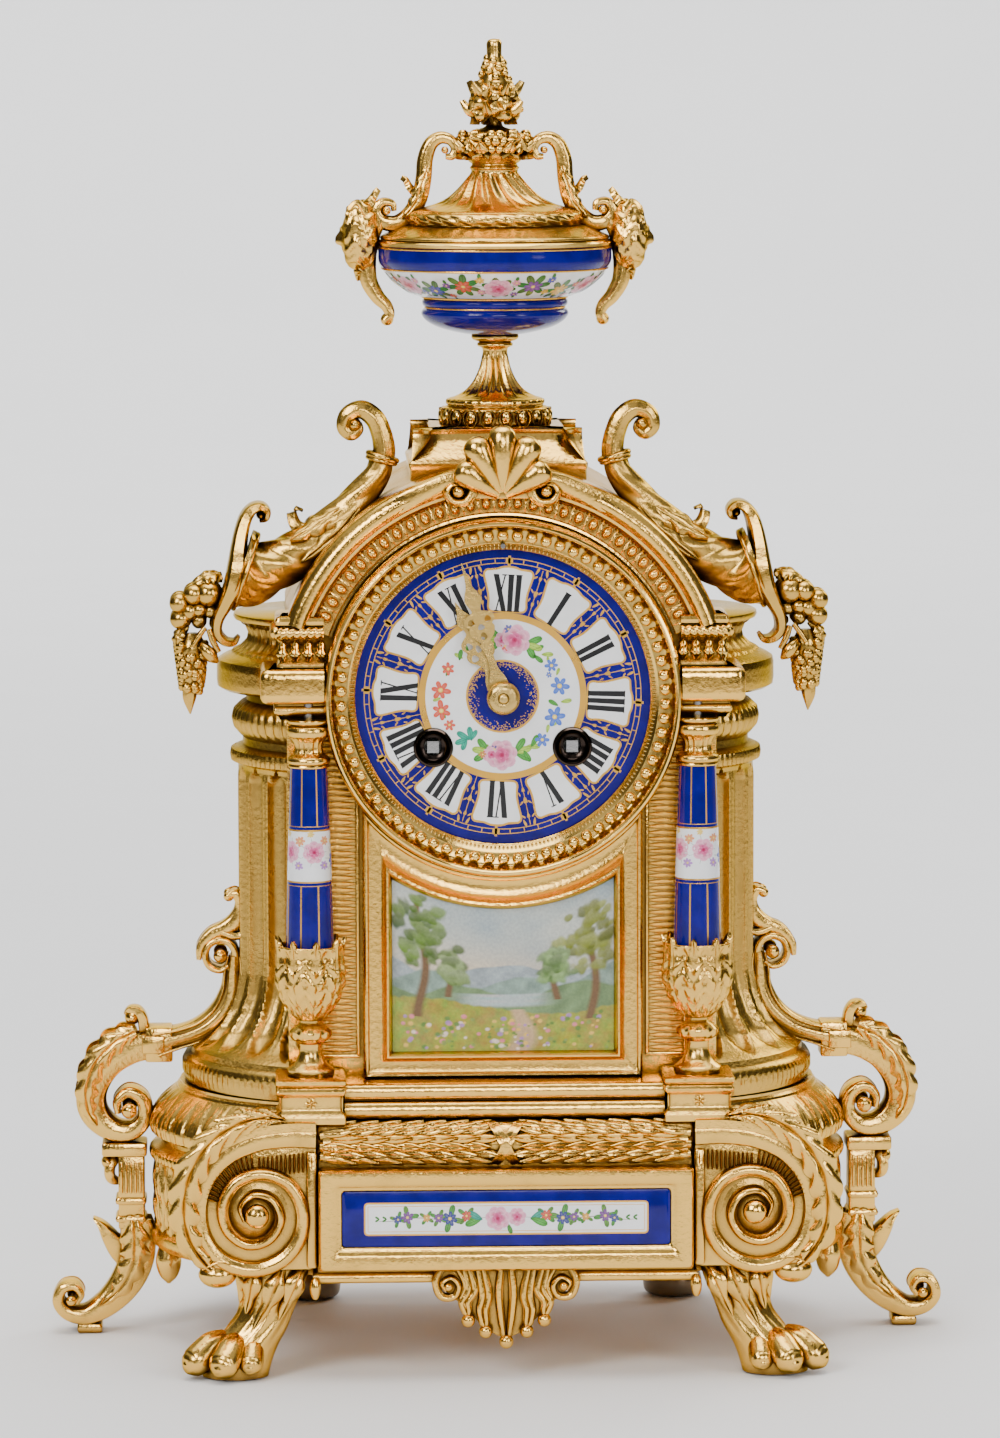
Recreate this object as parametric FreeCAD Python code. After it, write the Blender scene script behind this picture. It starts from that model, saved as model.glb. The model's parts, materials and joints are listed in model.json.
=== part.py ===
"""Figural mantel clock: gilt bronze case with porcelain panels, an urn on top, and a round striking movement.

Millimetres. X to the right, Y to the back (the dial faces -Y), Z up. The origin is on the table, at the
middle of the clock's width and depth. Pieces on the left are mirror images of the ones on the right.
"""
import FreeCAD, Part
import math
import os

Vector = FreeCAD.Vector

# Whole clock
cut_reach = 150.0
base_back_y = 75.0
paw_front_y = -75.0
overrun = 2.0
running_gap = 0.04
seat_gap = 0.2

# Base plinth: two half drums joined by a block, open below
base_floor_z = 28.6
base_top_z = 80.0
base_end_x = 44.0
base_drum_r = 64.4
base_wall = 3.6
plan_y = base_back_y - base_drum_r
base_profile_shares = [
    (0.93, 0.0), (0.985, 0.03), (1.0, 0.05), (1.0, 0.11), (0.985, 0.12), (0.985, 0.50),
    (1.0, 0.52), (1.0, 0.60), (0.955, 0.61), (0.95, 0.66), (0.985, 0.80, 0.4), (0.85, 0.98, 0.45), (0.85, 1.0),
]
base_cavity_shares = [(0.86, 0.0), (0.86, 0.78), (0.78, 0.93)]
block_half_width = 57.0
block_front_y = -64.0
block_step_z = 77.3
sill_half_width = 65.0
laurel_r = 6.3
laurel_half_length = 55.0

# Rear feet
rear_foot_x = 58.0
rear_foot_y = 60.0
rear_foot_r = 9.5
rear_foot_profile_shares = [(0.62, 0.0), (1.0, 0.16, 0.3), (0.9, 0.5, 0.3), (0.5, 0.62, -0.4), (0.8, 0.8), (0.8, 1.0)]
foot_boss_height = 14.0

# Tablet on the front of the plinth
tablet_frame_front_y = -72.0
tablet_frame_half_width = 56.5
tablet_frame_bottom_z = 33.5
tablet_frame_top_z = 64.4
tablet_half_width = 49.5
tablet_half_height = 8.5
tablet_centre_z = 49.5
tablet_lap = 1.5
tablet_lip = 1.6
tablet_thickness = 3.4

# Apron shell under the tablet
apron_half_width = 22.0
apron_top_z = 33.0
apron_bottom_z = 9.5
apron_thickness = 4.0
apron_lobe_shares = [(0.72, 0.50, 0.26), (0.42, 0.28, 0.25), (0.16, 0.02, 0.22)]

# Corner scroll brackets with lion paws
bracket_front_y = -66.0
bracket_back_y = -44.0
bracket_outer_x = 96.0
bracket_volute_x = 76.3
bracket_volute_z = 50.0
bracket_volute_r = 15.5
bracket_volute_rise = 5.0
bracket_eye_r = 4.0
bracket_eye_rise = 2.4
bracket_shoulder_x = 72.0
bracket_bottom_z = 30.0
bracket_foot_x = 87.0
paw_leg_shares = [(0.46, 1.2, 0.34), (0.50, 0.82, 0.27), (0.66, 0.42, 0.23), (0.80, 0.17, 0.24)]
paw_leg_front_y = -67.0
paw_leg_back_y = -49.0
paw_toe_r = 4.6
paw_toe_count = 3
paw_toe_pitch = 7.2
paw_toe_rod_share = 0.93
paw_toe_height_share = 0.82
paw_heel_y = -52.0
paw_knuckle_r = 5.2
bud_r = 4.6
bud_x = 88.0
bud_z = 32.0

# Side scroll supports
side_scroll_half_thickness = 7.0
side_scroll_outer_x = 140.0
side_curl_r = 6.5
side_arm_path_shares = [
    (0.600, 0.980, 0.020), (0.582, 0.925, 0.026), (0.592, 0.850, 0.030), (0.640, 0.768, 0.034),
    (0.725, 0.722, 0.038), (0.800, 0.712, 0.042),
]
side_volute_path_shares = [
    (0.790, 0.722, 0.034), (0.862, 0.690, 0.040), (0.905, 0.612, 0.036), (0.900, 0.520, 0.032), (0.860, 0.452, 0.028),
]
side_foot_path_shares = [
    (0.832, 0.345, 0.046), (0.828, 0.260, 0.042), (0.840, 0.170, 0.046), (0.872, 0.085, 0.040), (0.925, 0.042, 0.030),
    (0.955, 0.040, 0.026),
]
side_scroll_top_z = 137.0
side_eye_x = 117.5
side_eye_z = 73.0
side_eye_r = 10.0
side_eye_extra = 1.2
side_small_eye_x = 88.0
side_small_eye_z = 127.0
side_small_eye_r = 5.2
side_tip_x = 112.0
side_tip_z = 101.0
side_tip_r = 4.4
side_block_x = (108.6, 124.0)
side_block_z = (46.0, 61.0)
side_pad_x = (121.0, 131.0)
side_pad_height = 3.0
side_spur_path_shares = [(0.835, 0.275, 0.030), (0.870, 0.255, 0.024), (0.905, 0.248, 0.016)]

# Facade: arched front plate with cornice, pedestals and arch moulding
dial_z = 205.5
facade_front_y = -44.0
facade_back_y = -38.0
arch_outer_r = 69.0
arch_shoulder = 4.0
arch_band_width = 7.5
facade_half_width = arch_outer_r - arch_shoulder
arch_band_r = arch_outer_r - arch_band_width
arch_inner_r = 55.0
arch_band_front_y = -54.0
arch_egg_front_y = -50.0
arch_foot_z = 230.0
dial_opening_r = 52.0
window_half_width = 32.0
window_bottom_z = 99.0
window_top_z = 138.0
recess_inner_x = 43.4
recess_outer_x = 56.0
recess_bottom_z = 95.0
recess_top_z = 192.0
recess_depth = 1.5
cornice_levels = [
    # half width, front, bottom and top of each step of the cornice, from the column caps up
    {"half_width": 69.0, "front_y": -58.0, "bottom_z": 199.4, "top_z": 204.0},
    {"half_width": 73.0, "front_y": -60.0, "bottom_z": 204.0, "top_z": 214.5},
    {"half_width": 66.5, "front_y": -50.0, "bottom_z": 214.5, "top_z": 223.0},
    {"half_width": 68.5, "front_y": -53.0, "bottom_z": 223.0, "top_z": arch_foot_z},
]
cornice_return_y = -30.0
pedestal_inner_x = 48.0
pedestal_outer_x = 69.0
pedestal_front_y = -67.0
pedestal_top_z = 91.4
pedestal_neck = 1.6
pedestal_cap_height = 4.4
sill_top_z = 89.0
sill_front_y = -61.0

# Case body, towers and back
body_set_in = 0.5
body_half_width = facade_half_width
body_r = arch_outer_r - body_set_in
body_wall = 3.0
body_back_set_in = 17.0
body_back_y = base_back_y - body_back_set_in
back_plate_thickness = 3.0
back_opening_r = 46.0
tower_x = 40.0
tower_r = 40.0
tower_wall = 4.0
tower_top_z = 226.0
tower_profile_shares = [
    (1.39, 0.0), (1.44, 0.015), (1.44, 0.055), (1.38, 0.062), (1.38, 0.075), (1.0, 0.25, -0.45), (1.0, 0.68),
    (1.045, 0.685), (1.045, 0.71), (0.96, 0.72), (0.96, 0.735), (1.035, 0.775, 0.6), (0.93, 0.81, 0.5), (0.93, 0.83),
    (1.155, 0.84), (1.155, 0.905), (1.05, 0.92), (0.88, 0.935, -0.4), (0.92, 0.975, -0.3), (1.03, 0.985), (1.03, 1.0),
]
tower_flute_r = 3.4
tower_flute_centre_r = 41.6
tower_flute_step = 18.0
tower_flute_steps = (-2, -1, 0, 1, 2)
tower_flute_bottom_z = 113.0
tower_flute_top_z = 176.0

# Picture panel under the dial
picture_frame_half_width = 42.3
picture_frame_front_y = -52.0
picture_frame_top_r = 54.4
picture_half_width = 33.6
picture_bottom_z = 97.0
picture_top_r = 65.0
picture_lap = 1.6
picture_front_y = -49.0
picture_thickness = 3.0

# Columns
column_x = 58.5
column_y = -56.0
column_foot_r = 10.4
column_foot_height = 39.6
column_foot_shares = [
    (0.70, 0.0), (0.70, 0.06), (0.60, 0.09), (0.32, 0.22, -0.4), (0.32, 0.27), (0.58, 0.32, 0.5), (0.32, 0.37, 0.5),
    (0.30, 0.41), (0.62, 0.47, 0.3), (0.98, 0.66, 0.35), (0.88, 0.86, 0.2), (0.92, 1.0, -0.1),
]
shaft_bottom_z = 125.0
shaft_bottom_r = 7.3
shaft_top_r = 5.5
cup_wall_gap = 0.1
column_cap_r = 6.6
column_cap_height = 13.4
column_cap_shares = [
    (0.90, 0.0), (0.98, 0.05), (0.98, 0.14), (0.62, 0.24, -0.3), (0.55, 0.40), (0.80, 0.62, -0.3), (0.98, 0.68),
    (1.0, 0.80, 0.5), (0.80, 0.86), (0.96, 0.92), (0.96, 1.0),
]
tie_rod_r = 1.6

# Urn
urn_y = 5.0
urn_plinth_half = 27.5
urn_plinth_rise = 10.0
urn_plinth_height = 22.0
urn_plinth_top_z = dial_z + body_r + urn_plinth_rise
urn_plinth_bottom_z = urn_plinth_top_z - urn_plinth_height
urn_plinth_profile_shares = [(1.0, 0.0), (1.0, 0.62), (0.80, 0.75, -0.4), (0.80, 0.80), (0.90, 0.82), (0.90, 1.0)]
urn_stem_r = 18.3
urn_stem_height = 27.5
urn_stem_shares = [
    (0.90, 0.0), (0.96, 0.19, 0.8), (0.80, 0.20), (0.80, 0.28), (0.72, 0.29), (0.20, 0.78, -0.45), (0.20, 0.84),
    (0.30, 0.88), (0.30, 0.92), (0.40, 0.93), (0.40, 1.0),
]
urn_bowl_r = 36.0
urn_bowl_height = 28.9
urn_bowl_wall = 2.6
urn_bowl_shares = [
    (0.20, 0.0), (0.62, 0.20, 0.16), (0.60, 0.32, 0.3), (0.58, 0.40), (0.66, 0.42), (0.96, 0.70, 0.25), (1.0, 0.72), (1.0, 1.0),
]
urn_bowl_cavity_shares = [(0.16, 0.14), (0.50, 0.26, 0.3), (0.50, 0.40), (0.86, 0.68, 0.2), (0.92, 1.0)]
urn_lid_r = 35.0
urn_lid_height = 24.0
urn_lid_shares = [
    (1.0, 0.0), (1.0, 0.07), (0.79, 0.19), (0.75, 0.20), (0.76, 0.36, 0.7), (0.70, 0.40), (0.24, 0.84, -0.45),
    (0.22, 0.90), (0.30, 1.0, -0.3),
]
urn_lid_cavity_shares = [(0.86, 0.0), (0.60, 0.16), (0.30, 0.24)]
finial_height = 37.6
finial_crown_r = 13.4
finial_core_shares = [
    (0.70, 0.0), (0.80, 0.10), (0.76, 0.26, 0.4), (0.22, 0.30), (0.20, 0.38), (0.52, 0.46, 0.2), (0.50, 0.60, 0.3),
    (0.24, 0.80), (0.17, 0.80), (0.17, 0.96), (0.10, 1.0, 0.5),
]
finial_clusters = [
    # ring radius share, height share, ball radius share and count of each ring of flowers and fruit
    {"ring_share": 0.74, "height_share": 0.17, "ball_share": 0.27, "count": 9},
    {"ring_share": 0.44, "height_share": 0.50, "ball_share": 0.34, "count": 5},
    {"ring_share": 0.24, "height_share": 0.69, "ball_share": 0.22, "count": 4},
]
handle_half_thickness = 3.2
handle_reach = 50.0
handle_drop = 26.4
handle_rise = 9.6
handle_arm_shares = [
    (0.352, 0.925, 0.048), (0.405, 0.940, 0.054), (0.458, 0.840, 0.060), (0.495, 0.690, 0.062),
    (0.570, 0.598, 0.066), (0.690, 0.590, 0.066), (0.800, 0.640, 0.064),
]
handle_tail_shares = [
    (0.800, 0.600, 0.075), (0.805, 0.420, 0.070), (0.850, 0.280, 0.062), (0.800, 0.160, 0.054), (0.725, 0.060, 0.046),
]
handle_curl_shares = (0.345, 0.895, 0.068)
handle_volute_shares = (0.755, 0.690, 0.085)
handle_head_shares = (0.850, 0.490, 0.150)
handle_tip_shares = (0.700, 0.035, 0.046)

# Keystone leaf and arch scrolls
keystone_half_width = 13.5
keystone_rise = 11.5
keystone_height = 17.6
keystone_top_z = dial_z + arch_outer_r + keystone_rise
keystone_front_y = -58.0
keystone_scroll_x = 12.8
keystone_scroll_z = keystone_top_z - keystone_height
keystone_scroll_r = 5.5
keystone_outline_shares = [
    (0.40, 0.0), (0.80, 0.30, 0.2), (1.0, 0.62, 0.2), (0.84, 0.86, 0.4), (0.50, 0.94, 0.4), (0.26, 1.0, 0.3),
]

# Cornucopias on the shoulders of the arch
# the horns are drawn for an arch of this radius and grow with it
horn_crown_r = 69.0
horn_y = -22.0
horn_path = [
    # x, z, radius of each round of the horn, from the ring collar to the mouth
    {"x": 36.0, "z": 282.0, "r": 4.2},
    {"x": 34.5, "z": 273.0, "r": 4.9},
    {"x": 39.5, "z": 264.0, "r": 6.4},
    {"x": 49.0, "z": 257.0, "r": 8.6},
    {"x": 60.0, "z": 250.5, "r": 11.0},
    {"x": 70.0, "z": 244.5, "r": 14.0},
    {"x": 76.5, "z": 241.0, "r": 17.0},
]
horn_lip_r = 3.4
horn_lip_top = (74.0, 258.0)
horn_lip_bottom = (80.5, 222.5)
horn_curl_x = 42.0
horn_curl_z = 284.4
horn_curl_r = 6.2
horn_curl_half_thickness = 4.6
horn_bottom_y = -37.6
horn_spur_x = 59.0
horn_spur_z = 259.0
horn_spur_r = 2.8
horn_fruit = [
    # x, z and radius of each fruit of the cluster, from the mouth to the tip
    {"x": 78.0, "z": 243.0, "r": 10.5},
    {"x": 84.0, "z": 236.0, "r": 8.6},
    {"x": 90.0, "z": 229.0, "r": 7.2},
    {"x": 85.5, "z": 223.0, "r": 7.2},
    {"x": 91.5, "z": 217.5, "r": 6.4},
    {"x": 88.5, "z": 209.5, "r": 5.6},
    {"x": 91.0, "z": 203.5, "r": 3.4},
]

# Bezel, dial and drum
bezel_front_y = -61.0
bezel_outer_r = 54.0
bezel_rim_r = 51.6
bezel_bead_r = 46.6
bezel_bead_y = -57.0
bezel_lip_y = -54.4
bezel_sight_r = 44.5
dial_front_y = -52.0
dial_r = 46.6
dial_thickness = 2.2
dial_seat_gap = 0.15
dial_hole_r = 5.6
dial_centre_hole_r = 3.6
dial_pan_thickness = 0.8
dial_foot_r = 1.1
dial_foot_ring_r = 40.0
dial_foot_angles = (90.0 + 35.0, 90.0 - 35.0, -90.0)
drum_r = 48.0
drum_wall = 0.8
drum_front_y = -48.6
strap_inner_r = 48.6
strap_thickness = 1.6
strap_half_width = 4.0

# Movement: plates, pillars and pivots
front_plate_y = -38.0
plate_thickness = 2.0
pillar_length = 26.0
front_plate_r = 46.9
back_plate_r = 41.5
pillar_r = 2.3
pillar_places = [(28.0, 24.0), (-28.0, 24.0), (6.0, -36.0), (-6.0, -36.0)]
arbor_r = 0.9
pivot_r = 0.5
end_shake = 0.1
tooth_gap = 0.2
tooth_depth_share = 0.07
wheel_thickness = 1.2
crossing_ring_share = 0.56
crossing_hole_share = 0.22
crossing_count = 5
regulator_ear_half_width = 4.0
regulator_ear_bottom = 36.6
regulator_ear_top = 46.9
suspension_block_back_y = 0.0

# Trains: pitch radii of wheels and pinions
winding_x = 21.0
winding_drop = 15.4
great_wheel_r = 15.0
barrel_r = 12.5
barrel_length = 13.5
great_wheel_thickness = 2.0
winding_arbor_r = 2.5
winding_square = 3.5
winding_square_front_y = -51.0
barrel_pivot_r = 1.5
ratchet_r = 7.0
ratchet_teeth = 24
ratchet_thickness = 1.5
click_length = 9.0
click_width = 2.4
second_pinion_r = 2.5
second_wheel_r = 11.0
centre_pinion_r = 2.2
centre_wheel_r = 12.0
third_pinion_r = 1.5
third_angle = 100.0
third_wheel_r = 10.0
escape_pinion_r = 1.25
escape_wheel_r = 7.0
escape_teeth = 30
pin_wheel_r = 10.0
pin_count = 10
pin_r = 0.4
pin_length = 1.6
pin_ring_share = 0.86
warning_pinion_r = 1.25
warning_wheel_r = 7.5
warning_angle = 100.0
fly_pinion_r = 1.0
fly_angle = 149.0
fly_vane_half_width = 6.6
fly_vane_thickness = 0.5
fly_vane_y = (-33.0, -22.0)
wheel_teeth = {"great": 84, "second": 70, "centre": 80, "third": 80, "pin": 80, "warning": 60, "minute": 36, "hour": 40}

# Where each wheel stands along the depth: front face of each wheel
barrel_front_y = -34.2
second_wheel_y = -16.4
second_pinion_y = (-21.4, -17.6)
centre_wheel_y = -12.6
centre_pinion_y = (-17.6, -14.0)
third_wheel_y = -31.0
third_pinion_y = (-13.8, -10.6)
escape_wheel_y = -26.5
escape_pinion_y = (-32.0, -28.6)
warning_wheel_y = -20.4
warning_pinion_y = (-17.6, -14.2)
fly_pinion_y = (-21.4, -18.2)

# Motion work and hands
cannon_r = 1.7
cannon_pinion_r = 2.25
minute_wheel_r = 6.75
minute_pinion_r = 1.8
hour_wheel_r = 7.2
hour_pipe_wall = 0.8
motion_arbor_r = 0.8
cannon_pinion_y = (-40.6, -38.4)
minute_wheel_y = -40.2
minute_pinion_y = (-43.6, -40.2)
hour_wheel_y = -43.2
motion_post_front_y = -44.6
minute_hand_y = -56.6
hour_hand_y = -54.8
hand_thickness = 0.6
minute_hand_length = 42.5
hour_hand_length = 32.0
minute_hand_angle = -17.0
hour_hand_angle = -26.6
hand_nut_r = 5.0
hand_nut_height = 3.2
minute_outline_shares = [
    (0.045, 0.0), (0.022, 0.30), (0.060, 0.40, 0.2), (0.068, 0.50, 0.2), (0.026, 0.60, 0.2), (0.022, 0.72),
    (0.055, 0.80, 0.2), (0.012, 0.87, 0.2), (0.004, 1.0),
]
hour_outline_shares = [
    (0.070, 0.0), (0.040, 0.30), (0.130, 0.46, 0.2), (0.140, 0.60, 0.2), (0.045, 0.72, 0.2), (0.090, 0.82, 0.2),
    (0.020, 0.90, 0.2), (0.006, 1.0),
]

# Escapement, pendulum and regulator
pallet_rise = 10.5
pallet_reach = 8.6
pallet_arm_width = 1.3
pallet_thickness = 2.0
pallet_clear = 0.8
crutch_y = (-7.4, -6.4)
crutch_length = 22.0
crutch_half_width = 0.9
crutch_slot_half_width = 1.4
crutch_foot_back_y = 0.6
crutch_foot_height = 3.0
pendulum_y = -1.6
pendulum_rod_r = 0.9
pendulum_top = 1.2
pendulum_length = 110.0
bob_r = 15.0
bob_thickness = 8.0
bob_edge_share = 0.35
regulator_r = 0.7
regulator_ring_r = 45.9
regulator_front_y = -59.0
regulator_hole_r = 1.45
regulator_back_y = -5.2
regulator_pinion_r = 2.0

# Bell, its stand and hammer
bell_r = 32.0
bell_mouth_y = 6.0
bell_depth = 17.0
bell_wall = 1.4
bell_post_x = 30.0
bell_post_drop = 15.5
bell_post_r = 2.0
bell_bar_y = (2.0, 4.2)
bell_bar_half_width = 2.4
bell_nut_r = 4.0
bell_nut_height = 3.0
hammer_x = -37.0
hammer_drop = 8.0
hammer_head_angle = 150.0
hammer_head_r = 3.0
hammer_gap = 0.6
hammer_y = (5.4, 7.4)
hammer_head_y = (5.0, 11.0)
hammer_arm_half_width = 0.9

# Back door
door_r = 49.0
door_thickness = 2.0
door_gap = 0.3
door_knob_x = -42.0
door_knob_r = 3.2
door_knob_height = 5.0
hinge_x = 53.0
hinge_knuckle_r = 2.2
hinge_pin_r = 1.0
hinge_half_height = 12.0
hinge_door_half_height = 4.0
hinge_leaf = 7.0

# Screws of the back plate
screw_x = 57.0
screw_z_places = (90.0, 226.0)
screw_r = 1.25
screw_length = 11.0
screw_head_r = 3.0
screw_head_height = 1.5
screw_boss_r = 5.4
screw_boss_length = 16.0

# Derived places
front_plate_back_y = front_plate_y + plate_thickness
back_plate_front_y = front_plate_back_y + pillar_length
back_plate_back_y = back_plate_front_y + plate_thickness
winding_z = dial_z - winding_drop
rear_face_y = body_back_y + back_plate_thickness
column_foot_top_z = pedestal_top_z + column_foot_height
cap_bottom_z = cornice_levels[0]["bottom_z"] - column_cap_height
urn_stem_top_z = urn_plinth_top_z + urn_stem_height
urn_bowl_top_z = urn_stem_top_z + urn_bowl_height
urn_lid_top_z = urn_bowl_top_z + urn_lid_height
handle_span_bottom_z = urn_bowl_top_z - handle_drop
handle_span_top_z = urn_lid_top_z + handle_rise
horn_spread = arch_outer_r / horn_crown_r


def plan_xz(u, v):
    """Point of an outline drawn in the front plane."""
    return Vector(u, 0, v)


def plan_xy(u, v):
    """Point of an outline drawn in a level plane."""
    return Vector(u, v, 0)


def plan_yz(u, v):
    """Point of an outline drawn in a side plane."""
    return Vector(0, u, v)


def outline_edge(start, end, place):
    """Edge of an outline; a third value in end bows it to the right, as a share of half the chord."""
    bow = end[2] if len(end) == 3 else 0
    first = place(start[0], start[1])
    last = place(end[0], end[1])
    if bow == 0:
        return Part.makeLine(first, last)
    middle = place(
        (start[0] + end[0] + bow * (end[1] - start[1])) / 2,
        (start[1] + end[1] - bow * (end[0] - start[0])) / 2,
    )
    return Part.Arc(first, middle, last).toShape()


def face_of(points, place=plan_xz):
    """Flat face inside a closed outline."""
    edges = [outline_edge(points[index - 1], point, place) for index, point in enumerate(points)]
    return Part.Face(Part.Wire(edges))


def scaled(shares, width, height, x=0, z=0):
    """Outline points from shares of a width and a height, with any bow kept."""
    return [(x + point[0] * width, z + point[1] * height) + tuple(point[2:]) for point in shares]


def turned(shares, radius, height, x=0, y=0, z=0, bore=0, sweep=360, start=0):
    """Turned piece on a vertical line, from a profile listed from the bottom up."""
    profile = scaled(shares, radius, height)
    points = [(bore, profile[0][1])] + profile + [(bore, profile[-1][1])]
    solid = face_of(points).revolve(Vector(0, 0, 0), Vector(0, 0, 1), sweep)
    solid.rotate(Vector(0, 0, 0), Vector(0, 0, 1), start)
    solid.translate(Vector(x, y, z))
    return solid


def turned_level(points, x=0, z=0):
    """Turned piece on a line from front to back, from (radius, y) points."""
    solid = face_of(points, plan_xy).revolve(Vector(0, 0, 0), Vector(0, 1, 0), 360)
    solid.translate(Vector(x, 0, z))
    return solid


def slab(points, front_y, back_y):
    """Flat piece with an outline in the front plane."""
    face = face_of(points)
    face.translate(Vector(0, front_y, 0))
    return face.extrude(Vector(0, back_y - front_y, 0))


def bar(points, start_x, end_x):
    """Straight moulding along X, from (y, z) points."""
    face = face_of(points, plan_yz)
    face.translate(Vector(start_x, 0, 0))
    return face.extrude(Vector(end_x - start_x, 0, 0))


def block(x, y, z):
    """Square block between two x, two y and two z values."""
    return Part.makeBox(x[1] - x[0], y[1] - y[0], z[1] - z[0], Vector(x[0], y[0], z[0]))


def level_rod(x, z, radius, y):
    """Round rod from front to back between two y values."""
    return Part.makeCylinder(radius, y[1] - y[0], Vector(x, y[0], z), Vector(0, 1, 0))


def upright_rod(x, y, radius, z):
    """Round upright rod between two z values."""
    return Part.makeCylinder(radius, z[1] - z[0], Vector(x, y, z[0]))


def ribbon(path, front_y, back_y):
    """Scroll band of changing width along (x, z, half width) points, with round ends."""
    left, right, ways = [], [], []
    for index, (x, z, half_width) in enumerate(path):
        before = path[max(index - 1, 0)]
        after = path[min(index + 1, len(path) - 1)]
        way = Vector(after[0] - before[0], 0, after[1] - before[1]).normalize()
        side = Vector(-way.z, 0, way.x) * half_width
        left.append(Vector(x, front_y, z) + side)
        right.append(Vector(x, front_y, z) - side)
        ways.append(way * half_width)
    start = Vector(path[0][0], front_y, path[0][1]) - ways[0]
    end = Vector(path[-1][0], front_y, path[-1][1]) + ways[-1]
    left_curve = Part.BSplineCurve()
    left_curve.interpolate(left)
    right_curve = Part.BSplineCurve()
    right_curve.interpolate(right)
    edges = [
        left_curve.toShape(),
        Part.Arc(left[-1], end, right[-1]).toShape(),
        right_curve.toShape(),
        Part.Arc(right[0], start, left[0]).toShape(),
    ]
    face = Part.Face(Part.Wire(Part.__sortEdges__(edges)))
    return face.extrude(Vector(0, back_y - front_y, 0))


def fused(shapes):
    """Shapes joined into one solid, with merged faces."""
    shapes = list(shapes)
    whole = shapes[0] if len(shapes) == 1 else shapes[0].fuse(shapes[1:])
    return whole.removeSplitter()


def mirrored(shape):
    """The same piece on the other side of the clock."""
    return shape.mirror(Vector(0, 0, 0), Vector(1, 0, 0))


def polar(angle, radius, x=0, z=0):
    """Point at an angle from +X towards +Z."""
    turn = math.radians(angle)
    return x + radius * math.cos(turn), z + radius * math.sin(turn)


def arch_outline(half_width, radius, bottom_z):
    """Outline with straight sides and a round head about the dial's centre."""
    rise = math.sqrt(radius ** 2 - half_width ** 2)
    bow = (radius - rise) / half_width
    return [
        (-half_width, bottom_z),
        (-half_width, dial_z + rise),
        (half_width, dial_z + rise, -bow),
        (half_width, bottom_z),
    ]


def wheel(x, z, pitch_r, teeth, front_y, thickness=wheel_thickness, crossed=True):
    """Clock wheel whose teeth stop just inside the pitch line, with round crossings."""
    tip_r = pitch_r - tooth_gap / 2
    root_r = tip_r - tooth_depth_share * pitch_r
    points = []
    for tooth in range(teeth):
        start = 360.0 * tooth / teeth
        pitch = 360.0 / teeth
        for share, radius in ((0.0, root_r), (0.3, root_r), (0.4, tip_r), (0.9, tip_r)):
            points.append(polar(start + share * pitch, radius, x, z))
    solid = slab(points, front_y, front_y + thickness)
    if crossed:
        holes = []
        for index in range(crossing_count):
            hole_x, hole_z = polar(360.0 * index / crossing_count, crossing_ring_share * pitch_r, x, z)
            y = (front_y - overrun, front_y + thickness + overrun)
            holes.append(level_rod(hole_x, hole_z, crossing_hole_share * pitch_r, y))
        solid = solid.cut(holes)
    return solid


def pinion(x, z, pitch_r, y):
    """Pinion drawn as its full round, just inside the pitch line."""
    return level_rod(x, z, pitch_r - tooth_gap / 2, y)


def arbor(x, z, radius=arbor_r, pivot=pivot_r):
    """Arbor between the plates with a pivot in each plate."""
    body = level_rod(x, z, radius, (front_plate_back_y + end_shake, back_plate_front_y - end_shake))
    pivots = level_rod(x, z, pivot, (front_plate_y, back_plate_back_y))
    return [body, pivots]


def meeting_point(first, first_r, second, second_r):
    """Centre that lies at given distances from two others, on the upper side of their line."""
    span_x, span_z = second[0] - first[0], second[1] - first[1]
    span = math.hypot(span_x, span_z)
    along = (first_r ** 2 - second_r ** 2 + span ** 2) / (2 * span)
    off = math.sqrt(first_r ** 2 - along ** 2)
    x = first[0] + along * span_x / span
    z = first[1] + along * span_z / span
    sign = 1 if span_x < 0 else -1
    return x + sign * off * span_z / span, z - sign * off * span_x / span


# Centres of the trains
centre = (0, dial_z)
going_centre = (winding_x, winding_z)
strike_centre = (-winding_x, winding_z)
second_centre = meeting_point(
    going_centre, great_wheel_r + second_pinion_r, centre, second_wheel_r + centre_pinion_r)
pin_centre = (-second_centre[0], second_centre[1])
third_centre = polar(third_angle, centre_wheel_r + third_pinion_r, *centre)
escape_rise = math.sqrt((third_wheel_r + escape_pinion_r) ** 2 - third_centre[0] ** 2)
escape_centre = (0, third_centre[1] + escape_rise)
pallet_centre = (0, escape_centre[1] + pallet_rise)
warning_centre = polar(warning_angle, pin_wheel_r + warning_pinion_r, *pin_centre)
fly_centre = polar(fly_angle, warning_wheel_r + fly_pinion_r, *warning_centre)
minute_centre = (0, dial_z - cannon_pinion_r - minute_wheel_r)
hammer_centre = (hammer_x, dial_z - hammer_drop)


def stadium(shares, radius, height, z):
    """Moulded drum ends joined by the same moulding along the straight front and back."""
    ends = []
    for side in (-1, 1):
        ends.append(turned(shares, radius, height, side * base_end_x, plan_y, z, 0, 180, -90 * side))
    profile = scaled(shares, radius, height, 0, z)
    back = [(plan_y + point[0], point[1]) + tuple(point[2:]) for point in profile]
    front = [(plan_y - point[0], point[1]) for point in reversed(profile)]
    for index in range(1, len(profile)):
        bow = profile[len(profile) - index][2:]
        front[index] = front[index] + tuple(bow)
    return ends + [bar(back + front, -base_end_x, base_end_x)]


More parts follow.
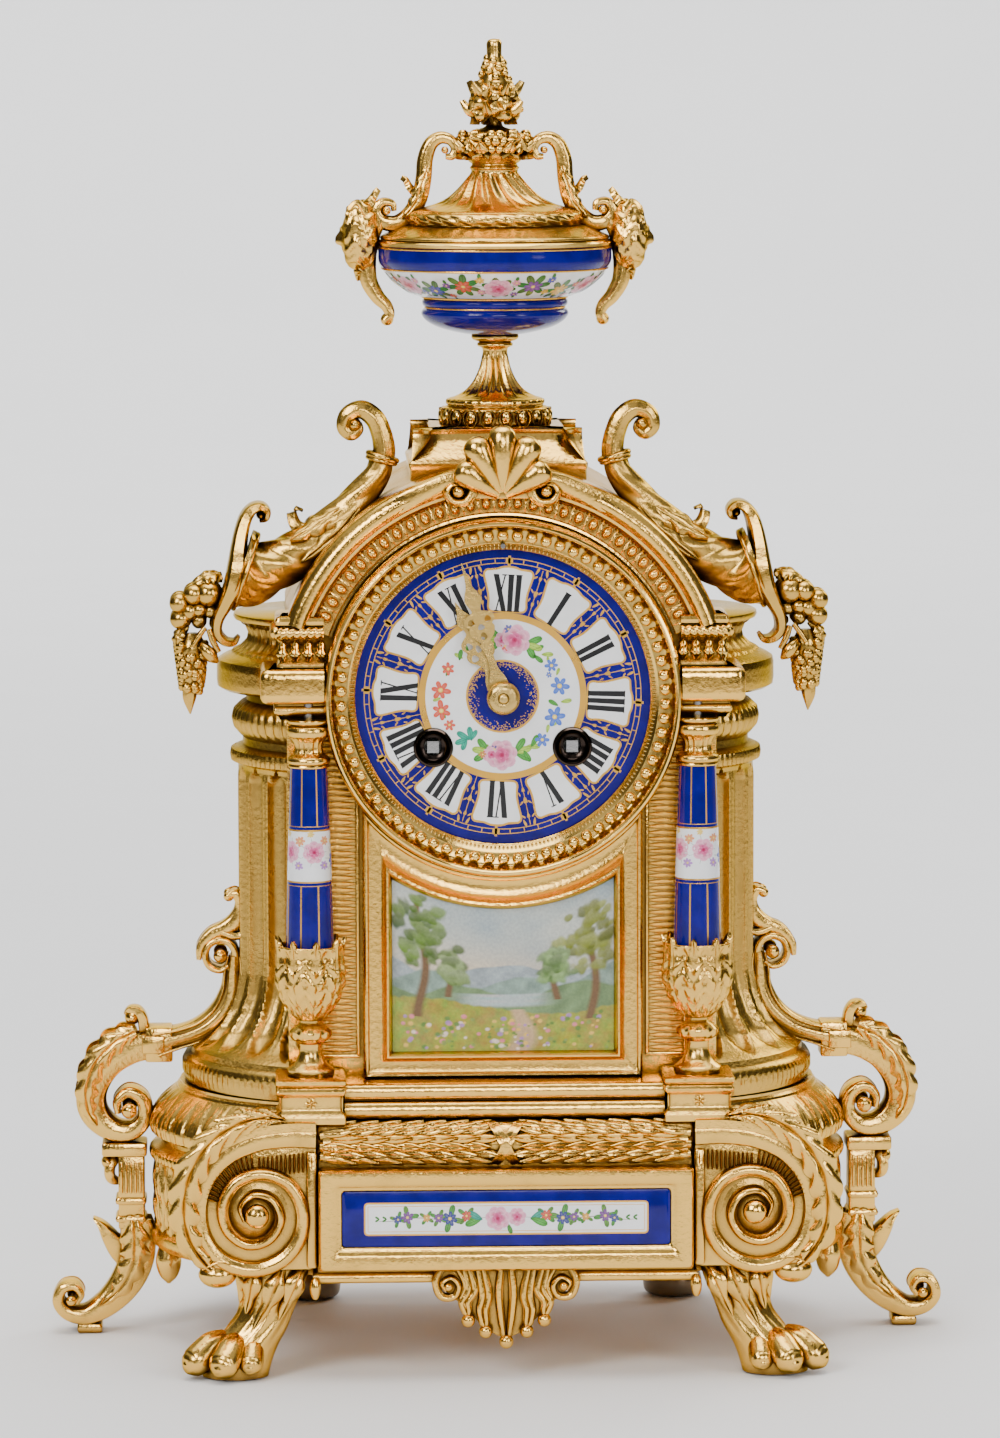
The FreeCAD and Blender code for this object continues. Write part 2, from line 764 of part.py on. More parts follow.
def base_envelope():
    """Outside of the plinth, before it is hollowed."""
    height = base_top_z - base_floor_z
    solids = stadium(base_profile_shares, base_drum_r, height, base_floor_z)
    solids.append(block((-block_half_width, block_half_width), (block_front_y, plan_y), (base_floor_z, block_step_z)))
    sill_bottom_z = block_step_z - 2 * laurel_r
    solids.append(block((-sill_half_width, sill_half_width), (facade_front_y, plan_y), (sill_bottom_z, base_top_z)))
    laurel_z = block_step_z - laurel_r - overrun / 10
    laurel = Part.makeCylinder(
        laurel_r, 2 * laurel_half_length, Vector(-laurel_half_length, block_front_y + laurel_r / 2, laurel_z), Vector(1, 0, 0))
    solids.append(laurel)
    step = block(
        (-pedestal_outer_x, pedestal_outer_x), (-cut_reach, facade_front_y), (block_step_z, base_top_z + overrun))
    return fused(solids).cut(step)


def rear_foot_bosses():
    """Bosses inside the plinth that the rear feet screw to."""
    z = (base_floor_z, base_floor_z + foot_boss_height)
    return [upright_rod(side * rear_foot_x, rear_foot_y, rear_foot_r - base_wall, z) for side in (-1, 1)]


def base_plinth(envelope):
    """Hollow bronze casting, open below."""
    height = base_top_z - base_floor_z
    hollow = stadium(base_cavity_shares, base_drum_r, height, base_floor_z)
    hollow_top_z = block_step_z - base_wall
    inner = block_half_width - base_wall
    hollow.append(block((-inner, inner), (block_front_y + base_wall, plan_y), (base_floor_z, hollow_top_z - laurel_r)))
    cavity = fused(hollow)
    drop = block(
        (-2 * base_drum_r, 2 * base_drum_r), (-cut_reach, cut_reach), (base_floor_z - overrun, base_floor_z))
    shell = envelope.cut([cavity, drop])
    ends = []
    for boss in rear_foot_bosses():
        ends.append(boss.common(envelope))
    rod_holes = [
        upright_rod(side * column_x, column_y, tie_rod_r + running_gap, (base_floor_z, base_top_z)) for side in (-1, 1)
    ]
    return fused([shell] + ends).cut(rod_holes)


def rear_feet():
    """Two turned feet under the back of the plinth."""
    feet = [
        turned(rear_foot_profile_shares, rear_foot_r, base_floor_z, side * rear_foot_x, rear_foot_y) for side in (-1, 1)
    ]
    return Part.makeCompound(feet)


def tablet_frame():
    """Moulded frame on the front of the plinth, rebated for its tablet."""
    outer = block(
        (-tablet_frame_half_width, tablet_frame_half_width),
        (tablet_frame_front_y, block_front_y),
        (tablet_frame_bottom_z, tablet_frame_top_z))
    sight = tablet_block(0, (tablet_frame_front_y - overrun, block_front_y + overrun))
    rebate = tablet_block(tablet_lap + seat_gap, (tablet_frame_front_y + tablet_lip, block_front_y + overrun))
    laurel = base_envelope()
    return outer.cut([sight, rebate, laurel])


def tablet_block(extra, y):
    """Block of the tablet's sight size, wider all round by extra."""
    half_width = tablet_half_width + extra
    half_height = tablet_half_height + extra
    return block((-half_width, half_width), y, (tablet_centre_z - half_height, tablet_centre_z + half_height))


def porcelain_tablet():
    """Painted porcelain plate behind the lip of its frame."""
    front_y = tablet_frame_front_y + tablet_lip
    return tablet_block(tablet_lap, (front_y, front_y + tablet_thickness))


def apron_shell():
    """Shell ornament that hangs under the tablet frame."""
    height = apron_top_z - apron_bottom_z
    front_y = block_front_y - apron_thickness
    band = block(
        (-apron_half_width, apron_half_width), (front_y, block_front_y), (base_floor_z, apron_top_z))
    lobes = [band]
    for x_share, z_share, r_share in apron_lobe_shares:
        radius = r_share * height
        for side in (-1, 1):
            x = side * (x_share * apron_half_width)
            z = apron_bottom_z + z_share * height + radius
            lobes.append(level_rod(x, min(z, apron_top_z - radius), radius, (front_y, block_front_y)))
    middle = [
        (-apron_half_width * apron_lobe_shares[0][0], base_floor_z),
        (apron_half_width * apron_lobe_shares[0][0], base_floor_z),
        (0, apron_bottom_z, 0.12),
    ]
    lobes.append(slab(list(reversed([(x, z) for x, z, *bow in middle])), front_y, block_front_y))
    frame = block(
        (-tablet_frame_half_width, tablet_frame_half_width),
        (tablet_frame_front_y - overrun, block_front_y + overrun),
        (tablet_frame_bottom_z, tablet_frame_top_z))
    return fused(lobes).cut(frame)


def paw_bracket(envelope):
    """Corner scroll with its volute, leg and lion's paw, on the right."""
    y = (bracket_front_y, bracket_back_y)
    body = slab([
        (block_half_width, bracket_bottom_z),
        (block_half_width, block_step_z),
        (bracket_shoulder_x, block_step_z),
        (bracket_outer_x, bracket_volute_z, -0.36),
        (bracket_foot_x, bracket_bottom_z, -0.2),
    ], *y)
    volute_front_y = bracket_front_y - bracket_volute_rise
    volute = level_rod(bracket_volute_x, bracket_volute_z, bracket_volute_r, (volute_front_y, bracket_front_y))
    eye = level_rod(
        bracket_volute_x, bracket_volute_z, bracket_eye_r, (volute_front_y - bracket_eye_rise, volute_front_y))
    reach = bracket_outer_x - block_half_width
    leg_path = [
        (block_half_width + x_share * reach, z_share * bracket_bottom_z, w_share * bracket_bottom_z)
        for x_share, z_share, w_share in paw_leg_shares
    ]
    leg = ribbon(leg_path, paw_leg_front_y, paw_leg_back_y)
    toes = []
    tip_y = paw_front_y + paw_toe_r
    toe_z = paw_toe_height_share * paw_toe_r
    for toe in range(paw_toe_count):
        x = bracket_foot_x + (toe - (paw_toe_count - 1) / 2) * paw_toe_pitch
        toes.append(level_rod(x, toe_z, paw_toe_rod_share * paw_toe_r, (tip_y, paw_heel_y)))
        toes.append(Part.makeSphere(paw_toe_r, Vector(x, tip_y, toe_z)))
        toes.append(Part.makeSphere(paw_knuckle_r, Vector(x, tip_y + paw_toe_r, paw_knuckle_r + paw_toe_r / 4)))
    half_foot = paw_toe_pitch * (paw_toe_count - 1) / 2
    sole = block(
        (bracket_foot_x - half_foot, bracket_foot_x + half_foot), (tip_y, paw_heel_y), (0, toe_z))
    bud = Part.makeSphere(bud_r, Vector(bud_x, bracket_front_y + bud_r / 2, bud_z))
    whole = fused([body, volute, eye, leg, sole, bud] + toes)
    below = block(
        (0, 2 * bracket_outer_x), (-cut_reach, cut_reach), (-bracket_outer_x, 0))
    return whole.cut([envelope, below])


def side_scroll(envelope, tower):
    """S-scroll that stands beside the plinth on its own curled foot, on the right."""
    front_y = plan_y - side_scroll_half_thickness
    back_y = plan_y + side_scroll_half_thickness
    bands = []
    for shares in (side_arm_path_shares, side_volute_path_shares, side_foot_path_shares, side_spur_path_shares):
        path = [(x * side_scroll_outer_x, z * side_scroll_top_z, w * side_scroll_outer_x) for x, z, w in shares]
        bands.append(ribbon(path, front_y, back_y))
    y = (front_y, back_y)
    proud = (front_y - side_eye_extra, back_y + side_eye_extra)
    discs = [
        level_rod(side_eye_x, side_eye_z, side_eye_r, proud),
        level_rod(side_small_eye_x, side_small_eye_z, side_small_eye_r, y),
        level_rod(side_tip_x, side_tip_z, side_tip_r, proud),
        level_rod(side_scroll_outer_x - side_curl_r, side_curl_r + side_pad_height, side_curl_r, y),
    ]
    leg = block(side_block_x, y, side_block_z)
    pad = block(side_pad_x, y, (0, 2 * side_pad_height))
    whole = fused(bands + discs + [leg, pad])
    below = block((0, 2 * side_scroll_outer_x), (-cut_reach, cut_reach), (-side_scroll_outer_x, 0))
    return whole.cut([envelope, tower, below])


def rounded_front(level, half_width):
    """One step of the cornice, with a bowed front."""
    points = [
        (facade_front_y, level["bottom_z"]),
        (facade_front_y, level["top_z"]),
        (level["front_y"] + overrun / 2, level["top_z"]),
        (level["front_y"] + overrun / 2, level["bottom_z"], 0.2),
    ]
    ordered = [(y, z) for y, z, *bow in points]
    ordered[3] = ordered[3] + (-0.2,)
    return bar(ordered, -half_width, half_width)


def pedestal(side):
    """Moulded block under a column."""
    x = sorted((side * pedestal_inner_x, side * pedestal_outer_x))
    neck_x = (x[0] + pedestal_neck, x[1] - pedestal_neck)
    cap_z = (pedestal_top_z - pedestal_cap_height, pedestal_top_z)
    neck_z = (block_step_z + pedestal_cap_height / 2, cap_z[0])
    return [
        block(x, (pedestal_front_y, facade_front_y), cap_z),
        block(neck_x, (pedestal_front_y + pedestal_neck, facade_front_y), neck_z),
        block(x, (pedestal_front_y, facade_front_y), (block_step_z, neck_z[0])),
    ]


def facade():
    """Arched front casting that carries the dial, the picture panel, the cornice and the columns."""
    plate = slab(arch_outline(facade_half_width, arch_outer_r, base_top_z), facade_front_y, facade_back_y)
    arch = turned_level([
        (arch_inner_r, facade_front_y),
        (arch_inner_r, arch_egg_front_y),
        (arch_band_r, arch_egg_front_y),
        (arch_band_r, arch_band_front_y + overrun / 2),
        (arch_outer_r, arch_band_front_y + overrun / 2, 0.3),
        (arch_outer_r, facade_front_y),
    ], 0, dial_z)
    above = block(
        (-2 * arch_outer_r, 2 * arch_outer_r), (-cut_reach, cut_reach), (arch_foot_z, 2 * dial_z))
    shapes = [plate, arch.common(above)]
    for level in cornice_levels:
        shapes.append(rounded_front(level, level["half_width"]))
        for side in (-1, 1):
            x = sorted((side * facade_half_width, side * level["half_width"]))
            shapes.append(block(x, (facade_front_y, cornice_return_y), (level["bottom_z"], level["top_z"])))
    for side in (-1, 1):
        shapes.extend(pedestal(side))
    shapes.append(block(
        (-pedestal_inner_x, pedestal_inner_x), (sill_front_y, facade_front_y), (block_step_z, sill_top_z)))
    whole = fused(shapes)
    y = (-cut_reach, facade_back_y + overrun)
    cuts = [
        level_rod(0, dial_z, bezel_outer_r + running_gap, (-cut_reach, facade_front_y)),
        level_rod(0, dial_z, dial_opening_r, y),
        block((-window_half_width, window_half_width), y, (window_bottom_z, window_top_z)),
    ]
    for side in (-1, 1):
        x = sorted((side * recess_inner_x, side * recess_outer_x))
        recess_y = (facade_front_y, facade_front_y + recess_depth)
        cuts.append(block(x, recess_y, (recess_bottom_z, recess_top_z)))
        rod_z = (base_floor_z, cornice_levels[1]["top_z"] - overrun)
        cuts.append(upright_rod(side * column_x, column_y, tie_rod_r + running_gap, rod_z))
    return whole.cut(cuts)


def body_shell():
    """Arched sheet casing behind the facade, with bosses for the screws of the back plate."""
    outer = slab(arch_outline(body_half_width, body_r, base_top_z), facade_back_y, body_back_y)
    y = (facade_back_y - overrun, body_back_y + overrun)
    inner = slab(arch_outline(body_half_width - body_wall, body_r - body_wall, base_top_z - overrun), *y)
    bosses = []
    holes = []
    for side in (-1, 1):
        for z in screw_z_places:
            boss_y = (body_back_y - screw_boss_length, body_back_y)
            bosses.append(level_rod(side * screw_x, z, screw_boss_r, boss_y).common(outer))
            hole_y = (body_back_y - screw_length - overrun, body_back_y + overrun)
            holes.append(level_rod(side * screw_x, z, screw_r + running_gap, hole_y))
    rod_z = (urn_plinth_bottom_z - overrun, urn_plinth_top_z)
    holes.append(upright_rod(0, urn_y, tie_rod_r + running_gap, rod_z))
    return fused([outer.cut(inner)] + bosses).cut(holes)


def tower_round():
    """Full round of the right tower, before it is cut to the part that shows."""
    height = tower_top_z - base_top_z
    return turned(tower_profile_shares, tower_r, height, tower_x, plan_y, base_top_z)


def tower(full_round):
    """Half-round fluted tower on the side of the case, on the right."""
    hollow_z = (base_top_z - overrun, tower_top_z - 5 * tower_wall)
    cuts = [upright_rod(tower_x, plan_y, tower_r - tower_wall, hollow_z)]
    for step in tower_flute_steps:
        x, y = polar(step * tower_flute_step, tower_flute_centre_r, tower_x, plan_y)
        cuts.append(upright_rod(x, y, tower_flute_r, (tower_flute_bottom_z, tower_flute_top_z)))
        for z in (tower_flute_bottom_z, tower_flute_top_z):
            cuts.append(Part.makeSphere(tower_flute_r, Vector(x, y, z)))
    keep = block(
        (body_half_width, 2 * side_scroll_outer_x), (-cut_reach, cut_reach), (base_top_z, tower_top_z))
    return full_round.common(keep).cut(cuts)


def back_plate():
    """Arched plate that closes the back, with the door's opening and two hinge knuckles."""
    plate = slab(arch_outline(body_half_width, body_r, base_top_z), body_back_y, rear_face_y)
    opening_y = (body_back_y - overrun, rear_face_y + overrun)
    opening = level_rod(0, dial_z, back_opening_r, opening_y)
    axis_y = rear_face_y + door_gap + hinge_knuckle_r
    shapes = [plate.cut(opening)]
    for sign in (-1, 1):
        z = sorted((dial_z + sign * (hinge_door_half_height + seat_gap), dial_z + sign * hinge_half_height))
        shapes.append(upright_rod(hinge_x, axis_y, hinge_knuckle_r, z))
        shapes.append(block((hinge_x - hinge_knuckle_r, hinge_x + hinge_knuckle_r), (body_back_y, axis_y), z))
    whole = fused(shapes)
    holes = [upright_rod(hinge_x, axis_y, hinge_pin_r, (dial_z - hinge_half_height, dial_z + hinge_half_height))]
    for side in (-1, 1):
        for z in screw_z_places:
            holes.append(level_rod(side * screw_x, z, screw_r + running_gap, opening_y))
    return whole.cut(holes)


def back_door():
    """Round door with its hinge knuckle and knob."""
    y = (rear_face_y + door_gap, rear_face_y + door_gap + door_thickness)
    axis_y = rear_face_y + door_gap + hinge_knuckle_r
    disc = level_rod(0, dial_z, door_r, y)
    z = (dial_z - hinge_door_half_height, dial_z + hinge_door_half_height)
    leaf = block((hinge_x - hinge_leaf, hinge_x), y, z)
    knuckle = upright_rod(hinge_x, axis_y, hinge_knuckle_r, z)
    knob = level_rod(door_knob_x, dial_z, door_knob_r, (y[0], y[1] + door_knob_height))
    bore = upright_rod(hinge_x, axis_y, hinge_pin_r + running_gap, (z[0] - overrun, z[1] + overrun))
    return fused([disc, leaf, knuckle, knob]).cut(bore)


def door_hinge_pin():
    """Pin that stays in the back plate's knuckles."""
    axis_y = rear_face_y + door_gap + hinge_knuckle_r
    return upright_rod(hinge_x, axis_y, hinge_pin_r, (dial_z - hinge_half_height, dial_z + hinge_half_height))


def case_screws():
    """Four screws that hold the back plate to the casing."""
    screws = []
    for side in (-1, 1):
        for z in screw_z_places:
            shank = level_rod(side * screw_x, z, screw_r, (body_back_y - screw_length, rear_face_y))
            head = level_rod(side * screw_x, z, screw_head_r, (rear_face_y, rear_face_y + screw_head_height))
            screws.append(fused([shank, head]))
    return Part.makeCompound(screws)


def picture_outline(half_width, bottom_z, top_r):
    """Panel outline whose top is hollowed to follow the bezel."""
    rise = math.sqrt(top_r ** 2 - half_width ** 2)
    bow = (top_r - rise) / half_width
    return [
        (-half_width, bottom_z),
        (-half_width, dial_z - rise),
        (half_width, dial_z - rise, bow),
        (half_width, bottom_z),
    ]


def picture_frame():
    """Panel frame under the dial, rebated from behind for the picture."""
    outer = slab(
        picture_outline(picture_frame_half_width, sill_top_z, picture_frame_top_r), picture_frame_front_y, facade_front_y)
    sight = slab(
        picture_outline(picture_half_width, picture_bottom_z, picture_top_r),
        picture_frame_front_y - overrun, facade_front_y + overrun)
    rebate = slab(picture_plate_outline(seat_gap), picture_front_y, facade_front_y + overrun)
    return outer.cut([sight, rebate])


def picture_plate_outline(extra):
    """Outline of the porcelain plate, wider all round by extra."""
    lap = picture_lap + extra
    return picture_outline(picture_half_width + lap, picture_bottom_z - lap, picture_top_r - lap)


def porcelain_picture():
    """Painted porcelain plate in the panel frame."""
    return slab(picture_plate_outline(0), picture_front_y, picture_front_y + picture_thickness)


def on_both_sides(make):
    """Compound of a piece made at each column."""
    return Part.makeCompound([make(-column_x), make(column_x)])


def column_foot(x):
    """Spool foot, knop and leaf cup, turned in one and bored for the shaft and the rod."""
    solid = turned(
        column_foot_shares, column_foot_r, column_foot_height, x, column_y, pedestal_top_z, tie_rod_r + running_gap)
    pocket = upright_rod(
        x, column_y, shaft_bottom_r + cup_wall_gap, (shaft_bottom_z, column_foot_top_z + overrun))
    return solid.cut(pocket)


def column_shaft(x):
    """Tapered porcelain tube."""
    height = cap_bottom_z - shaft_bottom_z
    solid = Part.makeCone(shaft_bottom_r, shaft_top_r, height, Vector(x, column_y, shaft_bottom_z))
    z = (shaft_bottom_z - overrun, cap_bottom_z + overrun)
    return solid.cut(upright_rod(x, column_y, tie_rod_r + running_gap, z))


def column_cap(x):
    """Turned cap between shaft and cornice."""
    solid = turned(
        column_cap_shares, column_cap_r, column_cap_height, x, column_y, cap_bottom_z, tie_rod_r + running_gap)
    return solid.cut(level_rod(0, dial_z, bezel_outer_r + seat_gap, (-cut_reach, facade_front_y)))


def tie_rods():
    """Steel rods that draw each column and the urn together."""
    top_z = cornice_levels[1]["top_z"] - 2 * overrun
    rods = [upright_rod(side * column_x, column_y, tie_rod_r, (block_step_z, top_z)) for side in (-1, 1)]
    rods.append(upright_rod(0, urn_y, tie_rod_r, (urn_plinth_bottom_z, urn_lid_top_z)))
    return Part.makeCompound(rods)


def urn_piece(shares, radius, height, z):
    """Turned piece of the urn, bored for its rod."""
    return turned(shares, radius, height, 0, urn_y, z, tie_rod_r + running_gap)


def urn_plinth():
    """Square plinth with hollowed sides that sits on the crown of the casing."""
    height = urn_plinth_top_z - urn_plinth_bottom_z
    profile = scaled(urn_plinth_profile_shares, urn_plinth_half, height, 0, urn_plinth_bottom_z)
    other = [(-point[0], point[1]) for point in reversed(profile)]
    for index in range(1, len(profile)):
        other[index] = other[index] + tuple(profile[len(profile) - index][2:])
    points = profile + other
    across = slab(points, urn_y - urn_plinth_half, urn_y + urn_plinth_half)
    deep_points = [(urn_y + point[0], point[1]) + tuple(point[2:]) for point in points]
    along = bar(deep_points, -urn_plinth_half, urn_plinth_half)
    crown = level_rod(0, dial_z, body_r, (-cut_reach, cut_reach))
    z = (urn_plinth_bottom_z - overrun, urn_plinth_top_z + overrun)
    return across.common(along).cut([crown, upright_rod(0, urn_y, tie_rod_r + running_gap, z)])


def urn_bowl():
    """Porcelain bowl, hollow under the lid."""
    solid = urn_piece(urn_bowl_shares, urn_bowl_r, urn_bowl_height, urn_stem_top_z)
    hollow = urn_piece(urn_bowl_cavity_shares, urn_bowl_r, urn_bowl_height, urn_stem_top_z)
    return solid.cut(hollow)


def urn_lid():
    """Gilt lid with a tall fluted neck, hollow below."""
    solid = urn_piece(urn_lid_shares, urn_lid_r, urn_lid_height, urn_bowl_top_z)
    hollow = urn_piece(urn_lid_cavity_shares, urn_lid_r, urn_lid_height, urn_bowl_top_z)
    return solid.cut(hollow)


def urn_finial():
    """Crown of flowers with a bunch of fruit on it."""
    shapes = [turned(finial_core_shares, finial_crown_r, finial_height, 0, urn_y, urn_lid_top_z)]
    for ring in finial_clusters:
        for index in range(ring["count"]):
            x, y = polar(360.0 * index / ring["count"], ring["ring_share"] * finial_crown_r, 0, urn_y)
            z = urn_lid_top_z + ring["height_share"] * finial_height
            shapes.append(Part.makeSphere(ring["ball_share"] * finial_crown_r, Vector(x, y, z)))
    below = upright_rod(0, urn_y, finial_crown_r, (urn_lid_top_z - finial_height, urn_lid_top_z))
    return fused(shapes).cut(below)


def urn_handle(lid, bowl):
    """S-scroll handle with a mask head, on the right."""
    span = handle_span_top_z - handle_span_bottom_z
    y = (urn_y - handle_half_thickness, urn_y + handle_half_thickness)
    shapes = []
    for shares in (handle_arm_shares, handle_tail_shares):
        path = [(x * handle_reach, handle_span_bottom_z + z * span, w * handle_reach) for x, z, w in shares]
        shapes.append(ribbon(path, *y))
    for x, z, r in (handle_curl_shares, handle_volute_shares, handle_tip_shares):
        shapes.append(level_rod(x * handle_reach, handle_span_bottom_z + z * span, r * handle_reach, y))
    x, z, r = handle_head_shares
    head_place = Vector(x * handle_reach, urn_y, handle_span_bottom_z + z * span)
    shapes.append(Part.makeSphere(r * handle_reach, head_place))
    return fused(shapes).cut([lid, bowl])


def urn_handles(lid, bowl):
    """Both handles."""
    right = urn_handle(lid, bowl)
    return Part.makeCompound([mirrored(right), right])


def keystone_leaf(front):
    """Acanthus leaf over the crown of the arch, with two scrolls."""
    height = keystone_top_z - keystone_scroll_z
    right = scaled(keystone_outline_shares, keystone_half_width, height, 0, keystone_scroll_z)
    left = [(-point[0], point[1]) for point in reversed(right)]
    for index in range(1, len(right)):
        left[index] = left[index] + tuple(right[len(right) - index][2:])
    leaf = slab(right + left, keystone_front_y, facade_front_y)
    y = (keystone_front_y, arch_band_front_y)
    scrolls = [level_rod(side * keystone_scroll_x, keystone_scroll_z, keystone_scroll_r, y) for side in (-1, 1)]
    return fused([leaf] + scrolls).cut(front)


def horn_place(x, z):
    """Place on the horns' middle plane, spread about the dial with the arch."""
    return x * horn_spread, horn_y, dial_z + (z - dial_z) * horn_spread


def cornucopia(front, casing, plinth):
    """Spiral horn with a curled tail and fruit at its mouth, on the right."""
    rings = []
    for index, ring in enumerate(horn_path):
        before = horn_path[max(index - 1, 0)]
        after = horn_path[min(index + 1, len(horn_path) - 1)]
        way = Vector(after["x"] - before["x"], 0, after["z"] - before["z"])
        circle = Part.makeCircle(ring["r"] * horn_spread, Vector(*horn_place(ring["x"], ring["z"])), way)
        rings.append(Part.Wire(circle))
    horn = Part.makeLoft(rings, True)
    y = (horn_y - horn_curl_half_thickness, horn_y + horn_curl_half_thickness)
    curl_x, _, curl_z = horn_place(horn_curl_x, horn_curl_z)
    shapes = [horn, level_rod(curl_x, curl_z, horn_curl_r * horn_spread, y)]
    lip = []
    for end in (horn_lip_top, horn_lip_bottom):
        end_x, _, end_z = horn_place(*end)
        lip.append((end_x, end_z, horn_lip_r * horn_spread))
    lip_half = horn_path[-1]["r"] * horn_spread * 0.6
    shapes.append(ribbon(lip, horn_y - lip_half, horn_y + lip_half))
    spur_x, _, spur_z = horn_place(horn_spur_x, horn_spur_z)
    shapes.append(level_rod(spur_x, spur_z, horn_spur_r * horn_spread, y))
    for fruit in horn_fruit:
        shapes.append(Part.makeSphere(fruit["r"] * horn_spread, Vector(*horn_place(fruit["x"], fruit["z"]))))
    whole = fused(shapes)
    forward = block(
        (0, 2 * side_scroll_outer_x), (-cut_reach, horn_bottom_y), (0, 2 * dial_z))
    crown = level_rod(0, dial_z, arch_outer_r + seat_gap, (-cut_reach, cut_reach))
    return whole.cut([forward, crown, plinth, front])


def bezel():
    """Deep round bezel whose lip holds the dial, bored at the top for the regulator."""
    seat_r = dial_r + dial_seat_gap
    drum_seat_r = drum_r + running_gap
    solid = turned_level([
        (bezel_sight_r, dial_front_y),
        (bezel_sight_r, bezel_lip_y),
        (bezel_bead_r, bezel_bead_y),
        (bezel_rim_r, bezel_bead_y),
        (bezel_rim_r, bezel_front_y),
        (bezel_outer_r, bezel_front_y),
        (bezel_outer_r, facade_front_y),
        (drum_seat_r, facade_front_y),
        (drum_seat_r, drum_front_y),
        (seat_r, drum_front_y),
        (seat_r, dial_front_y),
    ], 0, dial_z)
    hole = level_rod(0, dial_z + regulator_ring_r, regulator_hole_r, (bezel_front_y - overrun, facade_front_y))
    return solid.cut(hole)


def dial_feet(x_extra=0):
    """Feet that run from the dial pan to the back of the front plate, or their holes."""
    y = (dial_front_y + dial_thickness, front_plate_back_y)
    return [level_rod(*polar(angle, dial_foot_ring_r, 0, dial_z), dial_foot_r + x_extra, y) for angle in dial_foot_angles]


def dial_disc(radius, y):
    """Disc with the centre hole, both winding holes and the notch for the regulator."""
    disc = level_rod(0, dial_z, radius, y)
    through = (y[0] - overrun, y[1] + overrun)
    holes = [
        level_rod(0, dial_z, dial_centre_hole_r, through),
        level_rod(winding_x, winding_z, dial_hole_r, through),
        level_rod(-winding_x, winding_z, dial_hole_r, through),
        level_rod(0, dial_z + regulator_ring_r, regulator_hole_r, through),
    ]
    return disc.cut(holes)


def dial_pan():
    """Brass pan behind the dial, with its three feet."""
    front_y = dial_front_y + dial_thickness
    pan = dial_disc(dial_r, (front_y, front_y + dial_pan_thickness))
    return fused([pan] + dial_feet())


def movement_drum():
    """Sheet brass drum round the movement."""
    y = (drum_front_y, back_plate_back_y)
    outer = level_rod(0, dial_z, drum_r, y)
    return outer.cut(level_rod(0, dial_z, drum_r - drum_wall, (y[0] - overrun, y[1] + overrun)))


def movement_straps():
    """Two steel straps that draw the bezel and the back plate together."""
    straps = []
    for side in (-1, 1):
        x = sorted((side * strap_inner_r, side * (strap_inner_r + strap_thickness)))
        z = (dial_z - strap_half_width, dial_z + strap_half_width)
        straps.append(block(x, (facade_front_y, body_back_y), z))
    return Part.makeCompound(straps)


def pivot_holes(y):
    """Holes for all pivots that stand in a plate between two y values."""
    through = (y[0] - overrun, y[1] + overrun)
    small = [second_centre, third_centre, escape_centre, pin_centre, warning_centre, fly_centre]
    holes = [level_rod(x, z, pivot_r + running_gap, through) for x, z in small]
    holes.append(level_rod(hammer_centre[0], hammer_centre[1], arbor_r + running_gap, through))
    return holes


def front_movement_plate():
    """Round front plate with its pivot holes and the post of the minute wheel."""
    y = (front_plate_y, front_plate_back_y)
    through = (y[0] - overrun, y[1] + overrun)
    plate = level_rod(0, dial_z, front_plate_r, y)
    holes = pivot_holes(y)
    holes.append(level_rod(0, dial_z, arbor_r + running_gap, through))
    holes.append(level_rod(*pallet_centre, pivot_r + running_gap, through))
    holes.append(level_rod(0, dial_z + regulator_ring_r, regulator_hole_r, through))
    for x in (winding_x, -winding_x):
        holes.append(level_rod(x, winding_z, winding_arbor_r + running_gap, through))
    holes.extend(dial_feet(running_gap))
    post = level_rod(*minute_centre, motion_arbor_r, (motion_post_front_y, front_plate_y))
    return fused([plate.cut(holes), post])


def back_movement_plate():
    """Round back plate with the ear that carries the regulator and the suspension block."""
    y = (back_plate_front_y, back_plate_back_y)
    through = (y[0] - overrun, y[1] + overrun)
    plate = level_rod(0, dial_z, back_plate_r, y)
    ear_x = (-regulator_ear_half_width, regulator_ear_half_width)
    ear = block(ear_x, y, (dial_z + regulator_ear_bottom, dial_z + regulator_ear_top))
    inside = level_rod(0, dial_z, front_plate_r, through)
    block_z = (pallet_centre[1] + pendulum_top + 2 * seat_gap, dial_z + regulator_ear_bottom + overrun * 2)
    cock = block(ear_x, (back_plate_back_y, suspension_block_back_y), block_z)
    holes = pivot_holes(y)
    holes.append(level_rod(0, dial_z, pivot_r + running_gap, through))
    holes.append(level_rod(*pallet_centre, arbor_r + running_gap, through))
    holes.append(level_rod(0, dial_z + regulator_ring_r, regulator_r + running_gap, through))
    for x in (winding_x, -winding_x):
        holes.append(level_rod(x, winding_z, barrel_pivot_r + running_gap, through))
    return fused([plate, ear.common(inside), cock]).cut(holes)


def movement_pillars():
    """Four turned pillars between the plates."""
    y = (front_plate_back_y, back_plate_front_y)
    return Part.makeCompound([level_rod(x, dial_z + z, pillar_r, y) for x, z in pillar_places])


def barrel(x):
    """Spring barrel with its great wheel, free on the winding arbor."""
    wheel_y = barrel_front_y + barrel_length
    drum = level_rod(x, winding_z, barrel_r, (barrel_front_y, wheel_y))
    great = wheel(x, winding_z, great_wheel_r, wheel_teeth["great"], wheel_y, great_wheel_thickness, False)
    bore_y = (barrel_front_y - overrun, wheel_y + great_wheel_thickness + overrun)
    bore = level_rod(x, winding_z, winding_arbor_r + running_gap, bore_y)
    return fused([drum, great]).cut(bore)


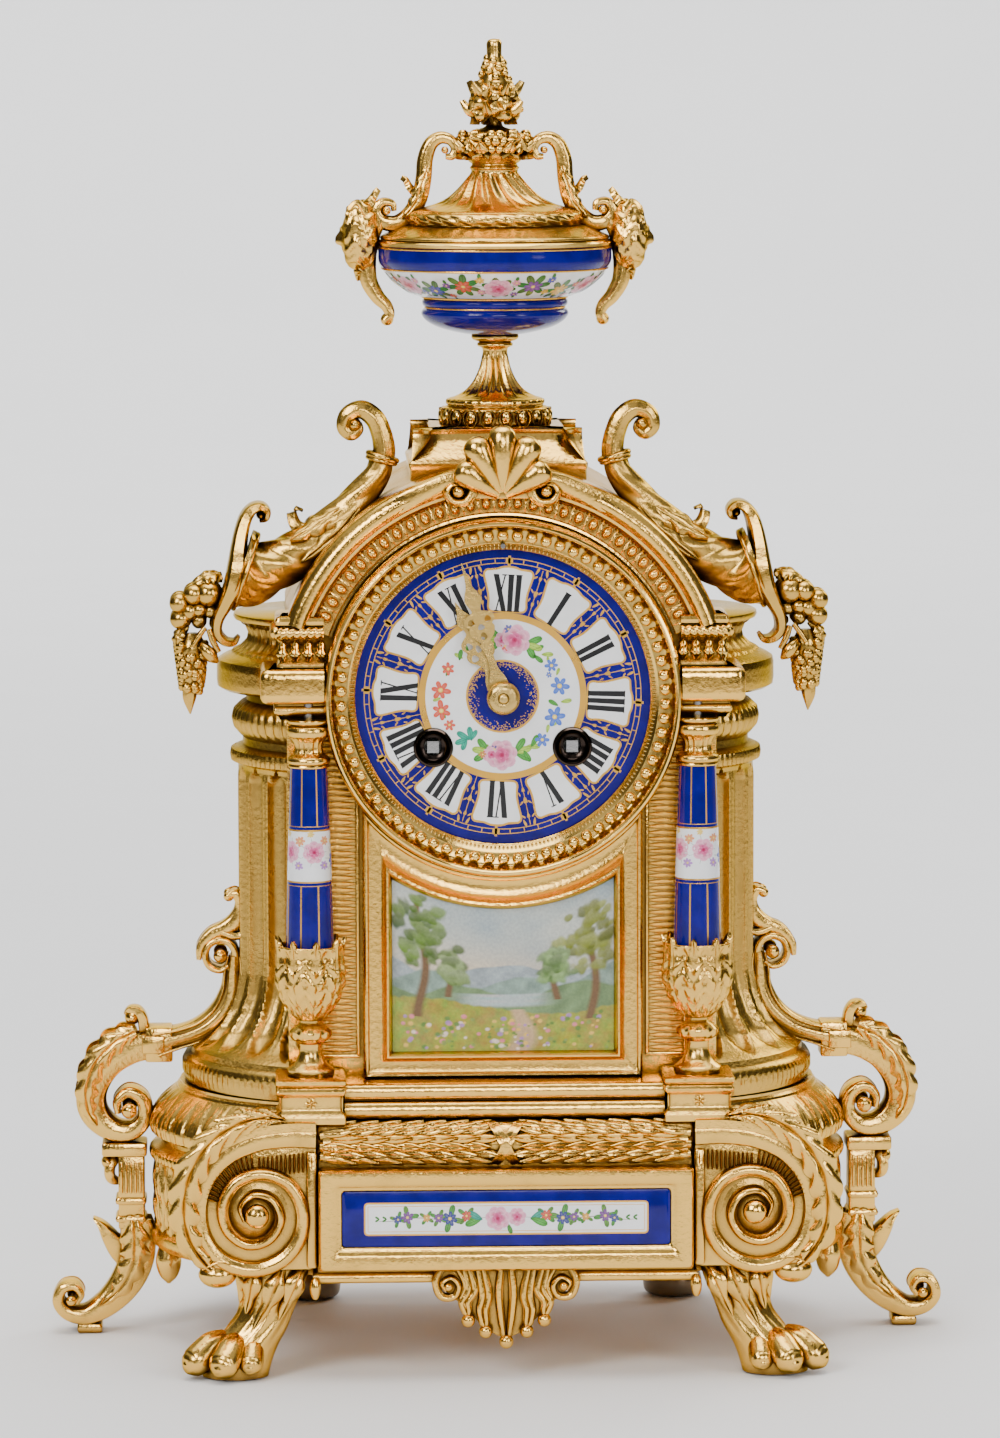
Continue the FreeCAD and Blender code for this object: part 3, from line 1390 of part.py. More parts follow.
def winding_arbor(x):
    """Arbor with its square for the key, its ratchet wheel and a back pivot."""
    half = winding_square / 2
    square_y = (winding_square_front_y, front_plate_y)
    square = block((x - half, x + half), square_y, (winding_z - half, winding_z + half))
    ratchet_y = front_plate_y - seat_gap - ratchet_thickness
    body = level_rod(x, winding_z, winding_arbor_r, (ratchet_y - ratchet_thickness, back_plate_front_y - end_shake))
    pivot = level_rod(x, winding_z, barrel_pivot_r, (front_plate_back_y, back_plate_back_y))
    ratchet = wheel(x, winding_z, ratchet_r, ratchet_teeth, ratchet_y, ratchet_thickness, False)
    return fused([square, body, pivot, ratchet])


def winding_clicks():
    """Clicks that rest beside the ratchet wheels on the front plate."""
    clicks = []
    for side in (-1, 1):
        inner = winding_x + ratchet_r + seat_gap
        x = sorted((side * inner, side * (inner + click_width)))
        y = (front_plate_y - ratchet_thickness, front_plate_y)
        clicks.append(block(x, y, (winding_z - click_length / 2, winding_z + click_length / 2)))
    return Part.makeCompound(clicks)


def intermediate_wheel():
    """Second wheel of the going train."""
    x, z = second_centre
    disc = wheel(x, z, second_wheel_r, wheel_teeth["second"], second_wheel_y)
    return fused(arbor(x, z) + [disc, pinion(x, z, second_pinion_r, second_pinion_y)])


def centre_wheel():
    """Centre wheel on the arbor that carries the cannon pinion."""
    x, z = centre
    disc = wheel(x, z, centre_wheel_r, wheel_teeth["centre"], centre_wheel_y)
    front = level_rod(x, z, arbor_r, (minute_hand_y, front_plate_back_y + end_shake))
    body = level_rod(x, z, arbor_r, (front_plate_back_y, back_plate_front_y - end_shake))
    pivot = level_rod(x, z, pivot_r, (front_plate_back_y, back_plate_back_y))
    return fused([front, body, pivot, disc, pinion(x, z, centre_pinion_r, centre_pinion_y)])


def third_wheel():
    """Third wheel of the going train."""
    x, z = third_centre
    disc = wheel(x, z, third_wheel_r, wheel_teeth["third"], third_wheel_y)
    return fused(arbor(x, z) + [disc, pinion(x, z, third_pinion_r, third_pinion_y)])


def escape_wheel():
    """Escape wheel with pointed teeth."""
    x, z = escape_centre
    disc = wheel(x, z, escape_wheel_r, escape_teeth, escape_wheel_y)
    return fused(arbor(x, z) + [disc, pinion(x, z, escape_pinion_r, escape_pinion_y)])


def pallet_anchor():
    """Anchor, its arbor through the back plate, and the crutch that holds the pendulum rod."""
    x, z = pallet_centre
    y = (escape_wheel_y - pallet_thickness / 4, escape_wheel_y + pallet_thickness)
    clear_r = escape_wheel_r + pallet_clear
    path = []
    for angle in (150.0, 120.0, 90.0, 60.0, 30.0):
        path.append(polar(angle, clear_r + pallet_arm_width, *escape_centre) + (pallet_arm_width,))
    arms = ribbon(path, *y)
    stem = block(
        (-pallet_arm_width, pallet_arm_width), y, (escape_centre[1] + clear_r + pallet_arm_width, z))
    body = level_rod(x, z, arbor_r, (front_plate_back_y + end_shake, crutch_y[1]))
    pivot = level_rod(x, z, pivot_r, (front_plate_y, front_plate_back_y + end_shake))
    foot_z = z - crutch_length
    crutch = block((-crutch_half_width, crutch_half_width), crutch_y, (foot_z, z))
    bridge_half = crutch_slot_half_width + crutch_half_width
    bridge = block((-bridge_half, bridge_half), crutch_y, (foot_z - crutch_foot_height, foot_z))
    cheeks = []
    for side in (-1, 1):
        cheek_x = sorted((side * crutch_slot_half_width, side * bridge_half))
        cheeks.append(block(cheek_x, (crutch_y[0], crutch_foot_back_y), (foot_z - crutch_foot_height, foot_z)))
    return fused([arms, stem, body, pivot, crutch, bridge] + cheeks)


def pendulum():
    """Suspension spring, rod and lens-shaped bob."""
    top_z = pallet_centre[1] + pendulum_top
    bob_z = pallet_centre[1] - pendulum_length
    rod = upright_rod(0, pendulum_y, pendulum_rod_r, (bob_z, top_z))
    half = bob_thickness / 2
    edge = half * bob_edge_share
    bob = turned_level([
        (0, pendulum_y - half),
        (bob_r, pendulum_y - edge, 0.2),
        (bob_r, pendulum_y + edge),
        (0, pendulum_y + half, 0.2),
    ], 0, bob_z)
    nut = upright_rod(0, pendulum_y, pendulum_rod_r * 2, (bob_z - bob_r - 2 * pendulum_rod_r, bob_z))
    return fused([rod, bob, nut])


def hand_blade(shares, length, front_y):
    """Blade of a hand, pointing up."""
    right = scaled(shares, length, length, 0, dial_z)
    left = [(-point[0], point[1]) for point in reversed(right)]
    for index in range(1, len(right)):
        left[index] = left[index] + tuple(right[len(right) - index][2:])
    return slab(right + left, front_y, front_y + hand_thickness)


def minute_hand():
    """Minute hand on its cannon pinion, with the domed nut in front."""
    blade = hand_blade(minute_outline_shares, minute_hand_length, minute_hand_y)
    blade.rotate(Vector(0, 0, dial_z), Vector(0, 1, 0), minute_hand_angle)
    pipe = level_rod(0, dial_z, cannon_r, (minute_hand_y, cannon_pinion_y[1]))
    teeth = pinion(0, dial_z, cannon_pinion_r, cannon_pinion_y)
    nut = turned_level([
        (0, minute_hand_y),
        (0, minute_hand_y - hand_nut_height),
        (hand_nut_r, minute_hand_y, 0.5),
    ], 0, dial_z)
    bore_y = (minute_hand_y, cannon_pinion_y[1] + overrun)
    return fused([blade, pipe, teeth, nut]).cut(level_rod(0, dial_z, arbor_r + running_gap, bore_y))


def hour_hand():
    """Hour hand on the pipe of the hour wheel."""
    blade = hand_blade(hour_outline_shares, hour_hand_length, hour_hand_y)
    blade.rotate(Vector(0, 0, dial_z), Vector(0, 1, 0), hour_hand_angle)
    bore_r = cannon_r + running_gap
    pipe = level_rod(0, dial_z, bore_r + hour_pipe_wall, (hour_hand_y, hour_wheel_y + wheel_thickness))
    disc = wheel(0, dial_z, hour_wheel_r, wheel_teeth["hour"], hour_wheel_y, wheel_thickness, False)
    bore_y = (hour_hand_y - overrun, hour_wheel_y + wheel_thickness + overrun)
    return fused([blade, pipe, disc]).cut(level_rod(0, dial_z, bore_r, bore_y))


def minute_wheel():
    """Minute wheel and its pinion, free on the post of the front plate."""
    x, z = minute_centre
    disc = wheel(x, z, minute_wheel_r, wheel_teeth["minute"], minute_wheel_y, wheel_thickness, False)
    teeth = pinion(x, z, minute_pinion_r, minute_pinion_y)
    bore_y = (minute_pinion_y[0] - overrun, minute_wheel_y + wheel_thickness + overrun)
    return fused([disc, teeth]).cut(level_rod(x, z, motion_arbor_r + running_gap, bore_y))


def regulator_arbor():
    """Thin arbor from the hole above the dial to the suspension."""
    z = dial_z + regulator_ring_r
    rod = level_rod(0, z, regulator_r, (regulator_front_y, regulator_back_y))
    teeth = level_rod(0, z, regulator_pinion_r, (back_plate_back_y + end_shake, regulator_back_y))
    return fused([rod, teeth])


def pin_wheel():
    """Strike wheel whose pins lift the hammer."""
    x, z = pin_centre
    disc = wheel(x, z, pin_wheel_r, wheel_teeth["pin"], second_wheel_y)
    shapes = arbor(x, z) + [disc, pinion(x, z, second_pinion_r, second_pinion_y)]
    for index in range(pin_count):
        pin_x, pin_z = polar(360.0 * index / pin_count, pin_ring_share * pin_wheel_r, x, z)
        start_y = second_wheel_y + wheel_thickness
        shapes.append(level_rod(pin_x, pin_z, pin_r, (start_y, start_y + pin_length)))
    return fused(shapes)


def warning_wheel():
    """Warning wheel of the strike train."""
    x, z = warning_centre
    disc = wheel(x, z, warning_wheel_r, wheel_teeth["warning"], warning_wheel_y)
    return fused(arbor(x, z) + [disc, pinion(x, z, warning_pinion_r, warning_pinion_y)])


def fly():
    """Air brake of the strike train."""
    x, z = fly_centre
    half = fly_vane_half_width
    thin = fly_vane_thickness / 2
    vane = block((x - half, x + half), fly_vane_y, (z - thin, z + thin))
    return fused(arbor(x, z) + [vane, pinion(x, z, fly_pinion_r, fly_pinion_y)])


def bell():
    """Bell, open to the front."""
    back_y = bell_mouth_y + bell_depth
    bow = math.tan(math.atan(bell_depth / bell_r) / 2)
    dome = turned_level([
        (0, back_y - bell_wall),
        (bell_r - bell_wall, bell_mouth_y, -bow),
        (bell_r, bell_mouth_y),
        (0, back_y, bow),
    ], 0, dial_z)
    hole_y = (back_y - 2 * bell_wall, back_y + overrun)
    return dome.cut(level_rod(0, dial_z, bell_post_r / 2 + running_gap, hole_y))


def bell_stand():
    """Post, bar and stud that carry the bell behind the pendulum, with the nut on the bell."""
    post_z = dial_z - bell_post_drop
    post = level_rod(bell_post_x, post_z, bell_post_r, (back_plate_back_y, bell_bar_y[1]))
    path = [(bell_post_x, post_z, bell_bar_half_width), (0, dial_z, bell_bar_half_width)]
    arm = ribbon(path, *bell_bar_y)
    back_y = bell_mouth_y + bell_depth
    stud = level_rod(0, dial_z, bell_post_r, (bell_bar_y[0], back_y - bell_wall - seat_gap))
    thread = level_rod(0, dial_z, bell_post_r / 2, (bell_bar_y[0], back_y + bell_nut_height))
    nut = level_rod(0, dial_z, bell_nut_r, (back_y, back_y + bell_nut_height))
    return fused([post, arm, stud, thread, nut])


def hammer():
    """Hammer on its arbor, at rest just off the bell's rim."""
    x, z = hammer_centre
    reach = bell_r + hammer_gap + hammer_head_r
    head_x, head_z = polar(hammer_head_angle, reach, 0, dial_z)
    body = level_rod(x, z, arbor_r, (front_plate_y, hammer_y[1]))
    arm = ribbon([(x, z, hammer_arm_half_width), (head_x, head_z, hammer_arm_half_width)], *hammer_y)
    head = level_rod(head_x, head_z, hammer_head_r, hammer_head_y)
    return fused([body, arm, head])


def main():
    """Make every piece and write it to its own file."""
    envelope = base_envelope()
    tower_full = tower_round()
    right_tower = tower(tower_full)
    right_bracket = paw_bracket(envelope)
    right_scroll = side_scroll(envelope, tower_full)
    front = facade()
    casing = body_shell()
    plinth = urn_plinth()
    bowl = urn_bowl()
    lid = urn_lid()
    right_horn = cornucopia(front, casing, plinth)
    pieces = {
        "base_plinth": base_plinth(envelope),
        "left_paw_bracket": mirrored(right_bracket),
        "right_paw_bracket": right_bracket,
        "left_side_scroll": mirrored(right_scroll),
        "right_side_scroll": right_scroll,
        "rear_feet": rear_feet(),
        "tablet_frame": tablet_frame(),
        "porcelain_tablet": porcelain_tablet(),
        "apron_shell": apron_shell(),
        "facade": front,
        "body_shell": casing,
        "left_tower": mirrored(right_tower),
        "right_tower": right_tower,
        "back_plate": back_plate(),
        "back_door": back_door(),
        "door_hinge_pin": door_hinge_pin(),
        "case_screws": case_screws(),
        "picture_frame": picture_frame(),
        "porcelain_picture": porcelain_picture(),
        "column_feet": on_both_sides(column_foot),
        "column_shafts": on_both_sides(column_shaft),
        "column_caps": on_both_sides(column_cap),
        "tie_rods": tie_rods(),
        "urn_plinth": plinth,
        "urn_stem": urn_piece(urn_stem_shares, urn_stem_r, urn_stem_height, urn_plinth_top_z),
        "urn_bowl": bowl,
        "urn_lid": lid,
        "urn_finial": urn_finial(),
        "urn_handles": urn_handles(lid, bowl),
        "keystone_leaf": keystone_leaf(front),
        "cornucopias": Part.makeCompound([mirrored(right_horn), right_horn]),
        "bezel": bezel(),
        "dial": dial_disc(dial_r, (dial_front_y, dial_front_y + dial_thickness)),
        "dial_pan": dial_pan(),
        "movement_drum": movement_drum(),
        "movement_straps": movement_straps(),
        "front_movement_plate": front_movement_plate(),
        "back_movement_plate": back_movement_plate(),
        "movement_pillars": movement_pillars(),
        "going_barrel": barrel(winding_x),
        "strike_barrel": barrel(-winding_x),
        "going_winding_arbor": winding_arbor(winding_x),
        "strike_winding_arbor": winding_arbor(-winding_x),
        "winding_clicks": winding_clicks(),
        "intermediate_wheel": intermediate_wheel(),
        "centre_wheel": centre_wheel(),
        "third_wheel": third_wheel(),
        "escape_wheel": escape_wheel(),
        "pallet_anchor": pallet_anchor(),
        "pendulum": pendulum(),
        "minute_hand": minute_hand(),
        "hour_hand": hour_hand(),
        "minute_wheel": minute_wheel(),
        "regulator_arbor": regulator_arbor(),
        "pin_wheel": pin_wheel(),
        "warning_wheel": warning_wheel(),
        "fly": fly(),
        "bell": bell(),
        "bell_stand": bell_stand(),
        "hammer": hammer(),
    }
    os.makedirs("parts", exist_ok=True)
    for name, shape in pieces.items():
        shape.exportStep(os.path.join("parts", name + ".step"))
        box = shape.BoundBox
        sizes = [round(value, 2) for value in (box.XMin, box.XMax, box.YMin, box.YMax, box.ZMin, box.ZMax)]
        print(name, len(shape.Solids), "solids, valid", shape.isValid(), "volume", round(shape.Volume, 1), sizes)


main()
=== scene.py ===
"""Gilt bronze and porcelain mantel clock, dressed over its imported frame.

Shapes are worked out in millimetres in the frame's own axes (X right, Y back, Z up) and become
metres when a mesh is made. Each sub-assembly of the clock is a class with its sizes as fields.
"""
import json
import logging
import math
from dataclasses import dataclass
from enum import Enum
from typing import Callable, Sequence

import bmesh
import bpy
import numpy as np
from mathutils import Matrix, Vector
from mathutils.geometry import delaunay_2d_cdt

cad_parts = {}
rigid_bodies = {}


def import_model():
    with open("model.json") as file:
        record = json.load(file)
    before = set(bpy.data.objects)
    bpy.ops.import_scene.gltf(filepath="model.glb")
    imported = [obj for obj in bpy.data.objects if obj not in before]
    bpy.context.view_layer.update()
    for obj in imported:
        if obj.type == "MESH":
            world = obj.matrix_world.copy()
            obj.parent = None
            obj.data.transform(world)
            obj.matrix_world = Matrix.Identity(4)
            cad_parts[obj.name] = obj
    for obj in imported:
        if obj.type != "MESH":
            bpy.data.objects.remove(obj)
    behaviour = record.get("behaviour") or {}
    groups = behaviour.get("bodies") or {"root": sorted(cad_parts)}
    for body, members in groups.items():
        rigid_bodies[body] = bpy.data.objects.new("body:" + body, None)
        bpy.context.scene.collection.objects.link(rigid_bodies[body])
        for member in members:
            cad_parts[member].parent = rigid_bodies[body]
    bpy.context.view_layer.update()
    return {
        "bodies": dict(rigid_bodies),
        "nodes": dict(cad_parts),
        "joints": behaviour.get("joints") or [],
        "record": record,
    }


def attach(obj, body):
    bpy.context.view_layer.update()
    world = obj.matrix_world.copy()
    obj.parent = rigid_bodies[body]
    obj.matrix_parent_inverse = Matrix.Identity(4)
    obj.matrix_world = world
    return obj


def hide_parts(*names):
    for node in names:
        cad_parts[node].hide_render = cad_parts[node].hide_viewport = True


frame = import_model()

LOG = logging.getLogger("clock")
Array = np.ndarray
Object = bpy.types.Object
Material = bpy.types.Material
Tree = bpy.types.NodeTree
Colour = tuple[float, float, float]
MM = 0.001
FRONT = np.array([0.0, -1.0, 0.0])
UP = np.array([0.0, 0.0, 1.0])
SIDES = ((1, "right"), (-1, "left"))
MIDDLE_Y = 10.6
DIAL_Z = 205.5
MERGE = 0.002
PORCELAIN = (0.83, 0.835, 0.84)


class Body(Enum):
    """The bodies of the frame that dressed pieces ride on."""

    CASE = "case"
    MINUTE = "minute_hand"
    HOUR = "hour_hand"


# --------------------------------------------------------------------------- curves and meshes
def unit(vectors: Array) -> Array:
    """Vectors along the last axis, each made one long."""
    return vectors / np.maximum(np.linalg.norm(vectors, axis=-1, keepdims=True), 1e-9)


def flow(table: Sequence[Sequence[float]], samples: int) -> Array:
    """Draws a smooth curve through the rows of a table.

    Args:
        table: Rows of numbers, such as x, z and a width.
        samples: How many points to return.

    Returns:
        One row per sample, with the columns of the table.
    """
    rows = np.asarray(table, float)
    padded = np.vstack([2 * rows[0] - rows[1], rows, 2 * rows[-1] - rows[-2]])
    place = np.linspace(0, len(rows) - 1, samples)
    start = np.minimum(place.astype(int), len(rows) - 2)
    f = (place - start)[:, None]
    a, b, c, d = (padded[start + k] for k in range(4))
    return 0.5 * (2 * b + (c - a) * f + (2 * a - 5 * b + 4 * c - d) * f**2 + (3 * b - a - 3 * c + d) * f**3)


def soften(points: Sequence[Sequence[float]], cut: float = 0.5, steps: int = 3, closed: bool = False) -> Array:
    """Rounds the corners of an outline.

    Args:
        points: Corners, in order.
        cut: Length taken off each side of a corner, in millimetres.
        steps: Points that each corner becomes.
        closed: Whether the last corner joins the first.

    Returns:
        The rounded outline.
    """
    pts = np.asarray(points, float)
    result = [] if closed else [pts[0]]
    for i in range(0 if closed else 1, len(pts) if closed else len(pts) - 1):
        here, before, after = pts[i], pts[i - 1], pts[(i + 1) % len(pts)]
        to_before, to_after = before - here, after - here
        lengths = np.linalg.norm(to_before), np.linalg.norm(to_after)
        start = here + to_before / max(lengths[0], 1e-9) * min(cut, 0.45 * lengths[0])
        end = here + to_after / max(lengths[1], 1e-9) * min(cut, 0.45 * lengths[1])
        for t in np.linspace(0, 1, steps):
            result.append((1 - t) ** 2 * start + 2 * t * (1 - t) * here + t**2 * end)
    if not closed:
        result.append(pts[-1])
    return np.array(result)


def polar(angle: float, radius: float, centre: Sequence[float] = (0.0, 0.0)) -> tuple[float, float]:
    """Point at an angle in degrees, clockwise from straight up."""
    turn = math.radians(angle)
    return centre[0] + radius * math.sin(turn), centre[1] + radius * math.cos(turn)


def once_round(count: int) -> Array:
    """Angles once round, in radians."""
    return np.linspace(0, 2 * np.pi, count, endpoint=False)


def stand(flat: Array, y: float) -> Array:
    """Points of x and z, stood upright at one y."""
    return np.column_stack([flat[:, 0], np.full(len(flat), y), flat[:, 1]])


def rounded_box(low: Sequence[float], high: Sequence[float], cut: float, steps: int = 5) -> Array:
    """Rectangle between two corners, with its corners rounded."""
    return soften([(low[0], low[1]), (high[0], low[1]), (high[0], high[1]), (low[0], high[1])], cut, steps, True)


def round_outline(at: Sequence[float], radius: float, count: int = 28) -> Array:
    """Circle as an outline."""
    turn = once_round(count)
    return np.column_stack([at[0] + radius * np.cos(turn), at[1] + radius * np.sin(turn)])


def bump(values: Array, sharpness: float = 1.0) -> Array:
    """Round rises that repeat once per unit, from 0 to 1."""
    return (0.5 + 0.5 * np.cos(2 * np.pi * values)) ** sharpness


class Shell:
    """Gathers closed skins in millimetres and turns them into one mesh object."""

    def __init__(self) -> None:
        """Starts empty."""
        self.points: list[Array] = []
        self.faces: list[Array] = []
        self.total = 0

    def add(self, points: Array, faces: Array) -> None:
        """Adds points and the faces among them, counted from the first of these points.

        Args:
            points: Points, in millimetres.
            faces: Corners of each face, counted from the first of these points.
        """
        self.points.append(np.asarray(points, float).reshape(-1, 3))
        self.faces.append(np.asarray(faces) + self.total)
        self.total += len(self.points[-1])

    def grid(self, rows: Array, around: bool = True, ends: bool = True, loop: bool = False) -> None:
        """Adds a net of quads.

        Args:
            rows: Points by row and column.
            around: Whether each row closes on itself.
            ends: Whether the first and last rows are filled in.
            loop: Whether the last row joins the first.
        """
        m, n, _ = rows.shape
        index = np.arange(m * n).reshape(m, n)
        a, b = (index, np.roll(index, -1, 0)) if loop else (index[:-1], index[1:])
        a2, b2 = np.roll(a, -1, 1), np.roll(b, -1, 1)
        if not around:
            a, b, a2, b2 = a[:, :-1], b[:, :-1], a2[:, :-1], b2[:, :-1]
        self.add(rows, np.stack([a, a2, b2, b], -1).reshape(-1, 4))
        if ends and not loop:
            for row in (rows[0], rows[-1]):
                ring = np.arange(n)
                fan = np.stack([ring, np.roll(ring, -1), np.full(n, n)], -1)
                self.add(np.vstack([row, row.mean(0)]), fan)

    def pillow(self, front: Array, back: Array) -> None:
        """Adds a leaf-like skin with a front and a back net of the same size."""
        self.grid(np.concatenate([front, back[:, ::-1]], axis=1))

    def ball(self, at: Sequence[float], radius: float, detail: int = 8, squash: Sequence[float] = (1, 1, 1)) -> None:
        """Adds a small round fruit, bead or knob.

        Args:
            at: Centre.
            radius: Radius.
            detail: Faces around it.
            squash: Scale along each axis.
        """
        tilt = np.linspace(-np.pi / 2, np.pi / 2, max(detail // 2 + 2, 5))[1:-1]
        turn = once_round(detail)
        t, p = np.meshgrid(tilt, turn, indexing="ij")
        unit_rows = np.stack([np.cos(t) * np.cos(p), np.cos(t) * np.sin(p), np.sin(t)], -1)
        self.grid(np.asarray(at) + radius * unit_rows * np.asarray(squash))

    def lathe(
        self,
        profile: Array,
        at: Sequence[float] = (0.0, 0.0),
        count: int = 96,
        relief: Callable[[Array, Array], Array] | None = None,
        ring: bool = False,
        level: bool = False,
    ) -> None:
        """Turns a profile.

        Args:
            profile: Points of radius and height.
            at: x and y of an upright axis, or x and z of one from front to back.
            count: Faces around.
            relief: Extra radius by angle and height.
            ring: Whether the profile is a closed loop.
            level: Whether the axis runs from front to back, with y as the height.
        """
        profile = np.asarray(profile, float)
        turn = once_round(count)[None, :]
        height = np.repeat(profile[:, 1:2], count, 1)
        radius = profile[:, :1] + (relief(turn + 0 * height, height) if relief else 0 * height)
        a, b = radius * np.cos(turn), radius * np.sin(turn)
        rows = np.stack([at[0] + a, height, at[1] + b] if level else [at[0] + a, at[1] + b, height], -1)
        self.grid(rows, ends=not ring, loop=ring)

    def sweep(self, path: Array, side: Array, out: Array, section: Array, loop: bool = False) -> None:
        """Carries a closed section along a path.

        Args:
            path: Points of the path.
            side: Direction of the section's first number at each point.
            out: Direction of its second.
            section: Points of the section, the same all along or by path point.
            loop: Whether the path closes.
        """
        section = np.asarray(section, float)
        if section.ndim == 2:
            section = np.repeat(section[None], len(path), 0)
        side, out = np.broadcast_to(side, path.shape), np.broadcast_to(out, path.shape)
        rows = path[:, None] + side[:, None] * section[..., :1] + out[:, None] * section[..., 1:2]
        self.grid(rows, loop=loop)

    def brick(self, low: Sequence[float], high: Sequence[float], cut: float = 0.5) -> None:
        """Adds a block with rounded upright and level edges.

        Args:
            low: Lowest corner.
            high: Highest corner.
            cut: Size of the rounding.
        """
        outline = rounded_box(low, high, cut, 4)
        middle = (np.asarray(low[:2]) + np.asarray(high[:2])) / 2
        half = (np.asarray(high[:2]) - np.asarray(low[:2])) / 2
        rows = []
        for inset, z in ((cut, low[2]), (0.3 * cut, low[2] + 0.3 * cut), (0, low[2] + cut), (0, high[2] - cut),
                         (0.3 * cut, high[2] - 0.3 * cut), (cut, high[2])):
            flat = middle + (outline - middle) * (1 - inset / half)
            rows.append(np.column_stack([flat, np.full(len(flat), z)]))
        self.grid(np.array(rows))

    def slab(self, outline: Array, front: float, back: float, cut: float = 0.6) -> None:
        """Adds a plate in the front plane, rounded towards the viewer.

        Args:
            outline: Closed outline of x and z.
            front: y of the front.
            back: y of the back.
            cut: Size of the rounding at the front edge.
        """
        outline = np.asarray(outline, float)
        ahead, behind = np.roll(outline, -1, 0), np.roll(outline, 1, 0)
        way = unit(ahead - behind)
        inward = np.column_stack([-way[:, 1], way[:, 0]])
        area = np.sum(outline[:, 0] * ahead[:, 1] - ahead[:, 0] * outline[:, 1])
        inward *= 1 if area > 0 else -1
        rows = []
        for inset, y in ((cut, front), (0.35 * cut, front + 0.25 * cut), (0, front + cut), (0, back)):
            flat = outline + inward * inset
            rows.append(stand(flat, y))
        self.grid(np.array(rows), ends=False)
        for row in (rows[0], rows[-1]):
            flat = [Vector((p[0], p[2])) for p in row]
            ring = list(range(len(flat)))
            made = delaunay_2d_cdt(flat, [], [ring], 1, 1e-5)
            y = row[0, 1]
            points = np.array([[v.x, y, v.y] for v in made[0]])
            self.add(points, np.array([tri for tri in made[2] if len(tri) == 3]))

    def scroll(self, table: Sequence[Sequence[float]], y: float, depth: float, channel: float = 0.25,
               samples: int = 60, detail: int = 20, proud: float = 0.0) -> None:
        """Adds a scroll bar that lies in the front plane.

        Args:
            table: Rows of x, z and half width.
            y: Middle of its depth.
            depth: Half of its depth.
            channel: How deep its front and back are hollowed, as a share of the depth.
            samples: Points along it.
            detail: Points around it.
            proud: How much thicker the widest stretch is, as a share of the depth.
        """
        rows = flow(table, samples)
        path = stand(rows, y)
        width = np.maximum(rows[:, 2:3], 0.15)
        way = unit(np.gradient(path, axis=0))
        side = np.cross(way, FRONT)
        turn = once_round(detail)[None, :]
        u = np.sign(np.cos(turn)) * np.abs(np.cos(turn)) ** 0.55
        v = np.sign(np.sin(turn)) * np.abs(np.sin(turn)) ** 0.45
        swell = 1 + proud * (width / width.max() - 1)
        v = v * (1 - channel * np.cos(np.pi / 2 * u) ** 2)
        ends = np.sin(np.pi * np.clip(np.linspace(0.03, 0.97, samples), 0, 1))[:, None] ** 0.25
        section = np.stack([u * width * ends, v * depth * swell * ends], -1)
        self.sweep(path, side, FRONT, section)

    def ridge(self, table: Sequence[Sequence[float]], y: float, samples: int = 160, back: float = 1.2) -> None:
        """Adds a rounded ridge that lies on a front face.

        Args:
            table: Rows of x, z, half width and rise.
            y: Where the face lies.
            samples: Points along it.
            back: How far it sinks in.
        """
        rows = flow(table, samples)
        path = stand(rows, y)
        side = np.cross(unit(np.gradient(path, axis=0)), FRONT)
        turn = np.linspace(0, np.pi, 11)[None, :]
        u = np.cos(turn) * np.maximum(rows[:, 2:3], 0.1)
        v = np.sin(turn) ** 0.75 * np.maximum(rows[:, 3:4], 0.1)
        groove = 1 - 0.16 * np.exp(-(((np.cos(turn) - 0.52) / 0.13) ** 2))
        flat = np.full((samples, 1), -back)
        section = np.stack([np.hstack([u, u[:, -1:], u[:, :1]]), np.hstack([v * groove, flat, flat])], -1)
        self.sweep(path, side, FRONT, section)

    def rod(self, table: Sequence[Sequence[float]], samples: int = 60, detail: int = 20, flutes: int = 0,
            twist: float = 0.0, depth: float = 0.1) -> None:
        """Adds a round rod that may be fluted.

        Args:
            table: Rows of x, y, z and radius.
            samples: Points along it.
            detail: Points around it.
            flutes: How many flutes, or none.
            twist: How many times the flutes turn round it.
            depth: Depth of the flutes as a share of the radius.
        """
        rows = flow(table, samples)
        way = unit(np.gradient(rows[:, :3], axis=0))
        side = unit(np.cross(way, FRONT + 0.001))
        out = np.cross(side, way)
        turn = once_round(detail)[None, :]
        lie = turn - 2 * np.pi * twist * np.linspace(0, 1, samples)[:, None]
        r = rows[:, 3:4] * (1 - depth * np.abs(np.sin(flutes * lie / 2)) ** 1.6 if flutes else 1 + 0 * lie)
        self.sweep(rows[:, :3], side, out, np.stack([r * np.cos(turn), r * np.sin(turn)], -1))

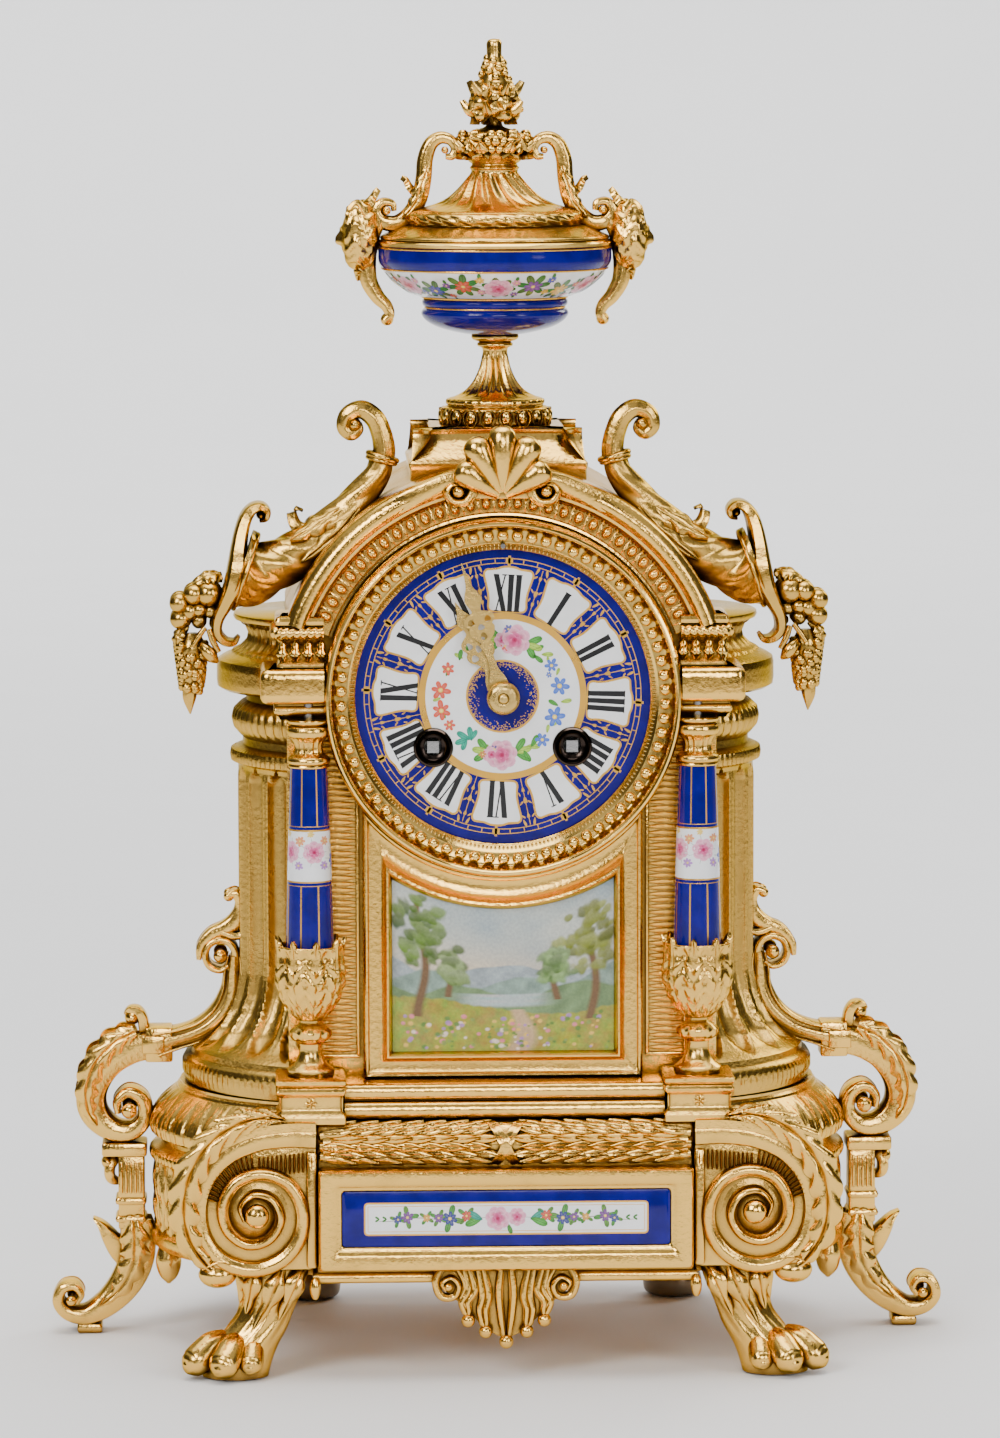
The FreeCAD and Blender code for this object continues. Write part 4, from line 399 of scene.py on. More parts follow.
    def leaf(self, spine: Sequence[Sequence[float]], out: Sequence[float] = (0, -1, 0), lobes: float = 4,
             rise: float = 0.9, thick: float = 1.0, bend: float = 0.35, along: int = 44, across: int = 15) -> None:
        """Adds an acanthus leaf.

        Args:
            spine: Rows of x, y, z and half width, from root to tip.
            out: Direction that the leaf faces.
            lobes: Lobes on each side.
            rise: Height of its ribs.
            thick: Thickness.
            bend: How far its edges bend back, as a share of its half width.
            along: Points along it.
            across: Points across it.
        """
        rows = flow(spine, along)
        centre, width = rows[:, None, :3], np.maximum(rows[:, None, 3:4], 0.05)
        way = unit(np.gradient(rows[:, :3], axis=0))
        normal = unit(np.asarray(out, float) - way * (way @ np.asarray(out, float))[:, None])
        side = np.cross(way, normal)[:, None]
        normal = normal[:, None]
        u, v = np.linspace(0, 1, along)[:, None, None], np.linspace(-1, 1, across)[None, :, None]
        beat = lobes * (u - 0.2 * np.abs(v) * (1 - u))
        tip = 0.62 + 0.38 * np.abs(np.sin(np.pi * beat)) ** 0.6
        reach = v * width * (1 - (1 - tip) * np.abs(v) ** 1.5)
        height = rise * (0.5 * (1 - v**2) + 0.45 * np.sin(np.pi * beat) ** 2 * np.abs(v) ** 0.7
                         - 0.45 * np.exp(-((v / 0.13) ** 2)))
        droop = bend * width * v**2
        self.pillow(centre + side * reach + normal * (height - droop),
                    centre + side * reach * 0.97 - normal * (thick + droop))

    def flower(self, at: Sequence[float], out: Sequence[float], radius: float, petals: int = 6,
               rise: float = 0.5) -> None:
        """Adds a rosette.

        Args:
            at: Its middle, on the surface that carries it.
            out: Direction that it faces.
            radius: Radius of its petals.
            petals: How many petals.
            rise: Its height as a share of the radius.
        """
        n = unit(np.asarray(out, float))
        side = unit(np.cross(n, UP if abs(n[2]) < 0.9 else FRONT))
        lift = np.cross(side, n)
        r = np.linspace(0, 1, 8)[1:, None]
        turn = once_round(petals * 6)[None, :]
        petal = np.abs(np.cos(petals * turn / 2))
        reach = radius * r * (1 - 0.3 * (1 - petal) * r)
        height = radius * rise * (0.25 + 0.9 * np.exp(-((r / 0.22) ** 2)) + 0.55 * petal * np.sin(np.pi * r * 0.9))
        rows = (np.asarray(at) + side * (reach * np.cos(turn))[..., None] + lift * (reach * np.sin(turn))[..., None]
                + n * height[..., None])
        floor = rows[-1:] - n * (height[-1:, :, None] + 0.3 * radius)
        self.grid(np.concatenate([rows, floor]))

    def join(self, other: "Shell", flip: bool = False) -> None:
        """Adds another shell's skins, mirrored left to right if flip is set."""
        for points, faces, start in zip(other.points, other.faces, np.cumsum([0] + [len(p) for p in other.points])):
            self.add(points * np.array([-1 if flip else 1, 1, 1]), faces - start)

    def mesh(self, name: str) -> bpy.types.Mesh:
        """Joins the skins into one smooth mesh in metres.

        Args:
            name: Name of the mesh.

        Returns:
            The mesh.
        """
        mesh = bpy.data.meshes.new(name)
        faces = [tuple(face) for group in self.faces for face in group.tolist()]
        mesh.from_pydata((np.concatenate(self.points) * MM).tolist(), [], faces)
        made = bmesh.new()
        made.from_mesh(mesh)
        bmesh.ops.remove_doubles(made, verts=made.verts, dist=MERGE * MM)
        bmesh.ops.recalc_face_normals(made, faces=made.faces)
        made.to_mesh(mesh)
        made.free()
        mesh.polygons.foreach_set("use_smooth", [True] * len(mesh.polygons))
        return mesh

    def build(self, name: str, finish: "Finish", body: Body = Body.CASE, slot: str = "gilt_bronze",
              instead: Sequence[str] = (), sharp: float = 38.0) -> Object:
        """Makes the mesh object and fixes it to the frame.

        Args:
            name: Name of the piece.
            finish: Its finish.
            body: Body that it rides on.
            slot: Material slot of the record; not used.
            instead: Nodes that it stands for.
            sharp: Angle in degrees above which an edge stays crisp.

        Returns:
            The finished object.
        """
        mesh = self.mesh(name)
        mesh.set_sharp_from_angle(angle=math.radians(sharp))
        return fix(name, mesh, finish, body, instead)


def fix(name: str, mesh: bpy.types.Mesh, finish: "Finish", body: Body, instead: Sequence[str]) -> Object:
    """Puts a mesh in the scene as a piece of the clock.

    Args:
        name: Name of the piece.
        mesh: Its mesh, in place.
        finish: Its finish.
        body: Body that it rides on.
        instead: Nodes that it stands for.

    Returns:
        The object.
    """
    piece = bpy.data.objects.new(name, mesh)
    bpy.context.scene.collection.objects.link(piece)
    mesh.materials.clear()
    mesh.materials.append(finish.material())
    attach(piece, body.value)
    if instead:
        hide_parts(*instead)
    LOG.info("%s: %d faces", name, len(mesh.polygons))
    return piece


# --------------------------------------------------------------------------- repeated ornament
class Repeat:
    """Builds repeated ornament with node trees: rings about an axis, and straight rows."""

    trees: dict[str, Tree] = {}

    @classmethod
    def tree(cls, kind: str) -> Tree:
        """Builds a tree that repeats a motif.

        Args:
            kind: "ring" or "row".

        Returns:
            The node tree, built once.
        """
        if kind in cls.trees:
            return cls.trees[kind]
        tree = bpy.data.node_groups.new(f"repeat_{kind}", "GeometryNodeTree")
        make = tree.interface.new_socket
        make("Geometry", in_out="INPUT", socket_type="NodeSocketGeometry")
        for label, form in (("Motif", "Object"), ("Count", "Int"), ("Used", "Int"), ("Radius", "Float"),
                            ("Phase", "Float"), ("Step", "Vector"), ("Place", "Vector"), ("Lay", "Rotation"),
                            ("Spread", "Float"), ("Seed", "Int"), ("Finish", "Material")):
            make(label, in_out="INPUT", socket_type=f"NodeSocket{form}")
        make("Geometry", in_out="OUTPUT", socket_type="NodeSocketGeometry")
        nodes, link = tree.nodes, tree.links.new
        given = nodes.new("NodeGroupInput").outputs
        index = nodes.new("GeometryNodeInputIndex").outputs[0]

        def maths(operation: str, *values: object) -> bpy.types.NodeSocket:
            """One sum on numbers or sockets.

            Args:
                operation: Its kind.
                *values: The numbers or sockets that go in.

            Returns:
                The socket of the result.
            """
            node = nodes.new("ShaderNodeMath")
            node.operation = operation
            for socket, value in zip(node.inputs, values):
                if isinstance(value, (int, float)):
                    socket.default_value = value
                else:
                    link(value, socket)
            return node.outputs[0]

        points = nodes.new("GeometryNodePoints")
        link(given["Used"], points.inputs["Count"])
        turn = maths("MULTIPLY", maths("DIVIDE", maths("ADD", index, given["Phase"]), given["Count"]), math.tau)
        place = nodes.new("ShaderNodeCombineXYZ")
        rotation = nodes.new("ShaderNodeCombineXYZ")
        if kind == "ring":
            link(maths("MULTIPLY", maths("SINE", turn), given["Radius"]), place.inputs[0])
            link(maths("MULTIPLY", maths("COSINE", turn), given["Radius"]), place.inputs[2])
            link(turn, rotation.inputs[1])
            where = place.outputs[0]
        else:
            step = nodes.new("ShaderNodeVectorMath")
            step.operation = "SCALE"
            link(given["Step"], step.inputs[0])
            link(index, step.inputs["Scale"])
            where = step.outputs[0]
        link(where, points.inputs["Position"])
        motif = nodes.new("GeometryNodeObjectInfo")
        link(given["Motif"], motif.inputs["Object"])
        chance = nodes.new("FunctionNodeRandomValue")
        link(maths("SUBTRACT", 1.0, given["Spread"]), chance.inputs[2])
        link(maths("ADD", 1.0, given["Spread"]), chance.inputs[3])
        link(given["Seed"], chance.inputs["Seed"])
        copies = nodes.new("GeometryNodeInstanceOnPoints")
        link(points.outputs[0], copies.inputs["Points"])
        link(motif.outputs["Geometry"], copies.inputs["Instance"])
        link(rotation.outputs[0], copies.inputs["Rotation"])
        link(chance.outputs[1], copies.inputs["Scale"])
        real = nodes.new("GeometryNodeRealizeInstances")
        link(copies.outputs[0], real.inputs[0])
        laid = nodes.new("GeometryNodeTransform")
        link(real.outputs[0], laid.inputs["Geometry"])
        link(given["Lay"], laid.inputs["Rotation"])
        link(given["Place"], laid.inputs["Translation"])
        finish = nodes.new("GeometryNodeSetMaterial")
        link(laid.outputs[0], finish.inputs["Geometry"])
        link(given["Finish"], finish.inputs["Material"])
        link(finish.outputs[0], nodes.new("NodeGroupOutput").inputs[0])
        cls.trees[kind] = tree
        return tree

    @classmethod
    def run(cls, name: str, kind: str, motif: Shell, finish: "Finish", values: dict[str, object],
            body: Body = Body.CASE, slot: str = "gilt_bronze") -> Object:
        """Repeats a motif and makes the result a plain piece.

        Args:
            name: Name of the piece.
            kind: "ring" or "row".
            motif: One copy, about the origin, in millimetres.
            finish: Its finish.
            values: Values of the tree's inputs by name, in metres and radians.
            body: Body that it rides on.
            slot: Material slot of the record; not used.

        Returns:
            The finished piece.
        """
        one = bpy.data.objects.new("motif", motif.mesh("motif"))
        host = bpy.data.objects.new("host", bpy.data.meshes.new("host"))
        for item in (one, host):
            bpy.context.scene.collection.objects.link(item)
        modifier = host.modifiers.new("repeat", "NODES")
        modifier.node_group = cls.tree(kind)
        sockets = {s.name: s.identifier for s in modifier.node_group.interface.items_tree if s.in_out == "INPUT"}
        given = {"Motif": one, "Finish": finish.material(), "Count": 1, "Used": 1, "Radius": 0.0, "Phase": 0.0,
                 "Spread": 0.0, "Seed": 7, "Step": (0, 0, 0), "Place": (0, 0, 0), "Lay": (0, 0, 0), **values}
        for label, value in given.items():
            modifier[sockets[label]] = value
        bpy.context.view_layer.update()
        done = bpy.data.meshes.new_from_object(host.evaluated_get(bpy.context.evaluated_depsgraph_get()))
        host.modifiers.clear()
        for item in (host, one):
            bpy.data.objects.remove(item)
        done.name = name
        done.set_sharp_from_angle(angle=math.radians(50))
        return fix(name, done, finish, body, ())


# --------------------------------------------------------------------------- finishes
class Wires:
    """Short ways to add and join shader nodes."""

    def __init__(self, tree: Tree) -> None:
        """Works on one node tree."""
        self.tree = tree

    def node(self, kind: str, inputs: dict[str | int, object] | None = None, **settings: object) -> bpy.types.Node:
        """Adds a node.

        Args:
            kind: Its type name without the ShaderNode prefix.
            inputs: Values or sockets for its inputs.
            **settings: Its own properties.

        Returns:
            The node.
        """
        node = self.tree.nodes.new(kind if kind.startswith("Node") else f"ShaderNode{kind}")
        for key, value in settings.items():
            setattr(node, key, value)
        for key, value in (inputs or {}).items():
            if isinstance(value, bpy.types.NodeSocket):
                self.tree.links.new(value, node.inputs[key])
            else:
                node.inputs[key].default_value = value
        return node

    def sum(self, operation: str, a: object, b: object = 0.0, clamp: bool = False) -> bpy.types.NodeSocket:
        """One sum of two numbers or sockets."""
        return self.node("Math", {0: a, 1: b}, operation=operation, use_clamp=clamp).outputs[0]

    def mix(self, share: object, a: object, b: object) -> bpy.types.NodeSocket:
        """A blend of two colours."""
        return self.node("Mix", {0: share, 6: a, 7: b}, data_type="RGBA").outputs[2]

    def ramp(self, value: object, low: float, high: float) -> bpy.types.NodeSocket:
        """A number carried from low..high to 0..1."""
        return self.node("MapRange", {0: value, 1: low, 2: high}, interpolation_type="SMOOTHSTEP").outputs[0]


def wear_and_shade_group() -> Tree:
    """Shared effect of old metal and painted shade: recesses painted dark from ambient occlusion, burnished ridges,
    cast grain and cloudy patches.

    Returns:
        A shader group with colour, roughness and height outputs, built once.
    """
    name = "wear_and_painted_shade"
    if name in bpy.data.node_groups:
        return bpy.data.node_groups[name]
    tree = bpy.data.node_groups.new(name, "ShaderNodeTree")
    make = tree.interface.new_socket
    for label, form in (("Bright", "Color"), ("ShadeAndStain", "Color"), ("Rough", "Float"), ("Grain", "Float"),
                        ("Patch", "Float"), ("Depth", "Float"), ("Reach", "Float")):
        make(label, in_out="INPUT", socket_type=f"NodeSocket{form}")
    for label, form in (("Colour", "Color"), ("Roughness", "Float"), ("Height", "Float")):
        make(label, in_out="OUTPUT", socket_type=f"NodeSocket{form}")
    w = Wires(tree)
    given = w.node("NodeGroupInput").outputs
    place = w.node("TexCoord").outputs["Object"]
    grain = w.node("TexNoise", {"Vector": place, "Scale": given["Grain"], "Detail": 3.0, "Roughness": 0.6}).outputs[0]
    cloud = w.node("TexNoise", {"Vector": place, "Scale": given["Patch"], "Detail": 4.0, "Roughness": 0.55}).outputs[0]
    pits = w.node("TexVoronoi", {"Vector": place, "Scale": w.sum("MULTIPLY", given["Grain"], 0.55)}).outputs[0]
    # Painted shade: ambient occlusion darkens the recesses towards the shade colour.
    shade = w.node("AmbientOcclusion", {"Distance": given["Reach"]}, samples=8).outputs["AO"]
    painted_shade = w.sum("SUBTRACT", 1.0, w.ramp(shade, 0.25, 0.92))
    painted_shade = w.sum("MULTIPLY", painted_shade, w.sum("ADD", 0.75, w.sum("MULTIPLY", cloud, 0.5)), clamp=True)
    edge = w.ramp(w.node("NewGeometry").outputs["Pointiness"], 0.5, 0.56)
    tone = w.mix(w.sum("MULTIPLY", painted_shade, given["Depth"]), given["Bright"], given["ShadeAndStain"])
    stain = w.ramp(cloud, 0.55, 0.78)
    tone = w.mix(w.sum("MULTIPLY", stain, 0.22), tone, given["ShadeAndStain"])
    paler = w.node("Mix", {0: 1.0, 6: tone, 7: (1.12, 1.08, 1.0, 1.0)}, data_type="RGBA",
                   blend_type="MULTIPLY").outputs[2]
    tone = w.mix(w.sum("MULTIPLY", edge, 0.55), tone, paler)
    rough = w.sum("ADD", given["Rough"], w.sum("MULTIPLY", w.sum("SUBTRACT", cloud, 0.5), 0.28))
    rough = w.sum("ADD", rough, w.sum("MULTIPLY", painted_shade, 0.18))
    rough = w.sum("SUBTRACT", rough, w.sum("MULTIPLY", edge, 0.06), clamp=True)
    height = w.sum("ADD", w.sum("MULTIPLY", grain, 0.6), w.sum("MULTIPLY", pits, 0.4))
    w.node("NodeGroupOutput", {"Colour": tone, "Roughness": rough, "Height": height})
    return tree


@dataclass(frozen=True)
class Finish:
    """A finish of the clock; the plain one is a glazed or painted surface of one colour."""

    name: str
    base: Colour
    roughness: float = 0.15
    coat: float = 0.6
    mottle: float = 0.35
    shine: float = 0.5

    def material(self) -> Material:
        """The material of this finish, built once.

        Returns:
            The material.
        """
        known = bpy.data.materials.get(self.name)
        if known:
            return known
        material = bpy.data.materials.new(self.name)
        material.use_nodes = True
        w = Wires(material.node_tree)
        shader = material.node_tree.nodes["Principled BSDF"]
        self.dress(w, shader)
        return material

    def dress(self, w: Wires, shader: bpy.types.Node) -> None:
        """Wires a glaze whose colour pools and thins a little.

        Args:
            w: The material's tree.
            shader: Its shader.
        """
        place = w.node("TexCoord").outputs["Object"]
        cloud = w.node("TexNoise", {"Vector": place, "Scale": 160.0, "Detail": 5.0}).outputs[0]
        fine = w.node("TexNoise", {"Vector": place, "Scale": 1500.0, "Detail": 2.0}).outputs[0]
        deep = tuple((1 - self.mottle) * c for c in self.base) + (1.0,)
        light = tuple(min(1.0, (1 + 0.3 * self.mottle) * c) for c in self.base) + (1.0,)
        tone = w.mix(w.ramp(cloud, 0.3, 0.7), deep, light)
        w.tree.links.new(tone, shader.inputs["Base Color"])
        rough = w.sum("ADD", self.roughness, w.sum("MULTIPLY", w.sum("SUBTRACT", cloud, 0.5), 0.08))
        w.tree.links.new(rough, shader.inputs["Roughness"])
        height = w.sum("ADD", w.sum("MULTIPLY", cloud, 0.8), w.sum("MULTIPLY", fine, 0.08))
        bump_node = w.node("Bump", {"Height": height, "Strength": 0.12, "Distance": 0.0004})
        w.tree.links.new(bump_node.outputs[0], shader.inputs["Normal"])
        self.varnish(shader, 0.04)

    def varnish(self, shader: bpy.types.Node, roughness: float) -> None:
        """Gives the shader its clear coat.

        Args:
            shader: The shader.
            roughness: Roughness of the coat.
        """
        shader.inputs["Coat Weight"].default_value = self.coat
        shader.inputs["Coat Roughness"].default_value = roughness
        shader.inputs["Specular IOR Level"].default_value = self.shine


@dataclass(frozen=True)
class Metal(Finish):
    """Old metal with painted shade in its recesses, burnished ridges and a cast or drawn grain."""

    # Colour painted into the recesses as shade, and also the colour of the random stains; depth and reach set how
    # strong and how wide the painted shade is.
    shade_and_stain: Colour = (0.2, 0.08, 0.02)
    grain: float = 900.0
    bump: float = 0.3
    patch: float = 70.0
    depth: float = 1.0
    reach: float = 0.005

    def dress(self, w: Wires, shader: bpy.types.Node) -> None:
        """Wires the shared group of wear and painted shade to the shader.

        Args:
            w: The material's tree.
            shader: Its shader.
        """
        wear_and_shade = w.node("Group", node_tree=wear_and_shade_group())
        for label, value in (("Bright", (*self.base, 1)), ("ShadeAndStain", (*self.shade_and_stain, 1)), ("Rough", self.roughness),
                             ("Grain", self.grain), ("Patch", self.patch), ("Depth", self.depth),
                             ("Reach", self.reach)):
            wear_and_shade.inputs[label].default_value = value
        w.tree.links.new(wear_and_shade.outputs["Colour"], shader.inputs["Base Color"])
        w.tree.links.new(wear_and_shade.outputs["Roughness"], shader.inputs["Roughness"])
        bump_node = w.node("Bump", {"Height": wear_and_shade.outputs["Height"], "Strength": self.bump, "Distance": 0.0003})
        w.tree.links.new(bump_node.outputs[0], shader.inputs["Normal"])
        shader.inputs["Metallic"].default_value = 1.0
        edge = tuple(low + 0.6 * c for low, c in zip((0.26, 0.34, 0.24), self.base))
        shader.inputs["Specular Tint"].default_value = (*edge, 1)


@dataclass(frozen=True)
class Paint(Finish):
    """Enamel painting, whose colours are kept on the mesh."""

    def dress(self, w: Wires, shader: bpy.types.Node) -> None:
        """Wires the painted colours to the shader.

        Args:
            w: The material's tree.
            shader: Its shader.
        """
        place = w.node("TexCoord").outputs["Object"]
        grain = w.node("TexNoise", {"Vector": place, "Scale": 1100.0, "Detail": 3.0}).outputs[0]
        paint = w.node("Attribute", attribute_name="paint").outputs["Color"]
        worn = w.node("Mix", {0: 1.0, 6: paint, 7: (0.86, 0.86, 0.88, 1)}, data_type="RGBA",
                      blend_type="MULTIPLY").outputs[2]
        tone = w.mix(w.ramp(grain, 0.35, 0.65), worn, paint)
        w.tree.links.new(tone, shader.inputs["Base Color"])
        rough = w.sum("ADD", self.roughness, w.sum("MULTIPLY", grain, 0.1))
        w.tree.links.new(rough, shader.inputs["Roughness"])
        self.varnish(shader, 0.05)


# Each metal's recess colour is painted shade in its hollows; open_gilding has a weaker painted shade for the arch
# ground.
GILT = Metal("fire_gilding", (0.89, 0.535, 0.115), 0.20, shade_and_stain=(0.16, 0.080, 0.014), grain=1100, bump=0.4)
GILT_MATT = Metal("matt_gilding", (0.86, 0.47, 0.080), 0.36, shade_and_stain=(0.26, 0.11, 0.014), grain=1700, bump=0.9,
                  depth=0.7)
GILT_BRIGHT = Metal("burnished_gilding", (0.93, 0.60, 0.150), 0.15, shade_and_stain=(0.19, 0.095, 0.018), grain=900, bump=0.15,
                    depth=0.85, reach=0.0024)
GILT_OPEN = Metal("open_gilding", (0.88, 0.535, 0.120), 0.22, shade_and_stain=(0.30, 0.155, 0.030), grain=1100, bump=0.3,
                  depth=0.45, reach=0.0016)
# Painted shade: a darker copy of the gilding, used on the towers and cornucopias.
GILT_SHADED = Metal("shaded_gilding", (0.66, 0.395, 0.082), 0.24, shade_and_stain=(0.085, 0.042, 0.008), grain=1100, bump=0.4,
                  reach=0.009)
SHEET = Metal("case_sheet", (0.74, 0.42, 0.09), 0.30, shade_and_stain=(0.13, 0.055, 0.010), grain=800, bump=0.2, patch=35)
DARK_BRONZE = Metal("dark_bronze", (0.10, 0.055, 0.03), 0.40, shade_and_stain=(0.02, 0.012, 0.008), grain=900, bump=0.3)
BRASS = Metal("movement_brass", (0.82, 0.56, 0.20), 0.22, shade_and_stain=(0.24, 0.13, 0.03), grain=2200, bump=0.08, depth=0.6)
HAND = Metal("engraved_brass", (0.62, 0.42, 0.13), 0.32, shade_and_stain=(0.10, 0.06, 0.015), grain=1500, bump=0.5, reach=0.002)
STEEL = Metal("polished_steel", (0.50, 0.51, 0.53), 0.22, shade_and_stain=(0.10, 0.09, 0.08), grain=2500, bump=0.08)
BELL_METAL = Metal("bell_metal", (0.68, 0.48, 0.24), 0.22, shade_and_stain=(0.20, 0.12, 0.05), grain=2400, bump=0.06)
COBALT = Finish("cobalt_glaze", (0.008, 0.003, 0.185), 0.10, 0.10, 0.30, 0.22)
WHITE = Finish("white_glaze", PORCELAIN, 0.13, 0.6, 0.05)
ENAMEL = Paint("painted_enamel", (1, 1, 1), 0.2, 0.2, 0.35, 0.3)
GOLD_LINE = Metal("gold_line", (0.84, 0.46, 0.075), 0.30, shade_and_stain=(0.30, 0.13, 0.02), grain=1800, bump=0.25, depth=0.3,
                  reach=0.001)
BLACK = Finish("black_enamel", (0.005, 0.005, 0.006), 0.22, 0.3)
# Painted shade: near-black metal for the cups that stand in for the dark inside the winding holes.
HOLE_SHADE = Metal("painted_hole_shade", (0.045, 0.032, 0.026), 0.16, shade_and_stain=(0.008, 0.006, 0.005), grain=900, bump=0.08)


# --------------------------------------------------------------------------- painting on porcelain
Placing = Callable[[Array, float], Array]


class Brush:
    """Lays strokes of colour a hair above a surface."""

    def __init__(self, place: Placing, seed: int = 3) -> None:
        """Paints where place(points, lift) says.

        Args:
            place: Gives the places in space of points on the surface, at a height over it.
            seed: Seed of its chances.
        """
        self.place = place
        self.chance = np.random.default_rng(seed)
        self.points: list[Array] = []
        self.faces: list[tuple[int, int, int]] = []
        self.colours: list[Array] = []
        self.total = 0
        self.count = 0

    def patch(self, outline: Array, colour: Colour, middle: Colour | None = None, level: float = 0,
              spot: Sequence[float] | None = None) -> None:
        """Fills a round outline.

        Args:
            outline: Points of the outline, in millimetres on the surface.
            colour: Colour at the rim.
            middle: Colour at the middle, or none for the rim's.
            level: Layer, counted up from the surface.
            spot: The middle, or none for the mean point.
        """
        outline = np.asarray(outline, float)
        centre = np.asarray(spot if spot is not None else outline.mean(0))
        self.count += 1
        lift = 0.03 + 0.014 * level + 0.0009 * (self.count % 13)
        flat = np.vstack([outline, centre])
        points = self.place(flat, lift)
        outward = self.place(flat, lift + 1.0) - points
        n = len(outline)
        area = np.sum(outline[:, 0] * np.roll(outline[:, 1], -1) - np.roll(outline[:, 0], -1) * outline[:, 1])
        a, b, c = points[0], points[1], points[n]
        flip = np.dot(np.cross(b - a, c - a), outward[0]) < 0
        if abs(area) < 1e-9:
            return
        for i in range(n):
            tri = (i, (i + 1) % n, n)
            self.faces.append(tuple(self.total + k for k in (tri[::-1] if flip else tri)))
        self.points.append(points)
        shades = np.tile(np.asarray(colour, float), (n + 1, 1))
        shades[-1] = middle if middle is not None else colour
        self.colours.append(shades)
        self.total += n + 1

    def stroke(self, line: Array, width: float, colour: Colour, level: float = 0) -> None:
        """Draws a line that tapers at both ends.

        Args:
            line: Points of the line.
            width: Its full width.
            colour: Its colour.
            level: Layer, counted up from the surface.
        """
        rows = flow(line, 4 * len(line))
        way = unit(np.gradient(rows, axis=0))
        side = np.column_stack([-way[:, 1], way[:, 0]])
        taper = np.sin(np.linspace(0.25, np.pi - 0.25, len(rows)))[:, None] ** 0.5
        left, right = rows + side * taper * width / 2, rows - side * taper * width / 2
        for i in range(len(rows) - 1):
            self.patch(np.array([left[i], left[i + 1], right[i + 1], right[i]]), colour, level=level)

    def petal(self, at: Sequence[float], length: float, width: float, angle: float, colour: Colour,
              middle: Colour, level: float = 0) -> None:
        """Paints an oval petal or leaf that starts at a point.

        Args:
            at: Where it starts.
            length: Its length.
            width: Its width.
            angle: Its direction in degrees from the first axis.
            colour: Colour at its rim.
            middle: Colour at its middle.
            level: Layer, counted up from the surface.
        """
        turn = once_round(14)
        x = length * (0.5 + 0.5 * np.cos(turn))
        y = width / 2 * np.sin(turn) * (0.55 + 0.45 * x / length)
        a = math.radians(angle)
        outline = np.column_stack([at[0] + x * math.cos(a) - y * math.sin(a),
                                   at[1] + x * math.sin(a) + y * math.cos(a)])
        self.patch(outline, colour, middle, level)

    def leafy(self, at: Sequence[float], length: float, angle: float, colour: Colour = (0.045, 0.19, 0.025),
              level: float = 0) -> None:
        """Paints a leaf with a light rib.

        Args:
            at: Where it starts.
            length: Its length.
            angle: Its direction in degrees from the first axis.
            colour: Its colour.
            level: Layer, counted up from the surface.
        """
        pale = tuple(min(1.0, 1.7 * c + 0.03) for c in colour)
        self.petal(at, length, length * 0.52, angle, colour, pale, level)
        end = (at[0] + length * math.cos(math.radians(angle)), at[1] + length * math.sin(math.radians(angle)))
        self.stroke(np.array([at, end]), 0.12, tuple(0.5 * c for c in colour), level + 1)

    def daisy(self, at: Sequence[float], radius: float, colour: Colour, heart: Colour = (0.75, 0.5, 0.05),
              petals: int = 7, level: float = 1) -> None:
        """Paints an open flower.

        Args:
            at: Its middle.
            radius: Its radius.
            colour: Colour of its petals.
            heart: Colour of its middle.
            petals: How many petals.
            level: Layer, counted up from the surface.
        """
        pale = tuple(0.75 * c + 0.12 for c in colour)
        shift = self.chance.uniform(0, 360)
        for k in range(petals):
            size = radius * self.chance.uniform(0.85, 1.1)
            self.petal(at, size, size * 0.62, shift + 360 * k / petals, colour, pale, level + 0.5 * (k % 2))
        self.patch(round_outline(at, 0.24 * radius, 10), heart, (0.95, 0.85, 0.3), level + 2)

    def rose(self, at: Sequence[float], radius: float, level: float = 1) -> None:
        """Paints a full rose with a dark heart and pale outer petals.

        Args:
            at: Its middle.
            radius: Its radius.
            level: Layer, counted up from the surface.
        """
        rim, pink, deep, heart = (0.84, 0.46, 0.56), (0.70, 0.16, 0.33), (0.52, 0.05, 0.16), (0.34, 0.01, 0.05)
        start = self.chance.uniform(0, 360)
        rings = ((0.62, 7, 0.44, rim, pink), (0.40, 5, 0.42, rim, deep), (0.20, 4, 0.30, pink, deep),
                 (0.0, 1, 0.18, deep, heart))
        for layer, (share, count, size, edge, middle) in enumerate(rings):
            for k in range(count):
                spot = polar(start + 360 * k / count + 31 * layer, radius * share, at)
                self.patch(round_outline(spot, radius * size, 14), edge, middle, level + 0.8 * layer + 0.12 * (k % 3))

    def build(self, name: str, finish: Finish = ENAMEL, slot: str = "blue_porcelain", instead: Sequence[str] = (),
              body: Body = Body.CASE) -> Object:
        """Makes the painting an object.

        Args:
            name: Name of the piece.
            finish: Its finish.
            slot: Material slot of the record; not used.
            instead: Nodes that it stands for.
            body: Body that it rides on.

        Returns:
            The finished piece.
        """
        mesh = bpy.data.meshes.new(name)
        mesh.from_pydata((np.concatenate(self.points) * MM).tolist(), [], self.faces)
        keep_colours(mesh, np.concatenate(self.colours))
        return fix(name, mesh, finish, body, instead)


def keep_colours(mesh: bpy.types.Mesh, colours: Array) -> None:
    """Keeps a colour for each point of a mesh."""
    layer = mesh.color_attributes.new("paint", "FLOAT_COLOR", "POINT")
    layer.data.foreach_set("color", np.column_stack([colours, np.ones(len(colours))]).ravel())


